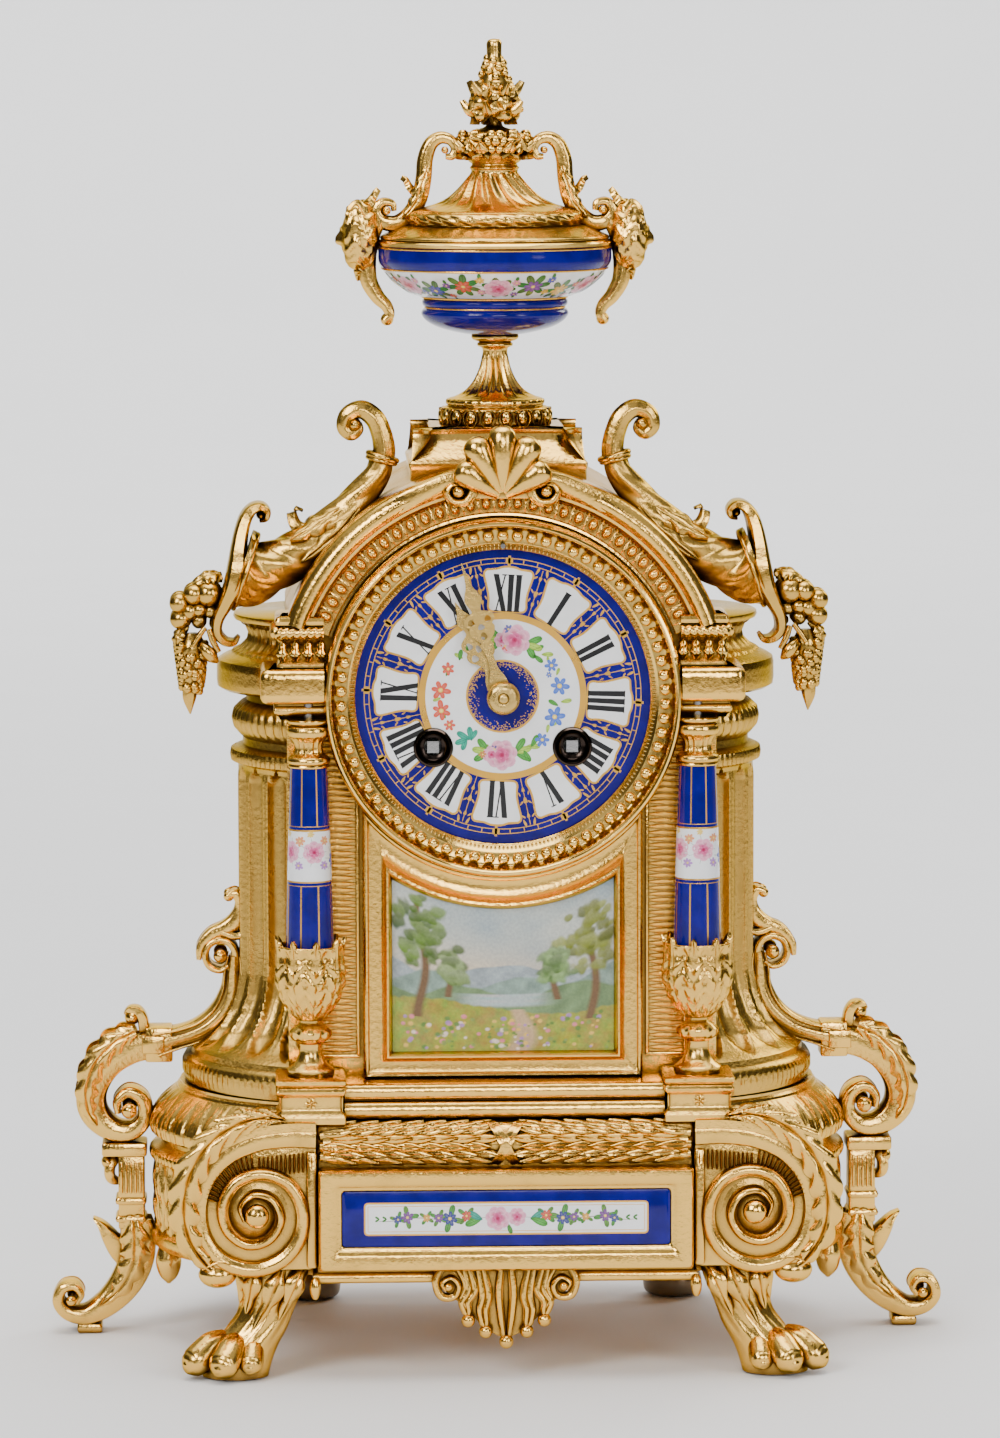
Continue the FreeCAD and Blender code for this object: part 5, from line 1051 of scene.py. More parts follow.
def plate_with_holes(outline: Array, holes: Sequence[Array]) -> tuple[Array, Array]:
    """Divides a flat outline with holes into triangles.

    Args:
        outline: Closed outline.
        holes: Closed outlines of its holes.

    Returns:
        Points and triangles.
    """
    points: list[Vector] = []
    faces = []
    for ring in (outline, *holes):
        ring = anticlockwise(np.asarray(ring, float))
        faces.append(list(range(len(points), len(points) + len(ring))))
        points.extend(Vector(p) for p in ring)
    made, _, tris, _, _, origin = delaunay_2d_cdt(points, [], faces, 0, 1e-5)
    kept = [tri for tri, source in zip(tris,
                                       origin) if 0 in source and not any(k in source for k in range(1, len(faces)))]
    return np.array([[v.x, v.y] for v in made]), np.array(kept)


def anticlockwise(ring: Array) -> Array:
    """An outline in anticlockwise order."""
    ahead = np.roll(ring, -1, 0)
    return ring if np.sum(ring[:, 0] * ahead[:, 1] - ahead[:, 0] * ring[:, 1]) > 0 else ring[::-1]


def offset(outline: Array, distance: float, closed: bool = True) -> Array:
    """Moves an outline outwards with mitred corners.

    Args:
        outline: Points in order, anticlockwise if closed.
        distance: How far to the right of its direction.
        closed: Whether it closes.

    Returns:
        The moved outline.
    """
    if closed:
        ahead, behind = unit(np.roll(outline, -1, 0) - outline), unit(outline - np.roll(outline, 1, 0))
    else:
        steps = unit(np.diff(outline, axis=0))
        ahead, behind = np.vstack([steps, steps[-1]]), np.vstack([steps[0], steps])
    a, b = np.column_stack([ahead[:, 1], -ahead[:, 0]]), np.column_stack([behind[:, 1], -behind[:, 0]])
    mitre = (a + b) / np.maximum(1 + np.sum(a * b, -1, keepdims=True), 0.3)
    return outline + mitre * distance


def arc(centre: Sequence[float], radius: float, start: float, end: float, count: int = 32) -> Array:
    """Points of an arc whose angles run clockwise from straight up, in degrees."""
    return np.array([polar(a, radius, centre) for a in np.linspace(start, end, count)])


def spread_out(outline: Array, pitch: float, closed: bool = True) -> Array:
    """Resamples an outline at an even pitch, keeping its corners nearly in place.

    Args:
        outline: Points in order.
        pitch: Distance between the samples, in millimetres.
        closed: Whether it closes.

    Returns:
        The samples, with the outline's own corners among them.
    """
    ring = np.vstack([outline, outline[:1]]) if closed else outline
    steps = np.concatenate([[0], np.cumsum(np.linalg.norm(np.diff(ring, axis=0), axis=1))])
    count = max(int(steps[-1] / pitch), 8)
    want = np.unique(np.concatenate([np.linspace(0, steps[-1], count, endpoint=not closed), steps[:-1]]))
    return np.column_stack([np.interp(want, steps, ring[:, k]) for k in range(ring.shape[1])])


class Mould(Shell):
    """A shell that also runs mouldings round piers and along walls."""

    def pier(self, outline: Array, profile: Sequence[Sequence[float]],
             relief: Callable[[Array, float], Array] | None = None) -> None:
        """Raises a moulded pier on a plan.

        Args:
            outline: Closed plan of x and y, anticlockwise seen from above.
            profile: Rows of offset and z, from the bottom up.
            relief: Extra offset by length round the plan and z.
        """
        outline = np.asarray(outline, float)
        length = np.concatenate([[0], np.cumsum(np.linalg.norm(np.diff(outline, axis=0), axis=1))])
        rows = []
        for grow, z in profile:
            extra = relief(length, z) if relief else np.zeros(len(outline))
            base = offset(outline, grow)
            moved = base + (offset(outline, 1.0) - outline) * extra[:, None]
            rows.append(np.column_stack([moved, np.full(len(moved), z)]))
        self.grid(np.array(rows))

    def run(self, path: Array, profile: Sequence[Sequence[float]], upright: bool = False) -> None:
        """Runs a moulding along an open path.

        Args:
            path: Points of x and y, or of x and z where upright, with the outside on the right.
            profile: Closed loop of offset and z, or of offset and y where upright.
            upright: Whether the path lies in the front plane.
        """
        profile = np.asarray(profile, float)
        cols = []
        for grow, other in profile:
            moved = offset(np.asarray(path, float), grow, closed=False)
            third = np.full(len(moved), other)
            cols.append(np.column_stack([moved[:, 0], third, moved[:, 1]] if upright else [moved, third]))
        self.grid(np.stack(cols, 1))

    def rim(self, outer: Array, inner: Array, section: Sequence[Sequence[float]]) -> None:
        """Frames an opening in the front plane.

        Args:
            outer: Closed outer outline of x and z.
            inner: Inner outline with as many points.
            section: Closed loop of share from outer to inner, and y.
        """
        rows = []
        for share, y in section:
            flat = outer * (1 - share) + inner * share
            rows.append(stand(flat, y))
        self.grid(np.array(rows), loop=True)

    def pierced(self, outline: Array, holes: Sequence[Array], front: float, back: float) -> None:
        """Adds a flat plate with holes in the front plane.

        Args:
            outline: Closed outline of x and z.
            holes: Closed outlines of the holes.
            front: y of its front.
            back: y of its back.
        """
        flat, tris = plate_with_holes(outline, holes)
        for y in (front, back):
            self.add(stand(flat, y), tris)
        for ring in (outline, *holes):
            self.grid(np.array([stand(ring, y) for y in (front, back)]), ends=False)

    def rope(self, path: Array, radius: float, turns: float, strands: int = 2, loop: bool = False,
             detail: int = 14) -> None:
        """Lays a twisted cord.

        Args:
            path: Points along it.
            radius: Its radius.
            turns: How often it twists.
            strands: How many strands it shows.
            loop: Whether it closes.
            detail: Points around it.
        """
        way = unit(np.gradient(path, axis=0))
        side = unit(np.cross(way, UP + 0.01))
        out = np.cross(way, side)
        t = np.linspace(0, 2 * np.pi * turns, len(path), endpoint=not loop)[:, None]
        a = once_round(detail)[None, :]
        r = radius * (0.72 + 0.28 * np.abs(np.sin(strands * (a - t) / 2)))
        self.sweep(path, side, out, np.stack([r * np.cos(a), r * np.sin(a)], -1), loop)

    def flipped(self) -> "Mould":
        """The left-hand mirror image of this shell.

        Returns:
            The image.
        """
        image = Mould()
        image.join(self, flip=True)
        return image

    def mirrored_both(self) -> "Mould":
        """This shell with its left-hand mirror image.

        Returns:
            Both as one shell.
        """
        both = Mould()
        both.join(self)
        both.join(self, flip=True)
        return both

    def faced_both(self, middle: float) -> "Mould":
        """This shell with its mirror image behind the plane y = middle.

        Args:
            middle: y of the plane.

        Returns:
            Both as one shell.
        """
        both = Mould()
        both.join(self)
        for points, faces, start in zip(self.points, self.faces, np.cumsum([0] + [len(p) for p in self.points])):
            both.add(points * np.array([1, -1, 1]) + np.array([0, 2 * middle, 0]), faces - start)
        return both


# --------------------------------------------------------------------------- the base
@dataclass
class Plinth:
    """Long rounded base with a leaf mould, a laurel garland over the tablet, and feet at the back."""

    end_x: float = 44.0
    centre_y: float = MIDDLE_Y
    radius: float = 64.4
    profile: tuple = ((-4.4, 28.6), (-0.9, 29.0), (-0.2, 30.2), (0, 31.8), (-0.4, 33.2), (-1.6, 34.0), (-2.4, 35.0),
                      (-2.4, 40), (-2.4, 45), (-2.4, 50), (-2.2, 54.5), (-1.4, 55.6), (-0.3, 56.4), (0, 57.6),
                      (-0.3, 58.8), (-1.4, 59.6), (-2.9, 60.4), (-3.6, 61.6), (-3.4, 62.8), (-2.4, 63.6), (-1.2, 64.2),
                      (-0.9, 65.2), (-0.8, 67), (-1.3, 69), (-2.3, 71), (-3.7, 73), (-5.4, 75), (-7.2, 76.8),
                      (-8.6, 77.8), (-8.8, 78.6), (-9.7, 79.2), (-9.7, 80))
    laurel_y: float = -60.85
    laurel_z: float = 70.8
    laurel_r: float = 6.3
    laurel_half: float = 55.0
    laurel_step: float = 6.8
    laurel_lean: float = 46.0
    laurel_count: int = 7
    leaf_pitch: float = 8.4
    foot_place: tuple = (58.0, 60.0)
    foot: tuple = ((5.9, 0), (8.6, 1.2), (9.4, 3.4), (9.3, 6.0), (8.2, 9), (6.2, 12), (4.9, 15.5), (5.2, 18.5),
                   (6.4, 20.4), (7.8, 21.6), (7.8, 28.6))

    def carve(self, length: Array, z: float) -> Array:
        """Relief of the base: water leaves on the mould, upright leaves and beads on the drum.

        Args:
            length: Length round the plan.
            z: Height.

        Returns:
            Extra offset.
        """
        u = np.abs((length / self.leaf_pitch) % 1 - 0.5) * 2
        if 63.4 < z < 78.2:
            t = (z - 63.4) / 14.8
            reach = np.clip(1.0 - 0.72 * t**2.2, 0.1, 1)
            leaf = np.clip(1 - (u / reach) ** 4, 0, 1) ** 0.5
            rib = np.exp(-((u / 0.10) ** 2)) + 0.5 * np.exp(-(((u - 0.45 * reach) / 0.08) ** 2))
            return math.sin(math.pi * min(1.0, 0.12 + t)) ** 0.4 * (1.15 * leaf - 0.55 * rib)
        if 34.5 < z < 55:
            t = (z - 34.5) / 20.5
            reach = 0.80 * math.sin(math.pi * (0.14 + 0.80 * t)) ** 0.6
            leaf = np.clip(1 - (u / reach) ** 4, 0, 1) ** 0.5
            curl = 0.35 * np.cos(2 * math.pi * (2.4 * t + 1.1 * u)) * leaf
            return 1.35 * leaf + curl - 0.6 * np.exp(-((u / 0.1) ** 2)) * leaf
        if 56 < z < 59:
            return 0.45 * (bump(length / 2.8) - 0.5)
        return np.zeros_like(length)

    def build_drum(self) -> Object:
        """The base body with its relief.

        Returns:
            The piece that stands for the base.
        """
        right = arc((self.end_x, self.centre_y), self.radius, 180, 0, 150)
        left = arc((-self.end_x, self.centre_y), self.radius, 0, -180, 150)
        plan = spread_out(np.vstack([right, left]), 0.75)
        steps = np.array(self.profile)
        rows = []
        for a, b in zip(steps[:-1], steps[1:]):
            count = max(1, int(abs(b[1] - a[1]) / 0.9))
            rows.extend([tuple(a + (b - a) * k / count) for k in range(count)])
        rows.append(tuple(steps[-1]))
        shell = Mould()
        inner = [(-9.2, 75.5), (-9.2, 60), (-9.2, 45), (-9.2, 29.2), (-8.8, 28.6)]
        shell.pier(plan, [*inner, *rows], self.carve)
        shell.brick((-57, -64, 28.8), (57, -46, 77.3), 1.0)
        shell.brick((-65, -44, 76.0), (65, 10, 80), 0.4)
        shell.run(np.array([(-57.2, -44), (-57.2, -64), (57.2, -64), (57.2, -44)]),
                  [(0, 28.8), (0.9, 29.4), (1.1, 30.6), (0.7, 31.6), (0, 32.2)])
        return shell.build("base_plinth_dressed", GILT, instead=["base_plinth"])

    def build_laurel(self) -> list[Object]:
        """The laurel garland: overlapping leaves that point to a crossed ribbon.

        Returns:
            The leaf rows and the core with its ribbon.
        """
        motif = Shell()
        for stagger in (0, 1):
            for step in range(-2, 3):
                angle = (step + 0.5 * stagger) * self.laurel_lean
                if abs(angle) > 100:
                    continue
                out = np.array([0.0, -math.cos(math.radians(angle)), math.sin(math.radians(angle))])
                base = out * (self.laurel_r - 0.95)
                x0 = self.laurel_step / 2 * stagger
                spine = [(*(base + (x0 - 1.6, 0, 0)), 0.5), (*(base + out * 0.5 + (x0 + 1.2, 0, 0)), 2.3),
                         (*(base + out * 1.1 + (x0 + 4.8, 0, 0)), 2.5), (*(base + out * 1.3 + (x0 + 9.4, 0, 0)), 0.2)]
                motif.leaf(spine, out, lobes=0.001, rise=1.0, thick=0.5, bend=0.3, along=14, across=9)
        done = []
        for side, label in SIDES:
            piece = Shell()
            piece.join(motif, flip=side > 0)
            done.append(Repeat.run(f"laurel_leaves_{label}", "row", piece, GILT, {
                "Used": self.laurel_count, "Step": (-side * self.laurel_step * MM, 0, 0),
                "Place": (side * (self.laurel_half - 0.6) * MM, self.laurel_y * MM, self.laurel_z * MM),
                "Spread": 0.0}))
        shell = Mould()
        path = np.column_stack([np.linspace(-self.laurel_half, self.laurel_half, 30), np.full(30, self.laurel_y),
                                np.full(30, self.laurel_z)])
        shell.sweep(path, FRONT, UP, round_outline((0, 0), self.laurel_r - 1.0, 24))
        for lean in (-1, 1):
            a = np.linspace(-2.1, 2.1, 30)
            ribbon = np.column_stack([lean * 7.0 * a / 2.1, self.laurel_y - (self.laurel_r + 0.3) * np.cos(a),
                                      self.laurel_z + (self.laurel_r + 0.3) * np.sin(a)])
            out = np.column_stack([0 * a, -np.cos(a), np.sin(a)])
            shell.sweep(ribbon, np.cross(unit(np.gradient(ribbon, axis=0)), out), out,
                        soften([(-1.5, -0.4), (1.5, -0.4), (1.5, 0.45), (0, 0.15), (-1.5, 0.45)], 0.3, 3, True))
        for side in (-1, 1):
            shell.flower((side * (self.laurel_half + 0.2), self.laurel_y, self.laurel_z), (side, 0, 0), 6.0, 8, 0.3)
        done.append(shell.build("laurel_core", GILT))
        return done

    def build_feet(self) -> Object:
        """The two turned feet at the back.

        Returns:
            The piece that stands for them.
        """
        shell = Shell()
        profile = flow(self.foot, 40)
        for side in (-1, 1):
            shell.lathe(profile, (side * self.foot_place[0], self.foot_place[1]), 48)
        return shell.build("rear_feet_dressed", DARK_BRONZE, slot="dark_bronze", instead=["rear_feet"])

    def build(self) -> list[Object]:
        """Builds the whole base."""
        return [self.build_drum(), *self.build_laurel(), self.build_feet()]


@dataclass
class Tablet:
    """Porcelain tablet in a moulded frame on the front of the base."""

    half_width: float = 56.5
    bottom_z: float = 33.5
    top_z: float = 64.4
    sight_half: float = 49.5
    sight_height: float = 8.5
    centre_z: float = 49.5
    face_y: float = -70.4
    inset_half: float = 42.4
    inset_height: float = 4.6
    corner: float = 1.2
    inset_corner: float = 0.9
    back_y: float = -67.2

    def build_frame(self) -> Object:
        """The broad plain gilt frame.

        Returns:
            The piece that stands for the frame.
        """
        outer = rounded_box((-self.half_width, self.bottom_z), (self.half_width, self.top_z), self.corner)
        inner = rounded_box((-self.sight_half, self.centre_z - self.sight_height),
                            (self.sight_half, self.centre_z + self.sight_height), self.corner)
        section = [(0, -64), (0, -70.2), (0.03, -71.2), (0.10, -71.9), (0.20, -72.0), (0.62, -71.9), (0.74, -71.6),
                   (0.80, -71.0), (0.84, -70.9), (0.93, -70.9), (0.98, -70.6), (1.0, -70.0), (1.0, -66.5), (0.5, -64)]
        shell = Mould()
        shell.rim(outer, inner, section)
        return shell.build("tablet_frame_dressed", GILT, instead=["tablet_frame"])

    def place(self, p: Array, lift: float) -> Array:
        """Points on the tablet's face."""
        return stand(p, self.face_y - lift)

    def build_tablet(self) -> list[Object]:
        """The cobalt tablet, its white field, gold lines and flower garland.

        Returns:
            The plate, the field, the gold lines and the garland.
        """
        plate = Shell()
        w, h, z = self.sight_half - 0.05, self.sight_height - 0.05, self.centre_z
        plate.slab(rounded_box((-w, z - h), (w, z + h), self.corner), self.face_y, self.back_y, 0.3)
        done = [plate.build("tablet_porcelain", COBALT, slot="blue_porcelain", instead=["porcelain_tablet"])]
        w, h = self.inset_half, self.inset_height
        field = rounded_box((-w, z - h), (w, z + h), self.inset_corner)
        white = Brush(self.place)
        white.patch(field, (0.8, 0.81, 0.82), (0.82, 0.83, 0.84))
        done.append(white.build("tablet_field", WHITE))
        gold = Brush(self.place)
        for grow, width in ((0.2, 0.5), (-0.75, 0.18)):
            a, b = offset(field, grow - width / 2), offset(field, grow + width / 2)
            for i in range(len(field)):
                j = (i + 1) % len(field)
                gold.patch(np.array([a[i], a[j], b[j], b[i]]), (1, 1, 1), level=1)
        done.append(gold.build("tablet_gold", GOLD_LINE))
        art = Brush(self.place, 11)
        navy, red, violet, ochre = (0.02, 0.03, 0.22), (0.60, 0.06, 0.02), (0.16, 0.03, 0.24), (0.70, 0.32, 0.03)
        for side in (-1, 1):
            line = [(side * x, z - 0.2 + 0.5 * math.sin(0.3 * x)) for x in np.linspace(6, w - 4, 24)]
            art.stroke(np.array(line), 0.2, (0.12, 0.09, 0.03), 1)
            blooms = ((12.0, 1.7, red), (17.0, 2.3, navy), (20.4, 1.5, violet), (24.0, 1.3, ochre), (29.8, 1.9, violet),
                      (32.6, 1.4, navy))
            for x, size, tone in blooms:
                at = (side * x, z + 0.3 + 0.5 * math.sin(1.7 * x))
                for k in range(4):
                    art.leafy(at, 1.9 * size, 45 + 90 * k + 23 * x, (0.05 + 0.03 * (k % 2), 0.20, 0.03), 2)
                art.daisy(at, size, tone, level=4)
            art.leafy((side * 7.2, z - 0.4), 5.0, 90 - side * 62, (0.02, 0.22, 0.16), 3)
            art.leafy((side * 7.4, z), 5.4, 90 - side * 112, (0.05, 0.24, 0.03), 3)
            for x in (36.0, 38.2):
                art.leafy((side * x, z), 1.5, 90 - side * (90 - 30), level=2)
                art.leafy((side * x, z), 1.5, 90 - side * (90 + 30), level=2)
        art.rose((-2.6, z), 3.6, 6)
        art.rose((3.2, z + 0.4), 2.7, 5)
        art.leafy((0.4, z - 1.6), 3.4, -70, level=4)
        done.append(art.build("tablet_garland", slot="painted_porcelain"))
        return done

    def build(self) -> list[Object]:
        """Builds the tablet and its frame."""
        return [self.build_frame(), *self.build_tablet()]


@dataclass
class Apron:
    """Carved drop of leaves under the tablet."""

    top_z: float = 33.0

    def build(self) -> list[Object]:
        """Builds the drop.

        Returns:
            The piece that stands for it.
        """
        shell = Mould()
        edge = soften([(-20.4, self.top_z + 0.4), (-20.6, 28.0), (-15.0, 23.6), (-9, 17.5), (-4.4, 13.4), (0, 11.6),
                       (4.4, 13.4), (9, 17.5), (15.0, 23.6), (20.6, 28.0), (20.4, self.top_z + 0.4)], 2, 4, True)
        shell.slab(edge[::-1], -65.6, -64.0, 0.4)
        half = Mould()
        half.ridge([(19.6, 33.4, 1.2, 1.4), (21.2, 29.4, 1.3, 1.8), (19.6, 25.0, 1.3, 2.0), (15.8, 24.8, 1.2, 2.2),
                    (14.4, 28.0, 1.1, 2.4), (16.6, 30.6, 1.0, 2.5), (19.2, 29.0, 0.9, 2.6), (18.2, 26.8, 0.7, 2.6)],
                   -65.4, 110, 1.2)
        half.ball((17.4, -67.4, 28.0), 1.3, 14)
        for bend, end in (((12.6, 31.0), (11.5, 17.6)), ((8.4, 29.6), (6.2, 14.2))):
            for share in (0.0, 1.0):
                rows = [(bend[0] - 1.6 * share, 33.4, 1.1, 1.6),
                        (bend[0] - 2.0 * share - 1.2, bend[1] - 4.0, 1.3, 2.2),
                        (end[0] + 1.8 - 1.9 * share, (bend[1] + end[1]) / 2 - 1.0, 1.2, 2.4),
                        (end[0] + 1.2 - 1.5 * share, end[1] + 3.0, 1.1, 2.4), (end[0], end[1] + 0.8, 0.8, 2.0)]
                half.ridge(rows, -65.4, 60, 1.2)
            half.ball((end[0], -66.8, end[1]), 2.1, 16)
        half.ridge([(1.5, 33.4, 1.3, 2.6), (2.1, 26.0, 1.4, 3.0), (1.5, 18.0, 1.3, 3.0), (0.7, 12.6, 0.9, 2.6)], -65.4,
                   60, 1.2)
        half.ridge([(14.6, 33.4, 1.0, 1.4), (12.4, 28.6, 1.1, 1.8), (13.4, 24.4, 1.0, 2.0), (11.6, 21.0, 0.9, 2.0)],
                   -65.4, 50, 1.2)
        shell.join(half.mirrored_both())
        shell.ball((0, -67.4, 11.2), 2.2, 18)
        return [shell.build("apron_dressed", GILT, instead=["apron_shell"])]


@dataclass
class PawBracket:
    """Scrolled front bracket that ends in a lion's paw."""

    eye: tuple = (75.0, 50.8)
    boss: tuple = ((10.5, -66.2), (8.6, -66.6), (6.2, -67.4), (4.2, -68.4), (3.0, -69.0))
    face_y: float = -66.4
    rib_y: float = -66.5
    rib_count: int = 13
    fan_r: float = 15.4
    fan_count: int = 14
    band_path: tuple = ((57.2, 77.0, 1.3), (66, 77.0, 1.4), (76.5, 75.4, 1.6), (86.2, 70.6, 1.7), (93.0, 61.8, 1.8),
                        (95.2, 51.0, 1.7), (92.8, 40.6, 1.5), (86.0, 33.4, 1.2))
    spiral: tuple = ((57.2, 73.8, 3.3, 1.4), (66, 74.0, 3.2, 1.5), (75.5, 72.6, 3.1, 1.6), (84.5, 68.2, 2.9, 1.8),
                     (90.6, 60.4, 2.7, 1.9), (92.6, 51.0, 2.6, 2.1), (90.4, 42.0, 2.5, 2.3), (84.4, 35.8, 2.5, 2.6),
                     (75.6, 33.8, 2.4, 2.8), (67.2, 37.0, 2.4, 3.0), (62.0, 44.0, 2.3, 3.2), (61.4, 52.4, 2.2, 3.3),
                     (65.6, 60.0, 2.1, 3.4), (73.4, 63.0, 2.1, 3.5), (81.2, 60.6, 2.1, 3.6), (85.2, 53.6, 2.0, 3.8),
                     (83.8, 46.2, 2.0, 4.0), (78.0, 41.8, 1.9, 4.2), (71.4, 43.4, 1.8, 4.4), (68.0, 49.4, 1.7, 4.6),
                     (70.4, 55.4, 1.6, 4.8), (76.0, 57.0, 1.4, 4.9), (79.8, 53.4, 1.1, 4.8), (78.8, 49.0, 0.8, 4.4))
    toes: tuple = (((85.0, -60.0), (95.6, -66.0), 4.9), ((80.6, -63.0), (86.4, -72.6), 4.7),
                   ((76.2, -62.0), (77.4, -71.0), 3.7))

    def build_body(self) -> Mould:
        """The slab, band, spiral and inner strip of the right bracket.

        Returns:
            The shell.
        """
        shell = Mould()
        plan = [(57, 77), (66, 76.6), (76.5, 74.6), (85.4, 69.8), (91.6, 61.4), (93.8, 51), (91.6, 41.4), (85.4, 34.6),
                (76, 32.4), (66.4, 33.4), (57.4, 33.4), (57, 52)]
        shell.slab(soften(plan, 2.0, 4, True), self.face_y, -44.4, 0.8)
        rows = flow(self.band_path, 90)
        path = stand(rows, -56.4)
        side = np.cross(unit(np.gradient(path, axis=0)), FRONT)
        section = [(-1.4, -11.8), (0.9, -11.8), (1.3, -10.8), (0.7, -9.8), (0.2, -8.4), (0.0, 0), (0.2, 8.4),
                   (0.7, 9.8), (1.5, 10.8), (1.1, 11.8), (-1.4, 11.8)]
        shell.sweep(path, side, FRONT, np.array(section)[::-1])
        shell.ridge(self.spiral, self.face_y, 260)
        shell.lathe(self.boss, self.eye, 48, level=True)
        shell.ball((self.eye[0], -70.4, self.eye[1]), 3.7, 24, (1, 0.85, 1))
        shell.brick((57.0, -67.6, 34.0), (60.0, -60.0, 69.6), 0.8)
        return shell

    def build_leaves(self) -> Mould:
        """The acanthus, bud and corner drop of the right bracket.

        Returns:
            The shell.
        """
        shell = Mould()
        shell.leaf([(66.5, -67.4, 79.6, 0.8), (72.6, -68.6, 80.4, 2.8), (81.0, -69.2, 78.4, 4.2),
                    (89.2, -69.6, 72.6, 4.9), (94.8, -69.8, 64.0, 5.2), (97.0, -69.6, 54.0, 5.0),
                    (95.6, -69.0, 44.0, 4.2), (90.6, -68.2, 36.0, 2.4), (87.4, -67.2, 33.2, 0.4)], lobes=9, rise=2.0,
                   thick=1.3, bend=0.25, along=150, across=17)
        shell.ridge([(78.5, 79.6, 1.2, 1.6), (74.4, 81.2, 1.5, 2.2), (71.6, 80.4, 1.6, 2.6), (71.8, 78.2, 1.3, 2.4)],
                    -66.4, 30, 4)
        shell.leaf([(95.4, -62.0, 66.0, 3.4), (98.0, -58.0, 55.0, 4.6), (97.4, -57.0, 44.0, 4.0),
                    (92.6, -57.0, 35.0, 0.6)], (1, 0, 0), lobes=6, rise=1.0, thick=1.4, along=60)
        shell.ball((57.6, -65.6, 27.6), 1.9, 14, (0.9, 0.9, 1.9))
        shell.ball((87.0, -64.6, 32.0), 4.4, 20, (1.32, 1.1, 0.92))
        shell.ridge([(82.6, 35.6, 1.0, 4.6), (87.0, 36.4, 1.1, 4.8), (91.6, 34.2, 0.9, 4.2)], -64.4, 24, 3)
        shell.grid(self.limb([(70.4, -55.8, 36.0, 11.6, 9.0), (70.6, -56.0, 30.0, 10.4, 9.6),
                              (71.2, -56.6, 24.6, 9.0, 9.0), (72.6, -57.6, 19.4, 8.4, 8.2),
                              (75.4, -58.8, 14.4, 9.2, 8.2), (78.8, -60.0, 9.6, 10.0, 8.6),
                              (81.0, -60.8, 5.0, 10.4, 9.0), (81.8, -61.0, 0.5, 10.0, 8.6)]))
        for spine, out in (
                ([(61.0, -63.8, 33.6, 2.0), (63.0, -66.4, 29.4, 3.2), (65.6, -66.0, 23.8, 2.4),
                  (68.6, -64.8, 18.0, 0.4)], (-0.3, -1, 0)),
                ([(67.6, -64.6, 34.2, 2.2), (69.4, -67.0, 29.0, 3.4), (72.2, -66.4, 22.6, 2.6),
                  (76.6, -66.0, 15.0, 0.4)], (0, -1, 0)),
                ([(75.4, -64.0, 34.0, 2.2), (76.8, -66.0, 29.6, 3.0), (77.6, -64.8, 24.4, 2.0),
                  (78.4, -63.8, 20.0, 0.4)], (0.3, -1, 0)),
                ([(80.4, -58.0, 33.6, 2.4), (80.8, -58.0, 27.6, 3.4), (80.0, -58.0, 22.0, 0.5)], (1, -0.3, 0))):
            shell.leaf(spine, out, lobes=1.6, rise=1.0, thick=1.2, along=34, across=11)
        return shell

    def limb(self, table: Sequence[Sequence[float]]) -> Array:
        """Rows of a level-sectioned limb with combed hair.

        Args:
            table: Rows of x, y, z and the two half widths.

        Returns:
            Points by row and column.
        """
        rows = flow(table, 60)
        turn = once_round(64)[None, :]
        hair = 1 + 0.035 * np.cos(11 * turn + rows[:, 2:3] / 3.4) * np.clip((rows[:, 2:3] - 8) / 8, 0, 1)
        return np.stack([rows[:, :1] + rows[:, 3:4] * np.cos(turn) * hair,
                         rows[:, 1:2] + rows[:, 4:5] * np.sin(turn) * hair, rows[:, 2:3] + 0 * turn], -1)

    def build_paw(self) -> Mould:
        """The toes of the right paw, turned outwards.

        Returns:
            The shell.
        """
        shell = Mould()
        for (x0, y0), (x1, y1), size in self.toes:
            start, end = np.array([x0, y0, 0.0]), np.array([x1, y1, 0.0])
            rows = flow([(*(start + share * (end - start) + (0, 0, z)), grow * size) for share, z, grow in (
                (0.0, 11.5, 0.66), (0.34, 10.2, 0.90), (0.62, 7.4, 1.02), (0.84, 5.4, 1.0), (0.98, 4.6, 0.84),
                (1.08, 4.1, 0.58), (1.14, 3.9, 0.3), (1.16, 3.8, 0.05))], 40)
            across = unit(np.cross(end - start, UP))
            up = np.cross(across, unit(np.gradient(rows[:, :3], axis=0)))
            turn = once_round(24)[None, :]
            ring = (rows[:, None, :3] + across * (rows[:, 3:4] * np.cos(turn))[..., None]
                    + up[:, None] * (0.92 * rows[:, 3:4] * np.sin(turn))[..., None])
            ring[..., 2] = np.maximum(ring[..., 2], 0.05)
            shell.grid(ring)
        return shell

    def build(self) -> list[Object]:
        """Builds both brackets.

        Returns:
            The right and the left bracket with their ribs.
        """
        right = self.build_body()
        right.join(self.build_leaves())
        right.join(self.build_paw())
        left = right.flipped()
        done = [right.build("right_bracket", GILT, instead=["right_paw_bracket"]),
                left.build("left_bracket", GILT, instead=["left_paw_bracket"])]
        motif = Shell()
        motif.ball((0, 0, 0), 1.0, 8, (0.46, 1.5, 3.7))
        for side, label in SIDES:
            done.append(Repeat.run(f"bracket_ribs_{label}", "row", motif, GILT, {
                "Used": self.rib_count, "Step": (side * 1.32 * MM, 0, -0.12 * MM),
                "Place": (side * 58.4 * MM, self.rib_y * MM, 66.6 * MM)}))
            done.append(Repeat.run(f"bracket_fan_{label}", "ring", motif, GILT, {
                "Count": 70, "Used": self.fan_count, "Phase": 1.0 if side > 0 else -float(self.fan_count),
                "Radius": self.fan_r * MM, "Place": (side * self.eye[0] * MM, self.rib_y * MM, self.eye[1] * MM)}))
        return done


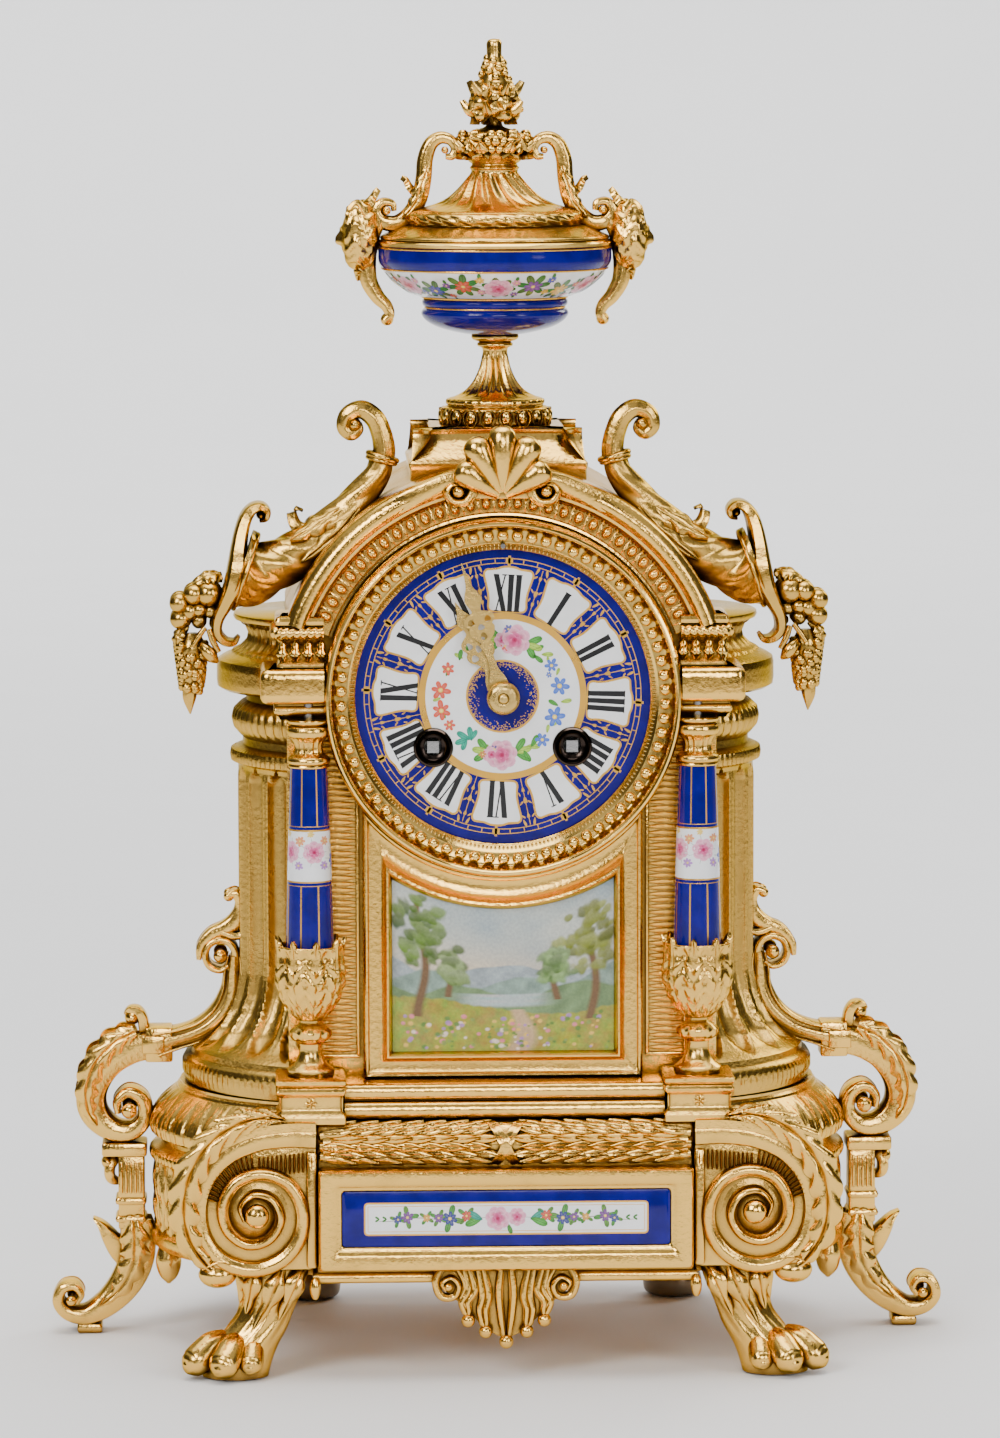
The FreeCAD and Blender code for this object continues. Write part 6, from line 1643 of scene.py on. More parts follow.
@dataclass
class SideScroll:
    """Tall scroll that props the flank of the clock."""

    middle_y: float = MIDDLE_Y
    depth: float = 6.2
    tip: tuple = ((92.6, 117.6, 0.9), (92.0, 121.6, 1.5), (88.9, 125.2, 1.9), (84.7, 127.0, 2.2), (81.3, 129.2, 2.6),
                  (79.6, 132.2, 2.4), (79.6, 135.8, 1.9), (81.1, 138.0, 1.7), (83.3, 137.7, 1.3))
    curl: tuple = ((82.2, 114.0, 2.8), (81.2, 118.9, 1.5), (82.6, 122.3, 1.35), (85.9, 123.7, 1.3), (89.4, 122.2, 1.3),
                   (90.6, 118.9, 1.25), (89.3, 115.5, 1.2), (86.0, 114.2, 1.1), (83.5, 115.8, 0.9))
    band: tuple = ((81.7, 118.6, 2.6), (82.0, 113.4, 3.7), (82.3, 107.6, 4.1), (84.5, 102.0, 4.2), (88.3, 97.7, 4.0),
                   (93.2, 94.7, 3.8), (98.8, 92.9, 3.8), (103.8, 91.6, 4.4), (107.6, 90.6, 4.9))
    arm: tuple = ((107.0, 90.8, 4.6), (110.4, 90.2, 4.8), (114.8, 88.6, 4.6), (120.0, 85.6, 4.8), (124.2, 81.0, 5.0),
                  (126.3, 75.8, 4.9), (126.0, 70.6, 4.7), (123.2, 66.4, 4.2), (118.5, 63.6, 3.6), (113.2, 64.0, 3.1),
                  (109.8, 68.2, 2.7), (110.6, 73.8, 2.4), (114.8, 76.2, 2.0), (118.3, 73.4, 1.6), (118.1, 69.6, 1.2))
    foot: tuple = ((112.4, 36.0, 5.0), (112.4, 32.6, 6.2), (112.2, 25.5, 6.2), (114.2, 19.1, 5.8), (118.1, 12.9, 4.9),
                   (123.4, 8.0, 3.9), (129.0, 5.4, 3.0), (134.3, 6.4, 2.5), (137.2, 10.0, 2.1), (135.8, 14.1, 1.8),
                   (132.2, 14.9, 1.6), (130.2, 12.4, 1.4), (131.6, 9.8, 1.1))

    def build_half(self) -> Mould:
        """The right scroll: its bars, and its carving on the front and the back.

        Returns:
            The shell of one scroll.
        """
        front = Mould()
        y = self.middle_y - self.depth
        for table, rise in ((self.tip, 0.8), (self.curl, 1.3), (self.arm, 1.6), (self.foot, 1.4)):
            front.ridge([(a, b, 0.86 * w, 0.7 * rise + 0.5 * rise * k / len(table)) for k,
                         (a, b, w) in enumerate(table)], y + 1.2, 150, 0.8)
        rows = flow(self.band, 60)
        way = unit(np.gradient(rows[:, :2], axis=0))
        for share, width, rise in ((0.0, 0.36, 0.55), (0.72, 0.11, 0.75), (-0.72, 0.11, 0.75)):
            front.ridge([(a - share * w * v, b + share * w * u, width * w, rise) for (a, b, w),
                         (u, v) in zip(rows[::4], way[::4])], y + 0.4, 80, 0.8)
        front.ball((85.9, y + 0.4, 118.9), 2.2, 18)
        front.ball((83.2, y + 2.0, 137.3), 1.6, 14)
        front.ball((114.6, y - 0.4, 70.6), 2.5, 18)
        front.ball((133.2, y + 0.2, 10.6), 1.7, 14)
        front.leaf([(112.6, y - 0.2, 95.4, 2.2), (118.6, y - 0.8, 92.2, 3.8), (124.6, y - 0.9, 86.0, 4.3),
                    (127.6, y - 0.9, 78.0, 4.0), (127.2, y - 0.6, 70.8, 2.6), (124.6, y - 0.2, 66.0, 0.5)], lobes=6,
                   rise=1.1, thick=1.0, along=70)
        front.leaf([(113.4, y + 0.4, 37.4, 3.8), (113.0, y - 0.6, 30.0, 5.0), (113.6, y - 0.8, 22.4, 4.6),
                    (117.8, y - 0.4, 14.6, 3.2), (124.6, y + 0.4, 8.6, 0.4)], lobes=5, rise=1.1, thick=1.0, along=60)
        front.ridge([(85.6, 126.4, 1.2, 1.2), (81.8, 125.0, 1.3, 1.6), (79.2, 125.4, 1.2, 1.8),
                     (78.6, 127.2, 0.8, 1.6)], y + 1.6, 30, 2.0)
        shell = front.faced_both(self.middle_y)
        for table, deep in ((self.tip, 0.72), (self.curl, 0.92), (self.band, 1.06), (self.arm, 1.0), (self.foot, 1.0)):
            shell.scroll(table, self.middle_y, self.depth * deep - 0.8, 0.04, 130, 24)
        shell.brick((101.0, self.middle_y - 6.0, 85.6), (109.4, self.middle_y + 6.0, 96.4), 0.6)
        shell.brick((103.4, self.middle_y - 6.6, 88.4), (110.4, self.middle_y + 6.6, 94.0), 0.5)
        shell.scroll([(109.0, 91.5, 2.0), (109.8, 95.4, 1.9), (110.3, 98.8, 1.7), (111.8, 101.2, 1.5),
                      (114.2, 101.6, 1.2), (115.8, 100.2, 0.9)], self.middle_y, 4.2, 0.1, 40, 18)
        shell.ball((113.4, self.middle_y, 99.2), 2.5, 18, (1, 1.9, 1))
        m = self.middle_y
        shell.brick((109.2, m - 7.0, 56.0), (123.2, m + 7.0, 60.4), 0.8)
        shell.brick((110.0, m - 5.6, 33.0), (118.2, m + 5.6, 56.6), 0.6)
        for low, high in ((40.6, 43.2), (35.0, 37.4)):
            shell.brick((109.4, m - 6.4, low), (119.2, m + 6.4, high), 1.1)
        for k in range(5):
            shell.brick((111.0 + 1.45 * k, m - 6.2, 44.4), (111.8 + 1.45 * k, m + 6.2, 54.4), 0.35)
        shell.scroll([(118.0, 47.0, 1.2), (120.6, 48.6, 1.6), (120.8, 52.0, 1.8), (118.6, 55.4, 2.0)], m, 4.6, 0.1, 24,
                     14)
        shell.ball((121.4, m, 53.6), 2.2, 14, (1, 2.0, 1))
        shell.scroll([(113.8, 20.6, 4.2), (117.8, 25.2, 3.6), (121.0, 29.8, 2.6), (123.6, 33.6, 1.5),
                      (126.2, 36.0, 0.5)], m, 4.4, 0.1, 34, 16)
        shell.rod([(102.6, -3.4, 36.0, 1.2), (102.6, -4.6, 33.0, 2.0), (102.6, -5.0, 29.6, 3.0),
                   (102.6, -5.0, 24.8, 4.0), (102.6, -5.0, 20.4, 2.9), (102.6, -5.0, 17.8, 0.5)], 34, 24)
        shell.brick((123.6, m - 5.6, 0.0), (131.4, m + 5.6, 3.2), 0.9)
        return shell

    def build(self) -> list[Object]:
        """Builds both side scrolls.

        Returns:
            The right and the left scroll.
        """
        right = self.build_half()
        left = right.flipped()
        return [right.build("right_side_scroll_dressed", GILT, instead=["right_side_scroll"]),
                left.build("left_side_scroll_dressed", GILT, instead=["left_side_scroll"])]


# --------------------------------------------------------------------------- the front of the case
@dataclass
class CaseFront:
    """Front plate with its arch, cornices, pedestals and ribbed panels."""

    dial_z: float = DIAL_Z
    half_width: float = 65.0
    arch_r: float = 69.0
    egg_r: float = 58.3
    egg_pitch: float = 4.75
    egg_sweep: float = 140.0
    arch_sweep: float = 71.0
    ground_sweep: float = 70.6
    pedestal_low: tuple = (48, -67)
    pedestal_high: tuple = (69, -44.2)
    rib_count: int = 51
    rib_pitch: float = 1.88
    rib_x: float = 49.7
    cornice_inner: float = 53.8

    def arch(self, section: Sequence[Sequence[float]], reach: float) -> Array:
        """Carries a section round the dial.

        Args:
            section: Closed loop of radius and y.
            reach: Angle in degrees to each side of straight up.

        Returns:
            Points by row and column.
        """
        angles = np.radians(np.linspace(-reach, reach, 150))
        return np.array([[(r * math.sin(a), y, self.dial_z + r * math.cos(a)) for r, y in section] for a in angles])

    def build_plate(self) -> Object:
        """The front plate, the pedestals, the sill and the arch.

        Returns:
            The piece that stands for the facade.
        """
        shell = Mould()
        spring = math.degrees(math.asin(self.half_width / self.arch_r))
        outline = np.vstack([[(-self.half_width, 80.0), (self.half_width, 80.0)],
                             arc((0, self.dial_z), self.arch_r, spring, -spring, 90)])
        window = np.array([(-32.0, 99.0), (32.0, 99.0), (32.0, 138.0), (-32.0, 138.0)])
        shell.pierced(outline, [round_outline((0, self.dial_z), 52.0, 96), window], -44.0, -38.0)
        base = rounded_box(self.pedestal_low, self.pedestal_high, 0.8, 4)
        profile = [(-1.0, 77.3), (-0.1, 77.9), (0, 78.6), (0, 79.8), (-0.7, 80.6), (-1.5, 81.6), (-1.6, 82.4),
                   (-1.6, 85.4), (-1.2, 86.2), (-0.2, 87.0), (0.1, 87.8), (-0.2, 88.6), (-0.8, 89.0), (-0.4, 89.3),
                   (0.1, 89.9), (0.1, 90.9), (-0.6, 91.4)]
        both = Mould()
        both.pier(base, profile)
        both.flower((58.5, -65.4, 83.9), (0, -1, 0), 1.9, 6, 0.35)
        shell.join(both.mirrored_both())
        half_rounds = [(-14, 77.6), (-1.0, 77.6)]
        for low, high, out in ((77.8, 83.6, 3.0), (83.8, 88.8, 2.3)):
            turn = np.linspace(-math.pi / 2, math.pi / 2, 12)
            half_rounds += [(out * math.cos(a) ** 0.8 if math.cos(a) > 0 else 0.0,
                             (low + high) / 2 + (high - low) / 2 * math.sin(a))
                            for a in turn]
        half_rounds += [(-14, 89.0)]
        shell.run(np.array([(-48.3, -58.0), (48.3, -58.0)]), half_rounds)
        band = [(69.0, -44.0), (69.0, -50.0), (68.8, -51.6), (68.0, -52.9), (66.6, -53.8), (65.2, -54.1),
                (63.9, -53.6), (63.0, -52.6), (62.6, -51.8), (61.8, -51.6), (61.4, -51.0), (61.2, -49.4),
                (60.6, -48.9), (54.2, -48.9), (54.2, -44.0)]
        shell.grid(self.arch(band, self.arch_sweep))
        for side in (-1, 1):
            for x in (43.9, 55.6):
                shell.brick((side * x - 0.5, -45.0, 95.0), (side * x + 0.5, -44.0, 192.0), 0.25)
            shell.brick((min(side * 43.4, side * 56.0), -45.0, 94.6), (max(side * 43.4, side * 56.0), -44.0, 95.6),
                        0.25)
        return shell.build("front_plate", GILT, instead=["facade"])

    def build_ribs(self) -> list[Object]:
        """Ribbed panels beside the picture.

        Returns:
            The ribs of the right and of the left panel.
        """
        motif = Shell()
        motif.ball((0, 0, 0), 1.0, 8, (5.5, 0.55, 0.78))
        return [Repeat.run(f"panel_ribs_{label}", "row", motif, GILT_MATT, {
            "Used": self.rib_count, "Step": (0, 0, self.rib_pitch * MM),
            "Place": (side * self.rib_x * MM, -44.2 * MM, 97.0 * MM)})
            for side, label in SIDES]

    def build_eggs(self) -> list[Object]:
        """Egg and dart round the arch, on its own moulded ground.

        Returns:
            The ground and the ring on it.
        """
        egg = Shell()
        egg.ball((0, 0, 0.1), 1.0, 12, (1.45, 1.7, 1.95))
        turn = np.radians(np.linspace(-150, 150, 15))
        cup = np.column_stack([1.95 * np.sin(turn), np.full(15, -0.1), 0.2 - 2.5 * np.cos(turn)])
        out = unit(np.column_stack([np.sin(turn), 0 * turn, -np.cos(turn)]))
        ring = once_round(6)
        egg.sweep(cup, out, FRONT, np.column_stack([0.34 * np.cos(ring), 0.9 * np.sin(ring)]))
        egg.leaf([(2.38, -0.2, 2.4, 0.5), (2.38, -1.1, 0.2, 0.8), (2.38, -0.5, -2.6, 0.2)], lobes=0.001, rise=0.6,
                 thick=0.6, along=7, across=5)
        count = round(2 * math.pi * self.egg_r / self.egg_pitch)
        used = int(count * self.egg_sweep / 360)
        ground = Shell()
        level = [(61.6, -48.6), (61.4, -50.4), (61.0, -50.9), (60.6, -50.3), (60.3, -49.9), (55.6, -49.9),
                 (55.2, -50.5), (54.6, -50.6), (54.3, -48.6)]
        ground.grid(self.arch(level, self.ground_sweep))
        return [ground.build("arch_ground", GILT_OPEN), Repeat.run("arch_eggs", "ring", egg, GILT_OPEN, {
            "Count": count, "Used": used, "Phase": -(used - 1) / 2, "Radius": self.egg_r * MM,
            "Place": (0, -49.9 * MM, self.dial_z * MM)})]

    def build_cornice(self) -> list[Object]:
        """The cornices on both sides of the dial.

        Returns:
            The mouldings and the leaves of the frieze.
        """
        shell = Mould()
        def path(half: float, front: float, cut: float) -> Array:
            """Plan of one course, rounded at its corner."""
            return soften([(self.cornice_inner, front), (half, front), (half, -30.0)], cut, 6)

        shell.run(path(69, -58, 0.8), [(-18, 199.4), (-2.0, 199.4), (-1.7, 200.2), (-0.9, 200.7), (-0.2, 201.4),
                                       (0, 202.2), (-0.3, 203.0), (-1.1, 203.5), (-1.1, 204.2), (-18, 204.2)])
        shell.run(path(73, -60, 3.0), [(-22, 204.2), (-1.8, 204.2), (-0.7, 204.7), (-0.1, 205.8), (0, 207.2),
                                       (0, 211.4), (-0.1, 212.9), (-0.7, 214.0), (-1.8, 214.5), (-22, 214.5)])
        shell.run(path(66.5, -50, 0.6), [(-12, 214.5), (1.4, 214.5), (1.0, 215.3), (-0.2, 216.2), (-0.9, 217.8),
                                         (-0.9, 219.4), (-0.2, 221.2), (1.0, 222.4), (1.6, 223.0), (-12, 223.0)])
        shell.run(path(68.5, -53, 1.6), [(-14, 226.9), (-1.2, 226.9), (-0.4, 227.4), (0, 228.5), (-0.4, 229.5),
                                         (-1.4, 230.0), (-14, 230.0)])
        shell.run(path(66.8, -51.3, 0.6), [(-12, 223.0), (0, 223.0), (0, 227.0), (-12, 227.0)])
        course = path(68.0, -52.4, 1.4)
        steps = spread_out(course, 0.35, closed=False)
        shell.rope(np.column_stack([steps, np.full(len(steps), 224.95)]), 1.95, 9.0, 2)
        done = [shell.mirrored_both().build("cornice", GILT)]
        leaf = Shell()
        leaf.leaf([(0, 0, 0, 1.1), (0, -0.9, 3.0, 1.75), (0, -0.4, 6.0, 1.2), (0, -1.0, 7.2, 0.2)], lobes=2.5,
                  rise=0.7, thick=0.5, along=18, across=9)
        for side, label in SIDES:
            done.append(Repeat.run(f"frieze_front_{label}", "row", leaf, GILT_BRIGHT, {
                "Used": 4, "Step": (side * 3.9 * MM, 0, 0), "Place": (side * 54.6 * MM, -49.8 * MM, 215.4 * MM)}))
            done.append(Repeat.run(f"frieze_side_{label}", "row", leaf, GILT_BRIGHT, {
                "Used": 5, "Step": (4.0 * MM, 0, 0), "Lay": (0, 0, side * math.pi / 2),
                "Place": (side * 66.3 * MM, (-48.2 if side > 0 else -32.2) * MM, 215.4 * MM)}))
        return done

    def build(self) -> list[Object]:
        """Builds the whole front of the case."""
        return [self.build_plate(), *self.build_ribs(), *self.build_eggs(), *self.build_cornice()]


@dataclass
class Tower:
    """Fluted quarter drum on each flank of the case."""

    centre_x: float = 40.0
    centre_y: float = MIDDLE_Y
    flank_x: float = 65.0
    flute_pitch: float = 15.0
    flute_depth: float = 3.4
    leaf_pitch: float = 7.2
    profile: tuple = ((55.0, 80.0), (57.2, 80.6), (57.6, 82.4), (57.6, 87.2), (57.0, 88.2), (55.4, 89.0), (55.2, 90.8),
                      (54.4, 91.4), (50.6, 93.6), (46.6, 97.0), (43.4, 102), (41.3, 108), (40.2, 114), (40, 120),
                      (40, 150), (40, 178.6), (40.6, 179.4), (41.7, 180.0), (42.0, 181.8), (41.7, 183.6),
                      (40.4, 184.4), (38.6, 185.0), (38.4, 187.2), (39.4, 188.2), (40.9, 190.4), (41.4, 193.1),
                      (40.9, 195.8), (39.0, 198.0), (37.4, 198.8), (37.2, 201.0), (40.0, 201.8), (44.6, 202.2),
                      (46.2, 203.2), (46.4, 205.0), (46.4, 209.8), (46.0, 211.4), (44.4, 212.4), (41.8, 213.6),
                      (38.4, 215.2), (36.2, 217.4), (35.8, 219.4), (36.8, 221.8), (39.2, 223.2), (40.8, 223.8),
                      (41.2, 224.6), (41.0, 225.6), (40.2, 226.0))

    def carve(self, angle: Array, z: Array) -> Array:
        """Flutes, gadroons and leaves of the drum.

        Args:
            angle: Angle about the drum in degrees.
            z: Height.

        Returns:
            Extra radius.
        """
        u = (angle / self.flute_pitch + 0.5) % 1 - 0.5
        tall = np.clip((z - 92.4) / 4.0, 0, 1) * np.clip((177.8 - z) / 3.0, 0, 1)
        wide = 0.37 * np.sqrt(np.clip(tall, 0, 1))
        flute = -self.flute_depth * np.sqrt(np.clip(1 - (u / np.maximum(wide, 1e-3)) ** 2, 0, 1)) * (tall > 0)
        flute = flute + 0.35 * np.exp(-(((np.abs(u) - 0.43) / 0.035) ** 2)) * tall
        bead = 0.5 * bump(angle / 3.0) * ((z > 179.6) & (z < 184))
        gad = 1.0 * (bump(angle / 5.2, 0.6) - 0.45) * np.exp(-(((z - 193.1) / 4.2) ** 4))
        v = (angle / self.leaf_pitch + 0.5) % 1 - 0.5
        s = np.clip((z - 214) / 9.2, 0, 1)
        inside = (z > 214) & (z < 223.2)
        cove = 0.9 * np.clip(1 - (v / (0.42 - 0.16 * s)) ** 4, 0,
                             1) * inside - 0.5 * np.exp(-((v / 0.07) ** 2)) * inside
        foot = 0.5 * bump(angle / 2.6) * ((z > 82.6) & (z < 86.9))
        return flute + bead + gad + cove + foot

    def build(self) -> list[Object]:
        """Builds both towers.

        Returns:
            The right and the left tower.
        """
        table = np.array(self.profile)
        fine = [table[0]]
        for a, b in zip(table[:-1], table[1:]):
            count = max(1, int(np.linalg.norm(b - a) / 0.95))
            fine += [a + (b - a) * k / count for k in range(1, count + 1)]
        rows = []
        for r, z in fine:
            widest = math.acos((self.flank_x - self.centre_x) / r)
            a = np.linspace(-widest, widest, 190)
            edge = np.clip((widest - np.abs(a)) * r / 1.2, 0, 1)
            reach = r + self.carve(np.degrees(a), np.full_like(a, z)) * edge
            rows.append(np.column_stack([self.centre_x + reach * np.cos(a), self.centre_y + reach * np.sin(a),
                                         np.full_like(a, z)]))
        right = Mould()
        right.grid(np.array(rows))
        left = right.flipped()
        return [right.build("right_tower_dressed", GILT_SHADED, instead=["right_tower"]),
                left.build("left_tower_dressed", GILT_SHADED, instead=["left_tower"])]


@dataclass
class PicturePanel:
    """Painted porcelain panel under the dial, in its frame."""

    dial_z: float = DIAL_Z
    outer_half: float = 42.3
    inner_half: float = 33.6
    bottom_z: float = 97.0
    outer_r: float = 54.4
    inner_r: float = 65.0
    face_y: float = -49.0

    def outline(self, half: float, bottom: float, radius: float, count: int = 48) -> Array:
        """Outline with a hollow top that follows the dial.

        Args:
            half: Half of its width.
            bottom: Height of its lower edge.
            radius: Radius of its hollow top, about the dial.
            count: Points along each side.

        Returns:
            The outline, anticlockwise.
        """
        side = self.dial_z - math.sqrt(radius**2 - half**2)
        x = np.linspace(half, -half, count)
        top = np.column_stack([x, self.dial_z - np.sqrt(radius**2 - x**2)])
        low = np.column_stack([np.linspace(-half, half, count), np.full(count, bottom)])
        up = np.column_stack([np.full(count, half), np.linspace(bottom, side, count)])
        down = up[::-1] * np.array([-1, 1])
        return np.vstack([low[:-1], up[:-1], top[:-1], down[:-1]])

    def build_frame(self) -> list[Object]:
        """The broad moulded frame.

        Returns:
            The piece that stands for the frame.
        """
        outer = self.outline(self.outer_half, 89.0, self.outer_r)
        inner = self.outline(self.inner_half, self.bottom_z, self.inner_r)
        section = [(0, -44.2), (0, -48.6), (0.03, -49.6), (0.09, -50.1), (0.15, -49.9), (0.19, -49.3), (0.24, -49.1),
                   (0.62, -49.3), (0.70, -49.9), (0.76, -51.0), (0.81, -51.8), (0.87, -51.9), (0.93, -51.3),
                   (0.98, -50.0), (1.0, -49.4), (1.0, -44.2)]
        shell = Mould()
        shell.rim(outer, inner, section)
        return [shell.build("picture_frame_dressed", GILT, instead=["picture_frame"])]

    def colour(self, u: Array, v: Array) -> Array:
        """Colours of the landscape.

        Args:
            u: Share across, from 0 to 1.
            v: Share up, from 0 to 1.

        Returns:
            Colours by point.
        """
        rng = np.random.default_rng(5)

        def cloudy(scale: float, octaves: int = 4) -> Array:
            """Smooth random field from -1 to 1.

            Args:
                scale: How fine it is.
                octaves: How many sizes of cloud it adds up.

            Returns:
                The field.
            """
            total = 0 * u
            for k in range(octaves):
                for _ in range(3):
                    a, b, c = rng.uniform(-1, 1, 3)
                    total = total + np.sin(scale * 2**k * (a * u * 1.4 + b * v) * 6 + 7 * c) / 2**k
            return total / 3.2

        mist = cloudy(2.0)
        sky = np.stack([0.42 + 0.26 * (1 - v) + 0.10 * mist, 0.52 + 0.16 * (1 - v) + 0.08 * mist,
                        0.62 - 0.02 * v + 0.04 * mist], -1)
        glow = np.exp(-(((v - 0.52) / 0.16) ** 2) - ((u - 0.36) / 0.4) ** 2)[..., None]
        paint = sky * (1 - 0.5 * glow) + 0.5 * glow * np.array([0.86, 0.66, 0.44])

        def lay(mask: Array, tone: Array) -> None:
            """Paints a tone where the mask is one.

            Args:
                mask: Share of the tone by point.
                tone: Colour, the same all over or by point.
            """
            nonlocal paint
            m = np.clip(mask, 0, 1)[..., None]
            paint = paint * (1 - m) + tone * m

        hills = ((0.56, (0.34, 0.42, 0.50), 3.0), (0.49, (0.24, 0.36, 0.34), 5.0), (0.41, (0.17, 0.28, 0.14), 4.0))
        for base, tone, roll in hills:
            ridge = base + 0.045 * np.sin(roll * 3.1 * u + roll) + 0.02 * cloudy(3.0, 3)
            lay((ridge - v) / 0.012, np.array(tone) * (1 + 0.25 * cloudy(9.0, 2))[..., None])
        bank = 0.30 + 0.05 * np.sin(5 * u + 0.8) + 0.012 * cloudy(8.0, 2)
        lake = np.clip((0.40 - v) / 0.01, 0, 1) * np.clip((v - 0.30) / 0.02, 0, 1) * np.exp(-(((u - 0.50) / 0.19) ** 4))
        lay(lake, np.stack([0.46 + 0.12 * np.sin(150 * v) * mist, 0.56 + 0 * u, 0.62 + 0 * u], -1))
        grass = np.stack([0.20 + 0.14 * (1 - v) + 0.09 * cloudy(14.0, 3),
                          0.27 + 0.10 * (1 - v) + 0.09 * cloudy(12.0, 3), 0.05 + 0.03 * mist], -1)
        lay((bank - v) / 0.012, grass)
        path_line = 0.56 + 0.16 * np.sin(3.4 * v * 3) * (0.4 - v)
        lay(np.clip(1 - np.abs(u - path_line) / (0.03 + 0.16 * np.clip(0.34 - v, 0, 1)), 0, 1) * 1.8 * (v < 0.29),
            np.array([0.58, 0.42, 0.26]) * (1 + 0.2 * mist[..., None]))

        def tree(x: float, foot: float, top: float, spread: float, leaf: Sequence[float], seed: int) -> None:
            """Paints a tree with a trunk and clouds of leaves.

            Args:
                x: Where it stands, across.
                foot: Height of its foot.
                top: Height of its top.
                spread: Half width of its crown.
                leaf: Colour of its leaves.
                seed: Seed of its shape.
            """
            own = np.random.default_rng(seed)
            lean = x + 0.02 * np.sin(9 * v + seed)
            lay(np.clip(1.6 - np.abs(u - lean) / (0.011 + 0.012 * np.clip(top - v, 0, 1)), 0,
                        1) * (v > foot) * (v < top - 0.05), np.array([0.17, 0.10, 0.05]))
            for _ in range(46):
                a, b = own.normal(x, spread * 0.55), own.uniform(foot + 0.42 * (top - foot), top)
                size = own.uniform(0.022, 0.055)
                edge = 0.35 * cloudy(16.0, 1)
                mask = np.clip(2.2 * (1 - np.hypot((u - a) * 1.15, v - b) / size + edge), 0, 0.9)
                shade = own.uniform(0.55, 1.5)
                lay(mask, np.clip(np.array(leaf) * shade + 0.08 * ((v - b) / size)[..., None], 0, 1))

        tree(0.13, 0.22, 0.98, 0.12, (0.13, 0.22, 0.06), 3)
        tree(0.90, 0.20, 0.90, 0.10, (0.20, 0.24, 0.06), 4)
        tree(0.74, 0.34, 0.66, 0.05, (0.18, 0.30, 0.12), 6)
        tree(0.27, 0.36, 0.62, 0.04, (0.22, 0.32, 0.14), 8)
        for _ in range(150):
            a, b = rng.uniform(0.02, 0.98), rng.uniform(0.02, 0.27) ** 1.1
            size = rng.uniform(0.008, 0.019)
            tone = ((0.80, 0.24, 0.34), (0.86, 0.74, 0.72), (0.82, 0.56, 0.12), (0.42, 0.24, 0.60), (0.12, 0.24, 0.05),
                    (0.24, 0.34, 0.08))[rng.integers(0, 6)]
            lay(np.clip(2.4 * (1 - np.hypot((u - a) * 1.15, v - b) / size), 0, 0.95), np.array(tone))
        return np.clip(0.86 * paint * np.array([1.04, 0.98, 0.86]), 0.01, 1)

    def build_picture(self) -> Object:
        """The panel, painted with a wooded landscape.

        Returns:
            The piece that stands for the panel.
        """
        m, n = 190, 220
        u, v = np.meshgrid(np.linspace(0, 1, n), np.linspace(0, 1, m))
        half, bottom = self.inner_half - 0.05, self.bottom_z + 0.05
        x = (2 * u - 1) * half
        top = self.dial_z - np.sqrt((self.inner_r - 0.05) ** 2 - x**2)
        z = bottom + v * (top - bottom)
        front = np.stack([x, np.full_like(x, self.face_y), z], -1)
        back = front + np.array([0, 3.0, 0])
        mesh = bpy.data.meshes.new("porcelain_picture_dressed")
        index = np.arange(m * n).reshape(m, n)
        quads = np.stack([index[:-1, :-1], index[:-1, 1:], index[1:, 1:], index[1:, :-1]], -1).reshape(-1, 4)
        ring = np.concatenate([index[0, :-1], index[:-1, -1], index[-1, ::-1][:-1], index[::-1, 0][:-1]])
        points = np.vstack([front.reshape(-1, 3), back.reshape(-1, 3)[ring], [back.reshape(-1, 3).mean(0)]])
        base = m * n
        count = len(ring)
        k = np.arange(count)
        walls = np.stack([ring, base + k, base + (k + 1) % count, ring[(k + 1) % count]], -1)
        fan = np.stack([base + k, np.full(count, base + count), base + (k + 1) % count], -1)
        faces = [tuple(f) for group in (quads, walls, fan) for f in group.tolist()]
        mesh.from_pydata((points * MM).tolist(), [], faces)
        made = bmesh.new()
        made.from_mesh(mesh)
        bmesh.ops.recalc_face_normals(made, faces=made.faces)
        made.to_mesh(mesh)
        made.free()
        shades = self.colour(u, v).reshape(-1, 3)
        keep_colours(mesh, np.vstack([shades, np.tile([[0.8, 0.8, 0.8]], (count + 1, 1))]))
        return fix("porcelain_picture_dressed", mesh, ENAMEL, Body.CASE, ["porcelain_picture"])

    def build(self) -> list[Object]:
        """Builds the panel and its frame."""
        return [*self.build_frame(), self.build_picture()]


